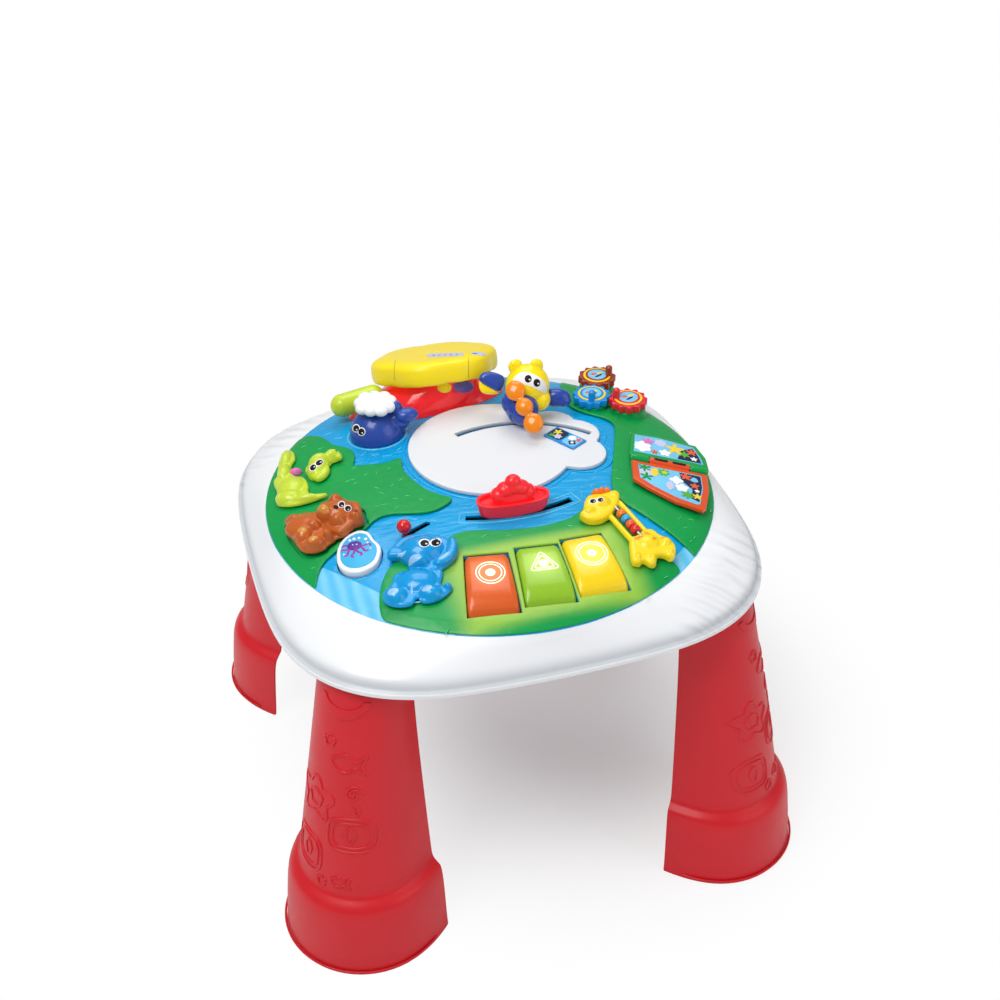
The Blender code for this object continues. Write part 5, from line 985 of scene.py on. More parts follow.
def make_strokes(name, rows, lift, length, finish):
    bm = bmesh.new()
    pick = random.Random(7)
    for pair in rows:
        spot = dome_frame(place(pair), pick.uniform(-40, 60)) @ Matrix.Translation((0, 0, lift))
        size = length * pick.uniform(0.7, 1.3)
        add_blob(bm, spot, (size, 0.00055, 0.0005), 16, 10)
    return piece(name, bm, finish, "table", (), 60)


def make_track(name, loop, size, finish):
    bm = line_mesh([loop], *size)
    for vert in bm.verts:
        vert.co.z += dome_height(vert.co.x, vert.co.y)
    return piece(name, bm, finish, "table", (), 60)


# %% [markdown]
# ## Places of the gears, and the hills under them
#
# The three gears mesh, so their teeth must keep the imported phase. The blue one drives; the
# two others sit one pitch diameter away, half a tooth out of step. Their places are worked
# out here, because the land rises under each in a low cone, and the cones melt into a hill.

# %% Gear places and hills
GEAR_TEETH = 12
GEAR_PITCH_RADIUS = 0.0183
GEAR_HEADINGS = (62.0, -30.0)
HILL_RADIUS = 0.0205
HILL_TOP = 0.3435
HILL_BOTTOM = 0.327
HILL_REACH = PANEL_RADIUS - 0.001


def gear_data():
    first = place((0.670, 0.475))
    driver = math.radians(GEAR_HEADINGS[0])
    pitch = math.tau / GEAR_TEETH
    rows = [("gear_blue", first, driver)]
    for name, degrees in zip(("gear_brown", "gear_red"), GEAR_HEADINGS):
        heading = math.radians(degrees)
        centre = first + 2 * GEAR_PITCH_RADIUS * direction(heading)
        phase = heading + math.pi + pitch / 2 + (heading - driver) % pitch
        rows.append((name, centre, phase))
    return rows


def make_hills():
    bm = bmesh.new()
    for _, centre, _ in gear_data():
        made = bmesh.ops.create_cone(bm, cap_ends=True, segments=48, radius1=HILL_RADIUS,
                                     radius2=HILL_RADIUS * 0.8, depth=HILL_TOP - HILL_BOTTOM)
        bmesh.ops.translate(bm, verts=made["verts"], vec=(*centre, (HILL_TOP + HILL_BOTTOM) / 2))
    for vert in bm.verts:
        pull = min(1.0, HILL_REACH / max(vert.co.xy.length, WELD))
        vert.co.x *= pull
        vert.co.y *= pull
    return piece("hills_skin", melted(bm, 0.0009, 5), "land_green", "table", (), 50)


print("gears:", ", ".join(name for name, _, _ in gear_data()))

# %% [markdown]
# ## Pond and cloud
#
# The white pond and its cloud are one raised plate. Its outline is a circle with three
# lobes, so the union of circles is walked once by taking, for each direction from the
# pond's middle, the farthest circle that the ray meets.

# %% Pond plate
WHALE_PLACE = Vector((-0.084, 0.100))
POND_CENTRE = Vector((0.0124, 0.0376))
POND_RADIUS = 0.0785
CLOUD_LOBES = ((0.0880, 0.0050, 0.0270), (0.0960, 0.0380, 0.0244), (0.0800, 0.0600, 0.0240))


def pond_reach(angle):
    towards = direction(angle)
    reach = POND_RADIUS
    for x, y, radius in CLOUD_LOBES:
        to_lobe = Vector((x, y)) - POND_CENTRE
        along = to_lobe.dot(towards)
        gap = to_lobe.length_squared - along * along
        if along > 0 and gap < radius * radius:
            reach = max(reach, along + math.sqrt(radius * radius - gap))
    return POND_CENTRE + towards * reach


def make_pond():
    outline = [pond_reach(math.tau * i / 220) for i in range(220)]
    bm = plate_mesh([outline, PLANE_LOOP], FIT_GAP, POND_HEIGHT, 0.0010)
    slice_grid(bm)
    bend_to_dome(bm, 0, POND_HEIGHT)
    return piece("pond_skin", bm, "pond_white", "table", ("pond_plate",), 45)


pond = make_pond()
make_strokes("tufts", TUFT_SHARES, LAND_HEIGHT, 0.0030, "grass")
make_strokes("ripples", RIPPLE_SHARES, 0.0, 0.0044, "ripple")
make_track("boat_track", arc_loop(place(BOAT_PIVOT_SHARE), BOAT_ARC_RADIUS, (-110, -70), 0.0078),
           TRACK_SIZE, "ripple")
make_track("pond_kerb", [POND_CENTRE + (pond_reach(math.tau * i / 160) - POND_CENTRE) * 1.055
                         for i in range(160)], KERB_SIZE, "kerb")
make_track("whale_ring", circle_loop(WHALE_PLACE, 0.0285, 64), RING_SIZE, "ripple")
make_hills()
print("pond faces:", len(pond.data.polygons))

# %% [markdown]
# ## Figures in relief
#
# The animals are low reliefs with clear outlines. Each starts as one or two rounded plates
# of its outline, in a frame that lies on the dome, with stretched spheres for the head, the
# belly and the paws. They are melted together and a last cut gives the flat seat. The eyes
# are thin lenses dropped onto that skin along the line of sight, so they follow its curve.

# %% Figure helpers
SEAT_GAP = 0.0004


def flat_seat(bm, matrix, height):
    """Cut the skin off at a height in the frame, and close it."""
    normal = matrix.to_3x3() @ Vector((0, 0, 1))
    cut = bmesh.ops.bisect_plane(bm, geom=bm.verts[:] + bm.edges[:] + bm.faces[:],
                                 plane_co=matrix @ Vector((0, 0, height)), plane_no=normal,
                                 clear_inner=True)
    edges = [item for item in cut["geom_cut"] if isinstance(item, bmesh.types.BMEdge)]
    bmesh.ops.contextual_create(bm, geom=edges)


def sculpt(name, node, matrix, layers, rows, finish, seat, cut, bars=(), smoothing=6):
    """A figure from outline layers (low, high and rounding in mm) and stretched spheres.

    The rows are u, v, length, width and height as shares of the figure's span, measured
    from the seat, with a turn in degrees where a sixth number is given.
    """
    bm = bmesh.new()
    for shares, low, high, rounding in layers:
        outline = smooth_loop([place(pair, FIGURE_SPAN) for pair in shares], 5)
        plate = plate_mesh([even_loop(outline, 0.0012, 2)], low * MM, high * MM, rounding * MM)
        bmesh.ops.transform(plate, matrix=matrix, verts=plate.verts)
        mesh = bpy.data.meshes.new("layer")
        plate.to_mesh(mesh)
        plate.free()
        bm.from_mesh(mesh)
        bpy.data.meshes.remove(mesh)
    for row in rows:
        u, v, long, wide, high = (share * FIGURE_SPAN for share in row[:5])
        turn = Matrix.Rotation(math.radians(row[5] if len(row) > 5 else 0), 4, "Z")
        add_blob(bm, matrix @ Matrix.Translation((u, v, seat)) @ turn, (long, wide, high))
    for start, end, radius in bars:
        a, b = Vector(start) * FIGURE_SPAN, Vector(end) * FIGURE_SPAN
        steps = max(2, int((b - a).length / (radius * FIGURE_SPAN * 0.5)))
        for i in range(steps + 1):
            spot = a.lerp(b, i / steps) + Vector((0, 0, seat))
            add_blob(bm, matrix @ Matrix.Translation(spot), (radius * FIGURE_SPAN,) * 3, 12, 8)
    bm = melted(bm, 0.0006, smoothing)
    flat_seat(bm, matrix, cut)
    return piece(name, bm, finish, body_of_node(node), (node,), 60)


# %% [markdown]
# ## Stickers and printed eyes
#
# A print is a very thin piece of its own, so that it keeps a crisp edge. It is made flat in
# a frame, and each of its points is dropped along the frame's normal onto the skin below.
# Eyes use a frame that faces the camera, so both look forward though the skin curves away.

# %% Sticker helpers
def facing_frame(centre):
    """A frame at a point, whose +Z looks back along the line of sight."""
    right = CAMERA_RIGHT.normalized()
    up = VIEW_BACK.cross(right)
    result = Matrix((right, up, VIEW_BACK)).transposed().to_4x4()
    result.translation = centre
    return result


def drop_on(bm, target, matrix, sink=0.0):
    """Drop each point of a flat shape, made in a frame, onto a piece below it."""
    bpy.context.view_layer.update()
    tree = BVHTree.FromObject(target, bpy.context.evaluated_depsgraph_get())
    normal = (matrix.to_3x3() @ Vector((0, 0, 1))).normalized()
    for vert in bm.verts:
        height = vert.co.z
        start = matrix @ Vector((vert.co.x, vert.co.y, 0.08))
        hit = tree.ray_cast(start, -normal)[0]
        if hit is None:
            hit = tree.find_nearest(matrix @ Vector((vert.co.x, vert.co.y, 0)))[0]
        vert.co = hit + normal * (height - sink)
    bmesh.ops.recalc_face_normals(bm, faces=bm.faces)


def lens(name, target, matrix, u, v, long, wide, finish, body, turn=0.0, thick=0.0003):
    """A thin oval sticker that follows the piece under it. Sizes are in millimetres."""
    bm = bmesh.new()
    spin = Matrix.Rotation(math.radians(turn), 4, "Z")
    add_blob(bm, Matrix.Translation((u * MM, v * MM, 0)) @ spin, (long * MM, wide * MM, thick),
             28, 10)
    drop_on(bm, target, matrix)
    return piece(name, bm, finish, body)


def lenses(name, target, matrix, rows, finish, body, thick):
    """Numbered lenses of one finish. Each row is u, v, length, width and turn."""
    for i, (u, v, long, wide, turn) in enumerate(rows):
        lens(f"{name}_{i}", target, matrix, u, v, long, wide, finish, body, turn, thick)


def eyes(name, target, at, gap, long, tall, body, turn=0.0, look=(0.05, -0.03)):
    """A pair of printed eyes at a point, seen face on. Lengths are in millimetres."""
    face = facing_frame(at)
    along = Matrix.Rotation(math.radians(turn), 2)
    for i, side in enumerate((-1, 1)):
        centre = along @ Vector((side * gap, 0))
        pupil = centre + along @ Vector((look[0] * long, look[1] * tall))
        shine = pupil + along @ Vector((0.34 * long, -0.16 * tall))
        for part, at, wide, high, finish, thick in (
            ("white", centre, 1.08, 1.10, "eye_white", 0.00030),
            ("pupil", pupil, 0.86, 0.90, "ink", 0.00080),
            ("shine", shine, 0.26, 0.24, "eye_white", 0.00140),
        ):
            lens(f"{name}_{part}_{i}", target, face, *at, long * wide, tall * high, finish, body,
                 turn, thick)


def sticker(name, target, matrix, loop, finish, body, thick=0.0003):
    """A flat shape, given in millimetres, that follows the piece under it."""
    bm = plate_mesh([[Vector(point) * MM for point in loop]], 0, thick, thick / 3)
    slice_grid(bm, 0.0020)
    drop_on(bm, target, matrix)
    return piece(name, bm, finish, body)


# %% [markdown]
# ## Relief on the legs
#
# Each leg carries raised drawings down its outer face, a crescent at its top where the thumb
# goes, and a thin lip at the floor. The drawings here are our own: flowers, rounded shields,
# leaves, fish and a curl. They are thin half-round lines, drawn flat in millimetres and then
# dropped onto the leg along its diagonal.

# %% Leg relief
LEG_HEADINGS = {"front_left": 225, "front_right": 315, "back_right": 45, "back_left": 135}
FOOT_CENTRE_RADIUS = 0.248
FOOT_RADIUS = 0.077
LEG_AXIS_RADIUS = FOOT_CENTRE_RADIUS * 0.95
RIM_RADIUS = FOOT_RADIUS - 0.0012
RIM_HEIGHT = 0.0040
RIM_THICKNESS = 0.0011
RIM_STEPS = 72


def rounded_square(x, y, wide, tall, power=3.2, steps=48):
    points = []
    for i in range(steps):
        c, s = math.cos(math.tau * i / steps), math.sin(math.tau * i / steps)
        points.append(Vector((x + wide * math.copysign(abs(c) ** (2 / power), c),
                              y + tall * math.copysign(abs(s) ** (2 / power), s))))
    return points


def flower_loop(x, y, radius, petals, depth, steps=80):
    points = []
    for i in range(steps):
        angle = math.tau * i / steps
        reach = radius * (1 + depth * math.cos(petals * angle))
        points.append(Vector((x + reach * math.sin(angle), y + reach * math.cos(angle))))
    return points


def curve_loop(x, y, shares, size, steps=6):
    return smooth_loop([(x + u * size, y + v * size) for u, v in shares], steps)


LEAF_SHARES = ((0.0, 1.0), (0.45, 0.45), (0.40, -0.25), (0.0, -0.9), (-0.40, -0.25),
               (-0.45, 0.45))
FISH_SHARES = (
    (-1.0, 0.1), (-0.55, 0.5), (0.0, 0.62), (0.45, 0.25), (1.0, 0.65), (0.80, 0.0),
    (1.0, -0.55), (0.45, -0.2), (0.0, -0.5), (-0.55, -0.4),
)
CURL_SHARES = ((0.9, 0.1), (0.4, 0.85), (-0.5, 0.7), (-0.8, -0.1), (-0.2, -0.75), (0.35, -0.35),
               (0.1, 0.1), (-0.15, 0.0), (0.0, -0.35), (-0.35, -0.15), (-0.30, 0.35), (0.35, 0.45))
LEG_LOOPS = (
    rounded_square(18, 146, 21, 17), rounded_square(18, 146, 16.5, 12.5),
    rounded_square(-26, 114, 17, 18), rounded_square(-26, 114, 13, 13.5),
    curve_loop(18, 146, LEAF_SHARES, 8.5), curve_loop(-26, 114, LEAF_SHARES, 8.5),
    flower_loop(-19, 172, 17.5, 5, 0.22), flower_loop(-19, 172, 7.5, 5, 0.10),
    curve_loop(12, 217, FISH_SHARES, 15), curve_loop(19, 189, CURL_SHARES, 8),
    curve_loop(22, 172, LEAF_SHARES, 5), curve_loop(11, 95, FISH_SHARES, 9),
    flower_loop(-8, 90, 4.5, 5, 0.2), flower_loop(-6, 236, 5.0, 5, 0.2),
)


def leg_frame(heading):
    """A frame at the foot's centre: +X across the leg, +Y up, +Z outwards."""
    turn = math.radians(heading)
    out = Vector((math.cos(turn), math.sin(turn), 0))
    up = Vector((0, 0, 1))
    matrix = Matrix((up.cross(out), up, out)).transposed().to_4x4()
    matrix.translation = out * LEG_AXIS_RADIUS
    return matrix


def decorate_leg(corner):
    name = "leg_" + corner
    target = bpy.data.objects[name + "_skin"]
    matrix = leg_frame(LEG_HEADINGS[corner])
    bm = line_mesh([[point * MM for point in loop] for loop in LEG_LOOPS], 0.0026, 0.0015)
    drop_on(bm, target, matrix, 0.0002)
    piece(name + "_relief", bm, "leg_red", "table", (), 60)
    crescent = [(4 + 22 * math.cos(a), 277 + 17 * math.sin(a))
                for a in (math.pi + math.pi * i / 24 for i in range(25))]
    crescent += [(4 + 17 * math.cos(a), 278 + 9 * math.sin(a))
                 for a in (math.tau - math.pi * i / 24 for i in range(25))]
    sticker(name + "_thumb", target, matrix, crescent, "leg_red", "table", 0.0010)
    heading = math.radians(LEG_HEADINGS[corner])
    centre = direction(heading) * FOOT_CENTRE_RADIUS
    rim = [(*(centre + RIM_RADIUS * direction(heading + math.pi * (i / RIM_STEPS - 0.5))),
            RIM_HEIGHT) for i in range(RIM_STEPS + 1)]
    bm = curve_mesh([rim], False, RIM_THICKNESS, dimensions="3D")
    piece(name + "_rim", bm, "leg_red", "table", (), 60)


for corner in LEG_HEADINGS:
    decorate_leg(corner)
print("legs decorated:", len(LEG_HEADINGS))

# %% [markdown]
# ## Keys
#
# Each key is a block of translucent plastic with a lamp under it. The block is a cube with
# its upper edges bevelled, sliced across so that its top can roll down at the front, and
# tapered to the rear. The lamp's glow is an emission that fades from the mark outwards.

# %% Keys
KEY_BOTTOM = 0.3225
KEY_PROUD = 0.0065
KEY_ROUNDING = 0.0065
KEY_BLOCK_HEIGHT = 0.024
KEY_SLICES = 40
KEY_GLOW_REACH = 0.026
KEY_MARK_SPOT = (0.001, 0.0065)
KEY_TOP_SHARES = (
    (0.00, 0.20), (0.04, 0.62), (0.10, 0.90), (0.20, 1.02), (0.35, 1.06), (0.52, 1.05),
    (0.66, 0.98), (0.76, 0.82), (0.84, 0.52), (0.90, 0.12), (0.95, -0.42), (1.00, -1.20),
)


def glow_finish(name, colour, glow, centre, reach):
    """Plastic that is lit from below around one point."""
    material = plastic(name, colour, 0.28, 0.25, 0.08)
    tree = material.node_tree
    near = ramp_node(tree, distance_node(tree, centre), reach, 0.0, soft=True)
    fill_inputs(tree.nodes["Principled BSDF"], {
        "Emission Color": mix_colours(tree, near, (0, 0, 0, 1), glow), "Emission Strength": 1.0})
    return material


def lit_finish(name, colour, strength):
    """A pale plastic that glows a little, for what the lamps under the keys light up."""
    material = plastic(name, colour, 0.2, 0.4, 0.02)
    light_up(material, colour, strength)
    return material


def key_top(share):
    for (a, low), (b, high) in zip(KEY_TOP_SHARES, KEY_TOP_SHARES[1:]):
        if share <= b:
            return low + (high - low) * (share - a) / (b - a)
    return KEY_TOP_SHARES[-1][1]


def key_mark(name, key, loops, at, matrix, body):
    """A pressed mark on a key: thin lit lines and a bright soft middle."""
    bm = line_mesh(loops, 0.0011, 0.0004)
    bmesh.ops.translate(bm, verts=bm.verts, vec=(at[0], at[1], 0))
    drop_on(bm, key, matrix)
    piece(name + "_mark", bm, "mark", body)
    lens(name + "_spark", key, matrix, at[0] / MM, at[1] / MM, 4.2, 4.2, "spark", body)


def make_key(name, x, y, heading, colour, glow):
    turned = key_frame(x * PLAY_SPAN, y * PLAY_SPAN, heading)
    middle = turned @ Vector((0, KEY_LENGTH * 0.12, 0))
    middle.z = dome_height(middle.x, middle.y) + KEY_PROUD
    FINISHES[name] = glow_finish(name, colour, glow, middle, KEY_GLOW_REACH)
    height = KEY_BLOCK_HEIGHT
    bm = bmesh.new()
    bmesh.ops.create_cube(bm, size=1)
    bmesh.ops.scale(bm, verts=bm.verts, vec=(KEY_FRONT_WIDTH, KEY_LENGTH, height))
    upper = [edge for edge in bm.edges if sum(vert.co.z > 0 for vert in edge.verts) > 0]
    bmesh.ops.bevel(bm, geom=upper, offset=KEY_ROUNDING, segments=5, profile=0.5, material=-1,
                    affect="EDGES")
    for i in range(1, KEY_SLICES):
        cut = KEY_LENGTH * (i / KEY_SLICES - 0.5)
        bmesh.ops.bisect_plane(bm, geom=bm.verts[:] + bm.edges[:] + bm.faces[:],
                               plane_co=(0, cut, 0), plane_no=(0, 1, 0))
    for vert in bm.verts:
        share = 0.5 - vert.co.y / KEY_LENGTH
        width = KEY_REAR_WIDTH + (KEY_FRONT_WIDTH - KEY_REAR_WIDTH) * share
        ground = turned @ Vector((0, vert.co.y, 0))
        top = dome_height(ground.x, ground.y) + key_top(share) * KEY_PROUD
        up = vert.co.z / height + 0.5
        vert.co.z = KEY_BOTTOM + up * (top - KEY_BOTTOM)
        vert.co.x *= width / KEY_FRONT_WIDTH
    bmesh.ops.transform(bm, matrix=turned, verts=bm.verts)
    body = body_of_node(name)
    key = piece(name + "_skin", bm, name, body, (name,), 60)
    above = turned @ Matrix.Translation((0, 0, 0.33))
    key_mark(name, key, KEY_MARKS[name], KEY_MARK_SPOT, above, body)


def corner_loop(radius, corners=3, easing=10):
    """A polygon with eased corners, standing on its side."""
    points = [radius * direction(math.pi / 2 - math.tau * i / corners) for i in range(corners)]
    return even_loop(points, 0.0012, easing)


KEY_MARKS = {
    "key_orange": [circle_loop(Vector((0, 0)), 0.0122), circle_loop(Vector((0, 0)), 0.0095)],
    "key_green": [corner_loop(0.0150), corner_loop(0.0108)],
    "key_yellow": [circle_loop(Vector((0, 0)), 0.0138), corner_loop(0.0125, 6, 12)],
}
KEY_COLOURS = {
    "key_orange": (srgb(222, 96, 40), srgb(176, 108, 60)),
    "key_green": (srgb(146, 194, 48), srgb(140, 150, 80)),
    "key_yellow": (srgb(250, 212, 30), srgb(150, 130, 70)),
}
FINISHES["mark"] = lit_finish("mark", srgb(255, 246, 214), 0.55)
FINISHES["spark"] = lit_finish("spark", srgb(255, 244, 200), 0.75)
for name, *spot in KEY_TABLE_SHARES:
    make_key(name, *spot, *KEY_COLOURS[name])
print("keys:", ", ".join(KEY_COLOURS))

# %% [markdown]
# ## Elephant
#
# The elephant sits in low relief on the front land, with a big ear and a raised trunk. Four
# outline layers give its clear edge, and six stretched spheres give the roundness of head,
# belly and feet. Paler patches on it are painted highlights, where its gloss reflects the lamps.

# %% Elephant
ELEPHANT_PLACE_SHARE = (-0.495, -0.600)
ELEPHANT_HEAD_SHARES = (
    (-0.08, 0.41), (-0.18, 0.35), (-0.24, 0.24), (-0.26, 0.17), (-0.20, 0.13), (-0.12, 0.17),
    (-0.07, 0.13), (-0.075, 0.03), (-0.01, -0.02), (0.10, -0.04), (0.20, -0.02), (0.30, 0.06),
    (0.33, 0.14), (0.34, 0.23), (0.32, 0.33), (0.27, 0.34), (0.19, 0.39), (0.05, 0.43),
)
ELEPHANT_BODY_SHARES = (
    (-0.07, 0.01), (-0.19, -0.04), (-0.21, -0.14), (-0.28, -0.24), (-0.26, -0.34),
    (-0.16, -0.40), (-0.03, -0.39), (0.015, -0.31), (0.05, -0.37), (0.14, -0.37), (0.25, -0.31),
    (0.30, -0.23), (0.28, -0.18), (0.21, -0.18), (0.21, 0.00),
)
ELEPHANT_EAR_SHARES = (
    (0.17, 0.00), (0.25, 0.02), (0.315, 0.08), (0.345, 0.16), (0.35, 0.26), (0.31, 0.34),
    (0.27, 0.30), (0.26, 0.20), (0.22, 0.12), (0.15, 0.07),
)
ELEPHANT_TRUNK_SHARES = (
    (-0.06, 0.17), (-0.13, 0.23), (-0.21, 0.25), (-0.26, 0.19), (-0.24, 0.135), (-0.17, 0.13),
    (-0.11, 0.12), (-0.05, 0.08),
)
ELEPHANT_ROWS = (
    (0.04, 0.21, 0.205, 0.165, 0.158), (0.03, 0.05, 0.095, 0.060, 0.135),
    (0.01, -0.13, 0.185, 0.145, 0.100), (-0.16, -0.29, 0.105, 0.095, 0.104),
    (0.13, -0.28, 0.105, 0.085, 0.100), (0.27, -0.22, 0.040, 0.040, 0.080),
)
elephant_frame = dome_frame(place(ELEPHANT_PLACE_SHARE))
seat_on_land = LAND_HEIGHT + SEAT_GAP
elephant = sculpt("elephant_skin", "elephant_figure", elephant_frame,
                  ((ELEPHANT_HEAD_SHARES, 2.0, 9.0, 3.4), (ELEPHANT_BODY_SHARES, 2.0, 7.0, 2.8),
                   (ELEPHANT_EAR_SHARES, 2.0, 12.5, 3.6), (ELEPHANT_TRUNK_SHARES, 2.0, 12.5, 3.6)),
                  ELEPHANT_ROWS, "elephant", seat_on_land, seat_on_land, (), 26)
eyes("elephant_eye", elephant, elephant_frame @ Vector((0.012, 0.0215, 0.016)), 4.7, 4.5, 3.2,
     "table", 2)
# Painted highlights: pale lenses on the ears, the trunk, the thighs and the feet.
lenses("elephant_highlight_lens", elephant, elephant_frame, (
    (-1, 6, 6.6, 4.2, -4), (-14, 13, 6.0, 1.6, 22), (-18, -29, 4.8, 4.2, 10),
    (10, -27, 4.6, 3.8, 0), (-3, -25, 1.0, 3.6, 0), (24, 9, 6.0, 1.8, 42), (2, -35, 3.6, 0.9, 20),
), "elephant_painted_highlight", "table", 0.00025)
print("elephant faces:", len(elephant.data.polygons))

# %% [markdown]
# ## Bear
#
# The bear is a button. It lies in the hole of the left land and sits a little higher than
# the elephant, so that it can be pressed 2.5 mm. It is made in the same way, from its whole
# outline, the head's and the body's, with balls for the ears, arms and feet.

# %% Bear
BEAR_HEAD_SHARES = (
    (0.13, 0.24), (0.08, 0.225), (0.03, 0.205), (-0.04, 0.17), (-0.05, 0.05), (-0.01, -0.07),
    (0.07, -0.19), (0.16, -0.26), (0.21, -0.255), (0.255, -0.20), (0.30, -0.145),
    (0.35, -0.095), (0.365, -0.05), (0.355, 0.00), (0.345, 0.08), (0.31, 0.14), (0.26, 0.155),
    (0.21, 0.18), (0.18, 0.225),
)
BEAR_BODY_SHARES = (
    (-0.06, 0.09), (-0.34, 0.08), (-0.31, -0.08), (-0.24, -0.24), (-0.15, -0.37),
    (-0.04, -0.40), (0.04, -0.37), (0.06, -0.32), (0.10, -0.28), (0.08, -0.18), (-0.01, -0.06),
)
BEAR_ROWS = (
    (0.14, 0.01, 0.165, 0.150, 0.150), (0.045, -0.035, 0.100, 0.082, 0.185, -35),
    (0.16, -0.13, 0.085, 0.070, 0.140), (0.112, 0.180, 0.072, 0.068, 0.118),
    (0.310, -0.075, 0.066, 0.066, 0.118), (-0.15, -0.08, 0.190, 0.140, 0.098),
    (-0.06, -0.13, 0.070, 0.065, 0.112), (-0.15, -0.22, 0.085, 0.100, 0.106),
    (-0.04, -0.34, 0.095, 0.065, 0.102), (0.075, -0.275, 0.046, 0.042, 0.105),
    (-0.26, 0.02, 0.070, 0.065, 0.075),
)
BEAR_PLATE_LOW = 0.0029
BEAR_PLATE_TOP = 0.0069


def make_bear():
    matrix = dome_frame(place(BEAR_PLACE_SHARE))
    bear = sculpt("bear_skin", "bear_button", matrix,
                  ((BEAR_OUTLINE_SHARES, 2.9, 6.8, 1.2), (BEAR_HEAD_SHARES, 5.0, 12.5, 3.6),
                   (BEAR_BODY_SHARES, 5.0, 9.5, 3.0)),
                  BEAR_ROWS, "bear", BEAR_PLATE_TOP, BEAR_PLATE_LOW + 0.0003, (), 20)
    # Painted highlights: pale lenses on the muzzle, the belly and a foot. The dark lenses are the
    # inner ears.
    for part, u, v, long, wide, finish, turn in (
        ("muzzle", 4.0, -3.5, 7.0, 4.6, "bear_painted_highlight", -48),
        ("belly", -14.5, -21.5, 4.2, 5.0, "bear_painted_highlight", 20),
        ("foot", -3.5, -35.0, 4.6, 2.8, "bear_painted_highlight", 25),
        ("ear_0", 12.0, 20.5, 2.4, 2.0, "bear_dark", 0),
        ("ear_1", 32.0, -7.5, 2.4, 2.0, "bear_dark", 0),
    ):
        lens(f"bear_{part}", bear, matrix, u, v, long, wide, finish, "bear", turn)
    eyes("bear_eye", bear, matrix @ Vector((0.0225, 0.000, 0.018)), 3.3, 3.0, 2.7, "bear", -32)
    lens("bear_nose", bear, facing_frame(matrix @ Vector((0.0150, 0.0025, 0.018))), 0, -1.2, 2.4,
         1.7, "ink", "bear", -20, 0.0010)
    return bear


print("bear faces:", len(make_bear().data.polygons))

# %% [markdown]
# ## Badge
#
# Beside the bear is a second button: a white plate with a blue field sunk in its top. The
# print on the field is our own, a small sea creature with waving arms and some bubbles. Its
# arms are thin lines around one point, swung to one side and the other in turn.

# %% Badge
BADGE_LOW, BADGE_TOP = -0.0056, 0.0050
BADGE_BUBBLES = (
    (-8, 13, 1.3), (-4.5, 14.5, 1.5), (0, 15, 1.3), (6, 13, 1.5), (8, 8, 1.1), (-12, -4, 0.9),
    (11, 1, 0.9), (-5, 7, 0.9), (-1.5, 7, 0.9),
)
FINISHES["badge_arms"] = plastic("badge_arms", srgb(150, 50, 160), 0.4, 0.1, 0.1)


def make_badge():
    matrix = dome_frame(place(BADGE_PLACE_SHARE))
    outline = smooth_loop([place(pair, FIGURE_SPAN) for pair in BADGE_SHARES], 6)
    bm = plate_mesh([outline], BADGE_LOW, BADGE_TOP, 0.0016)
    bmesh.ops.transform(bm, matrix=matrix, verts=bm.verts)
    piece("badge_skin", bm, "badge", "badge", ("badge_button",), 50)
    field = plate_mesh([[point * 0.82 for point in outline]], 0, 0.0006, 0.0002)
    raised = matrix @ Matrix.Translation((0, 0, BADGE_TOP - 0.0001))
    bmesh.ops.transform(field, matrix=raised, verts=field.verts)
    sea = piece("badge_field", field, "badge_sea", "badge")
    head = Vector((-3.5, 6.0))
    arms = []
    for k in range(7):
        out = direction(math.radians(178 + 30 * k))
        side = Vector((-out.y, out.x)) * (1.6 if k % 2 else -1.6)
        arms.append([(head + out * reach + side * sway) * MM for reach, sway in (
            (4, 0), (7, 0.5), (9.5, 0.2), (11.5, -0.7), (13.5, -0.6), (14.3, 0.6))])
    bm = line_mesh(arms, 0.0022, 0.0003, False)
    drop_on(bm, sea, matrix)
    piece("badge_arms", bm, "badge_arms", "badge")
    lens("badge_head", sea, matrix, head.x, head.y, 6.6, 5.8, "badge_mark", "badge", 0, 0.0006)
    lenses("badge_bubble", sea, matrix, [(u, v, size, size, 0) for u, v, size in BADGE_BUBBLES],
           "eye_white", "badge", 0.0009)


make_badge()
print("badge bubbles:", len(BADGE_BUBBLES))

# %% [markdown]
# ## Lever's ball
#
# The elephant's lever is a red ball on a stem that slides along the straight slot. The
# packed lever keeps its mesh, and a smooth ball is laid over its faceted one.

# %% Lever ball
LEVER_BALL_RADIUS = 0.0065
LEVER_BALL_HEIGHT = 0.0100


def make_lever():
    up = dome_frame(LEVER_START).to_3x3() @ Vector((0, 0, 1))
    foot = Vector((*LEVER_START, dome_height(*LEVER_START)))
    bm = bmesh.new()
    add_blob(bm, Matrix.Translation(foot + up * LEVER_BALL_HEIGHT), (LEVER_BALL_RADIUS,) * 3,
             32, 20)
    piece("lever_ball", bm, "lever_red", "lever")
    keep_node("elephant_lever", "lever_red")


make_lever()
print("lever ball radius:", LEVER_BALL_RADIUS)

# %% [markdown]
# ## Crocodile
#
# The crocodile lies in relief at the left, and its head swings open like a jaw, with a pink
# tongue behind. Body, head and tongue are three pieces, because the head moves on a hinge of
# its own. The head is cut off a little higher, so that it clears the land as it turns.

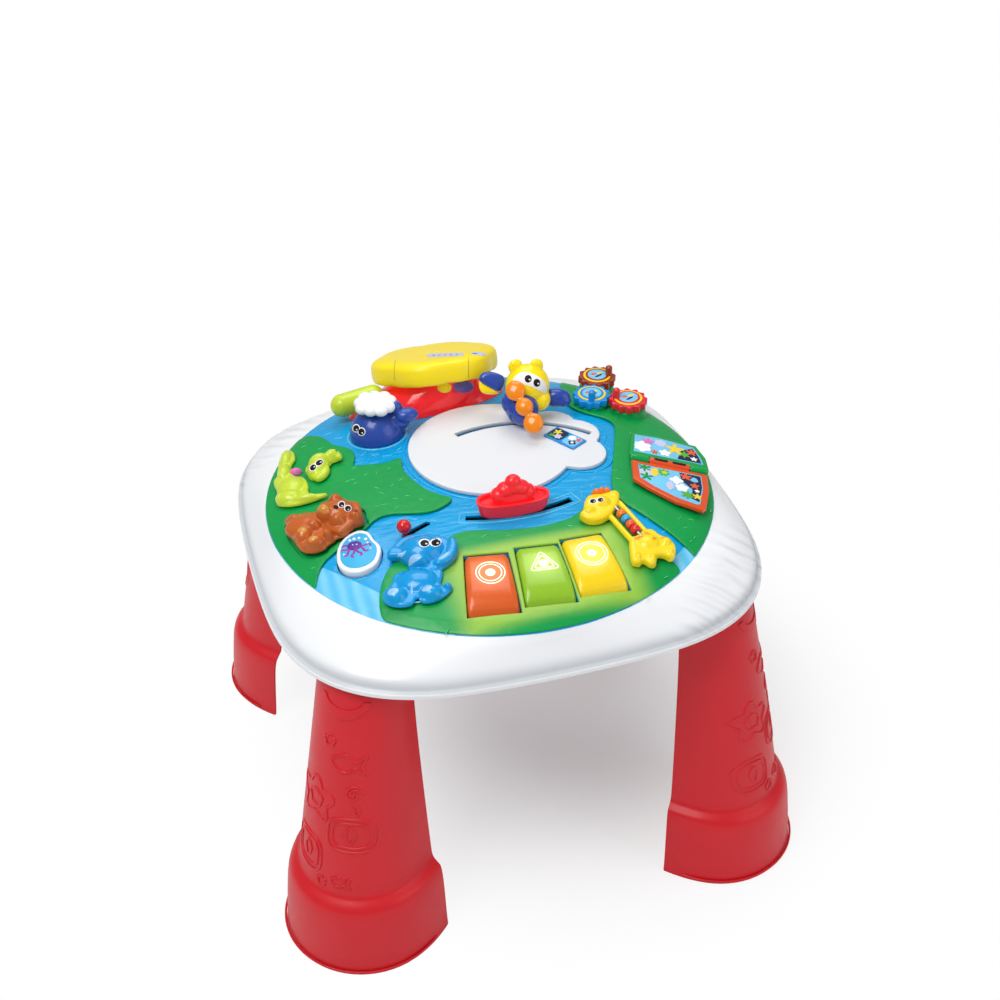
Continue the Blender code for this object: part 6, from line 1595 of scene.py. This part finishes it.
# %% Crocodile
CROC_PLACE_SHARE = (-0.840, 0.275)
CROC_BODY_SHARES = (
    (-0.20, 0.49), (-0.235, 0.30), (-0.215, 0.08), (-0.245, 0.00), (-0.22, -0.11), (-0.18, -0.22),
    (-0.195, -0.31), (-0.14, -0.42), (-0.02, -0.475), (0.14, -0.47), (0.33, -0.41),
    (0.20, -0.365), (0.13, -0.31), (0.115, -0.18), (0.06, -0.05), (-0.02, 0.00), (-0.07, 0.07),
    (-0.09, 0.22), (-0.065, 0.31), (-0.09, 0.43), (-0.14, 0.49),
)
CROC_HEAD_SHARES = (
    (0.065, 0.03), (0.11, 0.15), (0.20, 0.24), (0.31, 0.27), (0.40, 0.20), (0.41, 0.14),
    (0.34, 0.13), (0.29, 0.09), (0.31, -0.02), (0.28, -0.12), (0.20, -0.165), (0.13, -0.08),
)
CROC_BODY_ROWS = (
    (-0.05, -0.19, 0.140, 0.165, 0.108), (-0.05, -0.35, 0.130, 0.100, 0.100),
    (-0.15, 0.10, 0.070, 0.130, 0.092), (-0.155, 0.33, 0.062, 0.150, 0.088),
    (0.10, -0.42, 0.150, 0.048, 0.078),
)
CROC_HEAD_ROWS = (
    (0.19, 0.01, 0.105, 0.130, 0.125), (0.20, 0.11, 0.125, 0.090, 0.140, 35),
    (0.32, 0.185, 0.090, 0.062, 0.115, 15),
)
croc_frame = dome_frame(place(CROC_PLACE_SHARE))
croc_body = sculpt("crocodile_skin", "crocodile_body", croc_frame,
                   ((CROC_BODY_SHARES, 2.0, 7.0, 2.8),), CROC_BODY_ROWS, "lime", seat_on_land,
                   seat_on_land, (), 22)
croc_jaw = sculpt("jaw_skin", "crocodile_jaw", croc_frame, ((CROC_HEAD_SHARES, 2.0, 10.0, 3.6),),
                  CROC_HEAD_ROWS, "lime", seat_on_land, seat_on_land + 0.0003, (), 16)
sculpt("tongue_skin", "crocodile_tongue", croc_frame, (),
       ((-0.040, 0.080, 0.068, 0.036, 0.062, 8),), "tongue", seat_on_land, seat_on_land)
eyes("crocodile_eye", croc_jaw, croc_frame @ Vector((0.0205, -0.0045, 0.016)), 3.5, 3.8, 3.0,
     "jaw", 41)
lenses("nostril", croc_jaw, croc_frame, ((37.5, 19.0, 1.0, 0.7, 30), (34.0, 21.5, 1.0, 0.7, 30)),
       "ink", "jaw", 0.0003)
lenses("crocodile_toe", croc_body, croc_frame, [
    (u, v, 2.2, 1.1, 60) for u, v in ((-17, 2), (-18.5, 4.5), (-16, -32), (-13, -36))
], "lime_pale", "table", 0.0004)
print("crocodile faces:", len(croc_body.data.polygons))

# %% [markdown]
# ## Giraffe and its beads
#
# The giraffe lies across the front right land. Two bars join its head to its body, and a
# steel rod between them carries four beads. The bars are rows of small balls along a line,
# since balls melt into a rod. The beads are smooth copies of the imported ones.

# %% Giraffe and beads
GIRAFFE_PLACE_SHARE = (0.460, -0.590)
GIRAFFE_HEAD_SHARES = (
    (-0.40, 0.16), (-0.435, 0.09), (-0.36, 0.02), (-0.26, 0.03), (-0.16, 0.11), (-0.10, 0.22),
    (-0.065, 0.33), (-0.06, 0.42), (-0.10, 0.45), (-0.15, 0.43), (-0.21, 0.39), (-0.34, 0.35),
    (-0.385, 0.26),
)
GIRAFFE_BODY_SHARES = (
    (-0.01, -0.17), (-0.02, -0.33), (-0.01, -0.47), (0.05, -0.475), (0.09, -0.44),
    (0.15, -0.49), (0.20, -0.44), (0.215, -0.36), (0.27, -0.355), (0.34, -0.38), (0.375, -0.34),
    (0.385, -0.22), (0.33, -0.13), (0.26, -0.10), (0.20, -0.03), (0.12, -0.05), (0.05, -0.13),
)
GIRAFFE_ROWS = (
    (-0.24, 0.26, 0.120, 0.100, 0.130), (-0.345, 0.13, 0.075, 0.060, 0.112, 15),
    (-0.10, 0.38, 0.032, 0.050, 0.095, -20), (0.15, -0.21, 0.135, 0.120, 0.112),
    (0.04, -0.41, 0.040, 0.070, 0.092), (0.165, -0.41, 0.042, 0.070, 0.092),
    (0.30, -0.20, 0.070, 0.080, 0.105), (0.33, -0.32, 0.042, 0.060, 0.092),
)
GIRAFFE_BARS = (
    ((-0.212, 0.220, 0.035), (0.028, -0.215, 0.035), 0.028),
    ((-0.060, 0.310, 0.035), (0.155, -0.080, 0.035), 0.028),
)
giraffe_frame = dome_frame(place(GIRAFFE_PLACE_SHARE))
giraffe = sculpt("giraffe_skin", "giraffe_figure", giraffe_frame,
                 ((GIRAFFE_HEAD_SHARES, 2.0, 12.0, 3.2), (GIRAFFE_BODY_SHARES, 2.0, 10.5, 3.0)),
                 GIRAFFE_ROWS, "giraffe", seat_on_land, seat_on_land, GIRAFFE_BARS, 5)
sculpt("horns_skin", "giraffe_horns", giraffe_frame, (),
       ((-0.27, 0.39, 0.052, 0.046, 0.120), (-0.175, 0.425, 0.048, 0.046, 0.115),
        (-0.225, 0.41, 0.040, 0.040, 0.128)), "orange", seat_on_land, seat_on_land)
eyes("giraffe_eye", giraffe, giraffe_frame @ Vector((-0.0285, 0.0230, 0.0150)), 3.4, 3.1, 2.1,
     "table", 10)
lenses("giraffe_spot", giraffe, giraffe_frame, (
    (14, -11, 3.4, 1.8, -20), (6, -19, 4.4, 2.2, 10), (19, -21, 2.6, 1.8, 40),
    (28, -17, 2.4, 1.6, -10),
), "spot_orange", "table", 0.00035)
lens("giraffe_mouth", giraffe, giraffe_frame, -37, 9.5, 3.2, 0.45, "spot_orange", "table", -32,
     0.0003)

BEAD_FINISH = {"bead_orange": "orange", "bead_blue": "bead_blue", "bead_coral": "coral",
               "bead_red": "bead_red"}
for bead, finish in BEAD_FINISH.items():
    smooth_copy(bead, finish, 2, 50, 0.5)
print("animals made")

# %% [markdown]
# ## Boat's cabin
#
# The hull is already a smooth copy. The cabin on it is a heap of soft rounded blocks, which
# is a few ellipsoids melted together and cut flat where they meet the deck.

# %% Boat cabin
def make_cabin():
    low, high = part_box("boat_cabin")
    centre = (Vector(low) + Vector(high)) / 2
    middle = Matrix.Translation((centre.x, centre.y, low[2])) @ Matrix.Rotation(
        math.radians(-2.3), 4, "Z")
    rows = (
        (0, 0, 4, 20.0, 9.4, 9.0), (-13, 0, 7, 7.5, 8.0, 7.4), (13, 0, 7, 7.5, 8.0, 7.4),
        (-7, 0, 12, 8.4, 8.2, 7.0), (7, 0, 12, 8.4, 8.2, 7.0), (0, 0, 14, 10.5, 8.4, 7.6),
        (0, 0, 19.5, 7.4, 7.0, 6.6),
    )
    bm = bmesh.new()
    for x, y, z, long, wide, tall in rows:
        add_blob(bm, middle @ Matrix.Translation((x * MM, y * MM, z * MM)),
                 (long * MM, wide * MM, tall * MM))
    bm = melted(bm, 0.0006, 10)
    flat_seat(bm, middle, 0)
    piece("cabin_skin", bm, "boat_red", "boat", ("boat_cabin",), 60)


make_cabin()

# %% [markdown]
# ## Aeroplane
#
# The aeroplane is a round yellow head over a blue belly with stub wings. Its face looks
# towards the camera, so its wings and stickers lie across the line of sight. The white round
# its eyes is a sticker of its own. The propeller is a bow of orange balls on a nose.

# %% Aeroplane
def melt_ellipsoids(name, nodes, rows, finish, body, heading=0.0, smoothing=6):
    bm = bmesh.new()
    turn = Matrix.Rotation(math.radians(heading), 4, "Z")
    for centre, size in rows:
        add_blob(bm, Matrix.Translation(centre) @ turn, size, 32, 20)
    return piece(name, melted(bm, 0.0007, smoothing), finish, body, nodes, 60)


PLANE_HEAD = Vector((0.063, 0.083, 0.380))
plane_head = melt_ellipsoids("plane_skin", ("plane_body",), (
    (PLANE_HEAD, (0.0218, 0.0193, 0.0222)),
    (Vector((0.0525, 0.0885, 0.4005)), (0.0072, 0.0042, 0.0075)),
    (Vector((0.072, 0.084, 0.3995)), (0.0070, 0.0042, 0.0082)),
    (Vector((0.0715, 0.0735, 0.3690)), (0.0115, 0.0110, 0.0115)),
), "plane_yellow", "plane")
WING_SHARES = (
    (-15.5, 6.5), (-12.0, 11.5), (-3.0, 12.5), (8.5, 8.0), (9.0, 1.0), (4.0, -7.0), (-6.0, -2.5),
    (-13.5, 2.0),
)
WING_UNDER_SHARES = (
    (-15.5, 4.5), (-6.0, -1.0), (4.0, -6.5), (1.5, -9.5), (-10.0, -9.5), (-15.5, -5.0),
)


def make_wing(name, nodes, centre, loop, finish, deep):
    """A wing as a soft plate that faces the camera, thick enough to hold."""
    face = facing_frame(centre)
    outline = even_loop(smooth_loop([Vector(point) * MM for point in loop], 6), 0.0010, 3)
    bm = plate_mesh([outline], -deep, deep, deep * 0.8)
    bmesh.ops.transform(bm, matrix=face, verts=bm.verts)
    return piece(name, melted(bm, 0.0006, 6), finish, "plane", nodes, 60)


make_wing("wing_left_skin", ("plane_wing_left",), Vector((0.0335, 0.0945, 0.3800)), WING_SHARES,
          "plane_blue", 0.0052)
make_wing("wing_left_under", (), Vector((0.0350, 0.0975, 0.3785)), WING_UNDER_SHARES,
          "plane_yellow", 0.0048)
melt_ellipsoids("wing_right_skin", ("plane_wing_right",),
                ((Vector((0.0900, 0.0760, 0.3660)), (0.0145, 0.0080, 0.0095)),
                 (Vector((0.0960, 0.0725, 0.3640)), (0.0080, 0.0075, 0.0065))), "plane_blue",
                "plane", -20)
low, high = (Vector(corner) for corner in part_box("plane_belly"))
belly, half = (low + high) / 2, (high - low) / 2
melt_ellipsoids("plane_belly_skin", ("plane_belly",), (
    (belly, tuple(half)),
    (belly + Vector((-0.0075, 0.0020, 0.0050)), (0.0115, 0.0100, 0.0125)),
), "plane_blue", "plane")
face = facing_frame(PLANE_HEAD)
MASK_SHARES = (
    (-14.5, 4.5), (-9.5, 10.0), (-3.0, 12.0), (6.0, 9.5), (16.5, 3.0), (18.5, -2.5),
    (18.0, -7.5), (12.0, -6.5), (4.7, -3.0), (-3.0, -0.5), (-9.0, 1.0),
)
sticker("plane_mask", plane_head, face, even_loop(smooth_loop(MASK_SHARES, 6), 0.9), "eye_white",
        "plane", 0.0004)
for i, (u, v) in enumerate(((0.2, 5.1), (8.6, 1.4))):
    lens(f"plane_pupil_{i}", plane_head, face, u, v, 3.5, 3.9, "ink", "plane", 0, 0.0014)
    lens(f"plane_shine_{i}", plane_head, face, u + 1.3, v - 0.8, 1.2, 1.0, "eye_white", "plane",
         0, 0.0022)


def make_propeller():
    hub = Vector((0.0495, 0.0500, 0.3780))
    nose = Vector((-0.33, -0.66, 0.67)).normalized()
    blade = Vector((0.264, -0.750, -0.610))
    blade = (blade - nose * blade.dot(nose)).normalized()
    matrix = Matrix((blade, nose.cross(blade), nose)).transposed().to_4x4()
    matrix.translation = hub
    bm = bmesh.new()
    for x, *size in ((-18, 10, 9.6, 4.4), (18, 10, 9.6, 4.4), (0, 9.0, 8.6, 5.8)):
        add_blob(bm, matrix @ Matrix.Translation((x * MM, 0, 0)), [value * MM for value in size])
    add_blob(bm, matrix, (0.014, 0.0048, 0.0034))
    piece("propeller_skin", melted(bm, 0.0006, 5), "propeller", "propeller",
          ("plane_propeller",), 60)


make_propeller()
print("aeroplane's head:", [round(value / MM) for value in PLANE_HEAD])

# %% [markdown]
# ## Whale and spout
#
# The whale is a smooth dome with a tail that curls up behind it, cut flat where it sits in
# the water. Its white spout turns on a post. It is two rings of small balls melted together,
# and a sine gives each outer ball another size, so that the spout looks like foam.

# %% Whale
def make_whale():
    matrix = dome_frame(WHALE_PLACE, 0)
    bm = bmesh.new()
    add_blob(bm, matrix @ Matrix.Translation((0, 0, SEAT_GAP)), (0.0262, 0.0262, 0.0285), 48, 32)
    add_blob(bm, Matrix.Translation((-0.0660, 0.0950, 0.3570)), (0.0140, 0.0100, 0.0110))
    add_blob(bm, Matrix.Translation((-0.0560, 0.0905, 0.3648)), (0.0115, 0.0085, 0.0070))
    add_blob(bm, Matrix.Translation((-0.0655, 0.0950, 0.3712)), (0.0068, 0.0062, 0.0080))
    post = bmesh.ops.create_cone(bm, cap_ends=True, segments=16, radius1=0.003, radius2=0.003,
                                 depth=0.02)
    bmesh.ops.translate(bm, verts=post["verts"], vec=(*WHALE_PLACE, 0.3695))
    bm = melted(bm, 0.0008, 4)
    flat_seat(bm, matrix, SEAT_GAP)
    whale = piece("whale_skin", bm, "whale_blue", "table", ("whale_body",), 60)
    look = facing_frame(Vector((*WHALE_PLACE, 0.352)))
    eyes("whale_eye", whale, look @ Vector((-0.0158, -0.0048, 0)), 3.3, 3.9, 3.7, "table", -32)


make_whale()

# %% Spout
SPOUT_HEIGHT = 0.3775


def make_spout():
    bm = bmesh.new()
    for i in range(9):
        swell = 1 + 0.14 * math.sin(3.1 * i)
        spot = WHALE_PLACE + 0.0140 * direction(math.tau * i / 9)
        add_blob(bm, Matrix.Translation((*spot, SPOUT_HEIGHT - 0.0006 * (i % 3))),
                 (0.0070 * swell, 0.0070 * swell, 0.0054))
    for i in range(5):
        spot = WHALE_PLACE + 0.0075 * direction(math.tau * (i + 0.4) / 5)
        add_blob(bm, Matrix.Translation((*spot, SPOUT_HEIGHT + 0.0016)), (0.0072, 0.0072, 0.0046))
    add_blob(bm, Matrix.Translation((*WHALE_PLACE, SPOUT_HEIGHT)), (0.016, 0.016, 0.0045))
    piece("spout_skin", melted(bm, 0.0006, 2), "spout_white", "spout", ("whale_spout",), 60)


make_spout()
print("spout height:", SPOUT_HEIGHT)

# %% [markdown]
# ## Details of the cap and its base
#
# The yellow cap has two pale label recesses and thin seams between its panels, and coloured
# shapes show on the translucent base below it. The labels here carry only coloured dots. All
# of them are dropped onto the smooth copies along the line of sight.

# %% Details of the cap and its base
CAP_CENTRE = Vector((-0.008, 0.169, 0.370))


def strip_loop(u, v, long, wide):
    return rounded_square(u, v, long, wide, 5.0, 40)


def detail_cap():
    """Two bare label recesses, the panels' seams, and the parts seen under the cap."""
    cap = bpy.data.objects["turn_cap_skin"]
    base = bpy.data.objects["stage_base_skin"]
    face = facing_frame(CAP_CENTRE)
    labels = ((12, 5.4, 18.5, 2.8, -0.02), (45, 6.0, 7.0, 2.0, -0.05))
    for i, (u, v, long, wide, turn) in enumerate(labels):
        loop = [(x, y + (x - u) * turn) for x, y in strip_loop(u, v, long, wide)]
        sticker(f"cap_label_{i}", cap, face, loop, "lilac", "cap", 0.0006)
        for k in range(5 if i == 0 else 2):
            spot = u - long * 0.62 + k * long * 0.31
            lens(f"cap_print_{i}_{k}", cap, face, spot, v, 1.9, 1.1,
                 ("violet", "bead_blue", "coral")[k % 3], "cap", 20 * k, 0.0009)
    seams = [[Vector((u, v)) * MM for v in range(-21, 3, 2)] for u in (35.5, -37.0)]
    bm = line_mesh(seams, 0.0009, 0.0003, False)
    drop_on(bm, cap, face)
    piece("cap_seams", bm, "panel_line", "cap")
    lens("stage_tab", base, face, 11.5, -27.5, 7.0, 5.0, "cap_yellow", "table", 0, 0.0022)
    lens("stage_arch", base, face, 30.0, -25.5, 10.0, 6.0, "violet", "table", 8, 0.0020)


detail_cap()
print("cap centre:", [round(value / MM) for value in CAP_CENTRE])

# %% [markdown]
# ## Lime handle
#
# A lime bar with round ends comes out from under the cap at the left. It is nine balls in a
# row, melted into one soft bar.

# %% Lime handle
def make_handle():
    start, end = HANDLE_ENDS
    bm = bmesh.new()
    for i in range(9):
        add_blob(bm, Matrix.Translation(start.lerp(end, i / 8)), (HANDLE_RADIUS,) * 3)
    piece("handle_skin", melted(bm, 0.0009, 4), "lime", "table", ("lime_handle",), 60)


HANDLE_ENDS = Vector((-0.1080, 0.1480, 0.3510)), Vector((-0.0760, 0.1530, 0.3530))
HANDLE_RADIUS = 0.0116
make_handle()
print("handle radius:", HANDLE_RADIUS)

# %% [markdown]
# ## Gears
#
# Each gear's outline is the pitch circle with a cosine wave, because a wave gives rounded
# teeth that roll on each other, and the curve's bevel rounds their edges. A printed disc and
# a peg sit on top. The peg stands off the middle, so the gear can be turned by it.

# %% Gears
GEAR_TOOTH = 0.0028
GEAR_BACKLASH = 0.0006
GEAR_THICKNESS = 0.0075
GEAR_PEG_REACH = 0.0118
GEAR_PEGS = {"gear_blue": 250.0, "gear_brown": -15.0, "gear_red": 160.0}


def make_gear(name, centre, phase):
    loop = []
    for i in range(GEAR_TEETH * 10):
        angle = math.tau * i / (GEAR_TEETH * 10)
        wave = math.cos(GEAR_TEETH * (angle - phase))
        reach = GEAR_PITCH_RADIUS - GEAR_BACKLASH + GEAR_TOOTH / 2 * wave
        loop.append(reach * direction(angle))
    base = Matrix.Translation((centre.x, centre.y, HILL_TOP + FIT_GAP))
    bm = plate_mesh([loop], 0, GEAR_THICKNESS, 0.0008)
    bmesh.ops.transform(bm, matrix=base, verts=bm.verts)
    peg = direction(math.radians(GEAR_PEGS[name])) * GEAR_PEG_REACH
    body = body_of_node(name)
    piece(name + "_skin", bm, name, body, (name,), 50)
    top = base @ Matrix.Translation((0, 0, GEAR_THICKNESS))
    for finish, radius, high in (("sun_yellow", 0.0140, 0.0007), (name, 0.0118, 0.0011),
                                 ("sky", 0.0095, 0.0014)):
        disc = plate_mesh([circle_loop(Vector((0, 0)), radius)], 0, high, 0.0002)
        bmesh.ops.transform(disc, matrix=top, verts=disc.verts)
        piece(f"{name}_{finish}_disc", disc, finish, body)
    bm = bmesh.new()
    tall = top @ Matrix.Translation((*peg, 0))
    for i in range(8):
        add_blob(bm, tall @ Matrix.Translation((0, 0, 0.0012 * i)), (0.0036, 0.0036, 0.0028))
    piece(name + "_peg", melted(bm, 0.0006, 3), name, body)
    face = bpy.data.objects[f"{name}_sky_disc"]
    for i, (u, v, long, wide, finish) in enumerate((
        (-3.5, 1.5, 3.2, 2.2, "coral"), (3.5, 2.0, 3.4, 1.6, "sun_yellow"),
        (0.5, -3.0, 4.8, 1.4, "night"),
    )):
        lens(f"{name}_print_{i}", face, top, u, v, long, wide, finish, body, 12 * i, 0.0003)


for row in gear_data():
    make_gear(*row)

# %% [markdown]
# ## Book
#
# The book lies on the right-hand land. Its page has an orange frame around a picture, its
# cover is green, and a steel pin joins them. The pictures here are plain scenery of our
# own: flowers, leaves, clouds and a night sky, each a thin sticker above the last.

# %% Book
BOOK_PLACE_SHARE = (0.815, -0.175)
BOOK_HEADING = -21.0
BOOK_PAGE_SHARES = (
    (-0.36, -0.045), (-0.19, -0.045), (-0.185, -0.02), (0.185, -0.02), (0.19, -0.045),
    (0.36, -0.045), (0.37, -0.30), (0.33, -0.62), (0.30, -0.66), (0.05, -0.60), (-0.20, -0.46),
    (-0.34, -0.36),
)
BOOK_COVER_SHARES = (
    (-0.38, 0.07), (-0.36, 0.02), (-0.20, 0.02), (-0.195, 0.07), (0.195, 0.07), (0.20, 0.02),
    (0.36, 0.02), (0.38, 0.07), (0.36, 0.24), (0.27, 0.43), (-0.10, 0.47), (-0.36, 0.45),
)
BOOK_PICTURE_SHARES = {
    "book_page": ((-0.30, -0.10), (0.30, -0.10), (0.31, -0.30), (0.275, -0.575), (0.24, -0.59),
                  (0.06, -0.54), (-0.16, -0.42), (-0.28, -0.32)),
    "book_cover": ((-0.34, 0.11), (0.33, 0.11), (0.31, 0.22), (0.24, 0.39), (-0.10, 0.43),
                   (-0.33, 0.415)),
}
BOOK_KNUCKLE_RADIUS = 0.0036
BOOK_SEAT = 0.0036
BOOK_THICKNESS = 0.0040
BOOK_HINGE_HEIGHT = 0.0072


def make_knuckle(name, matrix, start, end, finish, body):
    """A housing of the hinge: a bar around the pin with eased ends."""
    bm = bmesh.new()
    bmesh.ops.create_cone(bm, cap_ends=True, segments=32, radius1=BOOK_KNUCKLE_RADIUS,
                          radius2=BOOK_KNUCKLE_RADIUS, depth=(end - start) * FIGURE_SPAN)
    ends = [edge for edge in bm.edges if edge.calc_face_angle(0) > math.radians(60)]
    bmesh.ops.bevel(bm, geom=ends, offset=0.0010, segments=3, profile=0.5, material=-1,
                    affect="EDGES")
    middle = Matrix.Translation(((start + end) / 2 * FIGURE_SPAN, 0, BOOK_HINGE_HEIGHT))
    bmesh.ops.transform(bm, matrix=matrix @ middle @ Matrix.Rotation(math.radians(90), 4, "Y"),
                        verts=bm.verts)
    return piece(name, bm, finish, body)


def make_book():
    matrix = dome_frame(place(BOOK_PLACE_SHARE), BOOK_HEADING)
    top = BOOK_SEAT + BOOK_THICKNESS
    for name, shares, finish, body in (
        ("book_page", BOOK_PAGE_SHARES, "book_orange", "page"),
        ("book_cover", BOOK_COVER_SHARES, "cover_green", "table"),
    ):
        points = [place(pair, FIGURE_SPAN) for pair in shares]
        bm = plate_mesh([points], BOOK_SEAT, top, 0.0008)
        bmesh.ops.transform(bm, matrix=matrix, verts=bm.verts)
        piece(name + "_skin", bm, finish, body, (name,))
        inner = [place(pair, FIGURE_SPAN) for pair in BOOK_PICTURE_SHARES[name]]
        picture = plate_mesh([inner], top - 0.0002, top + 0.0004, 0.0002)
        bmesh.ops.transform(picture, matrix=matrix, verts=picture.verts)
        sheet = piece(name + "_picture", picture, "sky", body)
        draw_scenery(name, sheet, matrix, body, 1 if name == "book_page" else -1)
    make_knuckle("cover_knuckle_0", matrix, -0.37, -0.198, "cover_green", "table")
    make_knuckle("cover_knuckle_1", matrix, 0.198, 0.37, "cover_green", "table")
    spine = make_knuckle("page_knuckle", matrix, -0.19, 0.19, "book_orange", "page")
    for i, u in enumerate((-8.6, 8.6)):
        sticker(f"page_window_{i}", spine, matrix, strip_loop(u, 0, 6.6, 1.9), "dark", "page")


def draw_prints(name, target, matrix, rows, body):
    """Stickers one above the other. Each row is a finish and an outline in millimetres."""
    for i, (finish, loop) in enumerate(rows):
        sticker(f"{name}_{i}", target, matrix, loop, finish, body, 0.00020 + 0.00004 * i)


def draw_scenery(name, sheet, matrix, body, side):
    """Printed scenery of our own: ferns, clouds, stones, flowers and a night sky."""
    if side > 0:
        rows = (
            ("night", [(9, -11.5), (29, -11.5), (30, -30), (26.5, -55), (19, -51), (21, -36),
                       (11, -25)]),
            ("lilac", flower_loop(-22, -22, 7.5, 9, 0.10)),
            ("land_green", flower_loop(-24, -15, 4.6, 6, 0.5)),
            ("land_green", flower_loop(-22, -29, 4.4, 5, 0.5)),
            ("sun_yellow", curve_loop(-14, -20, LEAF_SHARES, 7.5)),
            ("hill", flower_loop(-6, -17, 5.0, 7, 0.22)),
            ("lime", flower_loop(-5, -17, 2.6, 5, 0.2)),
            ("eye_white", flower_loop(6, -26, 5.6, 4, 0.2)),
            ("eye_white", flower_loop(11, -37, 5.8, 5, 0.14)),
            ("lilac", curve_loop(0, -38, LEAF_SHARES, 8)),
            ("coral", flower_loop(15, -17, 4.2, 5, 0.4)),
            ("coral", flower_loop(23, -30, 3.4, 5, 0.4)),
            ("sky", flower_loop(23, -20, 3.6, 3, 0.1)),
            ("hill", flower_loop(16, -47, 4.6, 6, 0.4)),
            ("sun_yellow", flower_loop(25, -47, 3.4, 5, 0.4)),
            ("eye_white", flower_loop(25, -38, 2.0, 5, 0.3)),
        )
    else:
        rows = (
            ("night", [(8, 12), (31, 12), (29, 22), (23, 36), (12, 28)]),
            ("eye_white", flower_loop(-26, 22, 8.5, 6, 0.12)),
            ("tongue", flower_loop(-20, 33, 4.6, 5, 0.3)),
            ("lilac", flower_loop(-8, 34, 5.6, 7, 0.12)),
            ("eye_white", flower_loop(-4, 18, 5.0, 5, 0.2)),
            ("sun_yellow", flower_loop(6, 28, 6.4, 5, 0.45)),
            ("hill", flower_loop(15, 22, 4.2, 6, 0.4)),
            ("coral", flower_loop(22, 28, 4.0, 5, 0.4)),
            ("eye_white", flower_loop(24, 17, 2.8, 5, 0.3)),
            ("coral", flower_loop(-14, 16, 2.6, 5, 0.4)),
        )
    draw_prints(name + "_print", sheet, matrix, rows, body)


make_book()
print("book pictures:", len(BOOK_PICTURE_SHARES))

# %% [markdown]
# ## Strip on the cloud
#
# A small blue plate lies on the cloud, with a printed strip of our own: flowers on a day
# half and a night half. It is made like the book's pictures.

# %% Strip on the cloud
def make_cloud_strip():
    matrix = dome_frame(place((0.415, 0.140)), -58.0)
    half_long, half_wide = 0.018, 0.010
    low = POND_HEIGHT + FIT_GAP
    loop = [Vector(p) for p in ((-half_long, -half_wide), (half_long, -half_wide),
                                (half_long, half_wide), (-half_long, half_wide))]
    bm = plate_mesh([loop], low, low + 0.0016, 0.0003)
    bmesh.ops.transform(bm, matrix=matrix, verts=bm.verts)
    strip = piece("cloud_strip", bm, "gear_blue", "table", ("cloud_window",))
    draw_prints("strip_print", strip, matrix, (
        ("night", strip_loop(-8.5, 0, 8.2, 8.6)), ("sky", strip_loop(9, 0, 7.6, 8.6)),
        ("sun_yellow", flower_loop(-11, 3, 3.4, 5, 0.4)),
        ("lilac", flower_loop(-6, -3.5, 3.6, 6, 0.2)),
        ("hill", flower_loop(-12, -5, 2.6, 6, 0.4)),
        ("eye_white", flower_loop(6, 3.5, 3.8, 5, 0.15)),
        ("night", flower_loop(11, -3, 3.6, 4, 0.15)), ("coral", flower_loop(13, 4.5, 2.6, 5, 0.4)),
        ("eye_white", flower_loop(11, -3, 1.6, 5, 0.2)),
    ), "table")


make_cloud_strip()
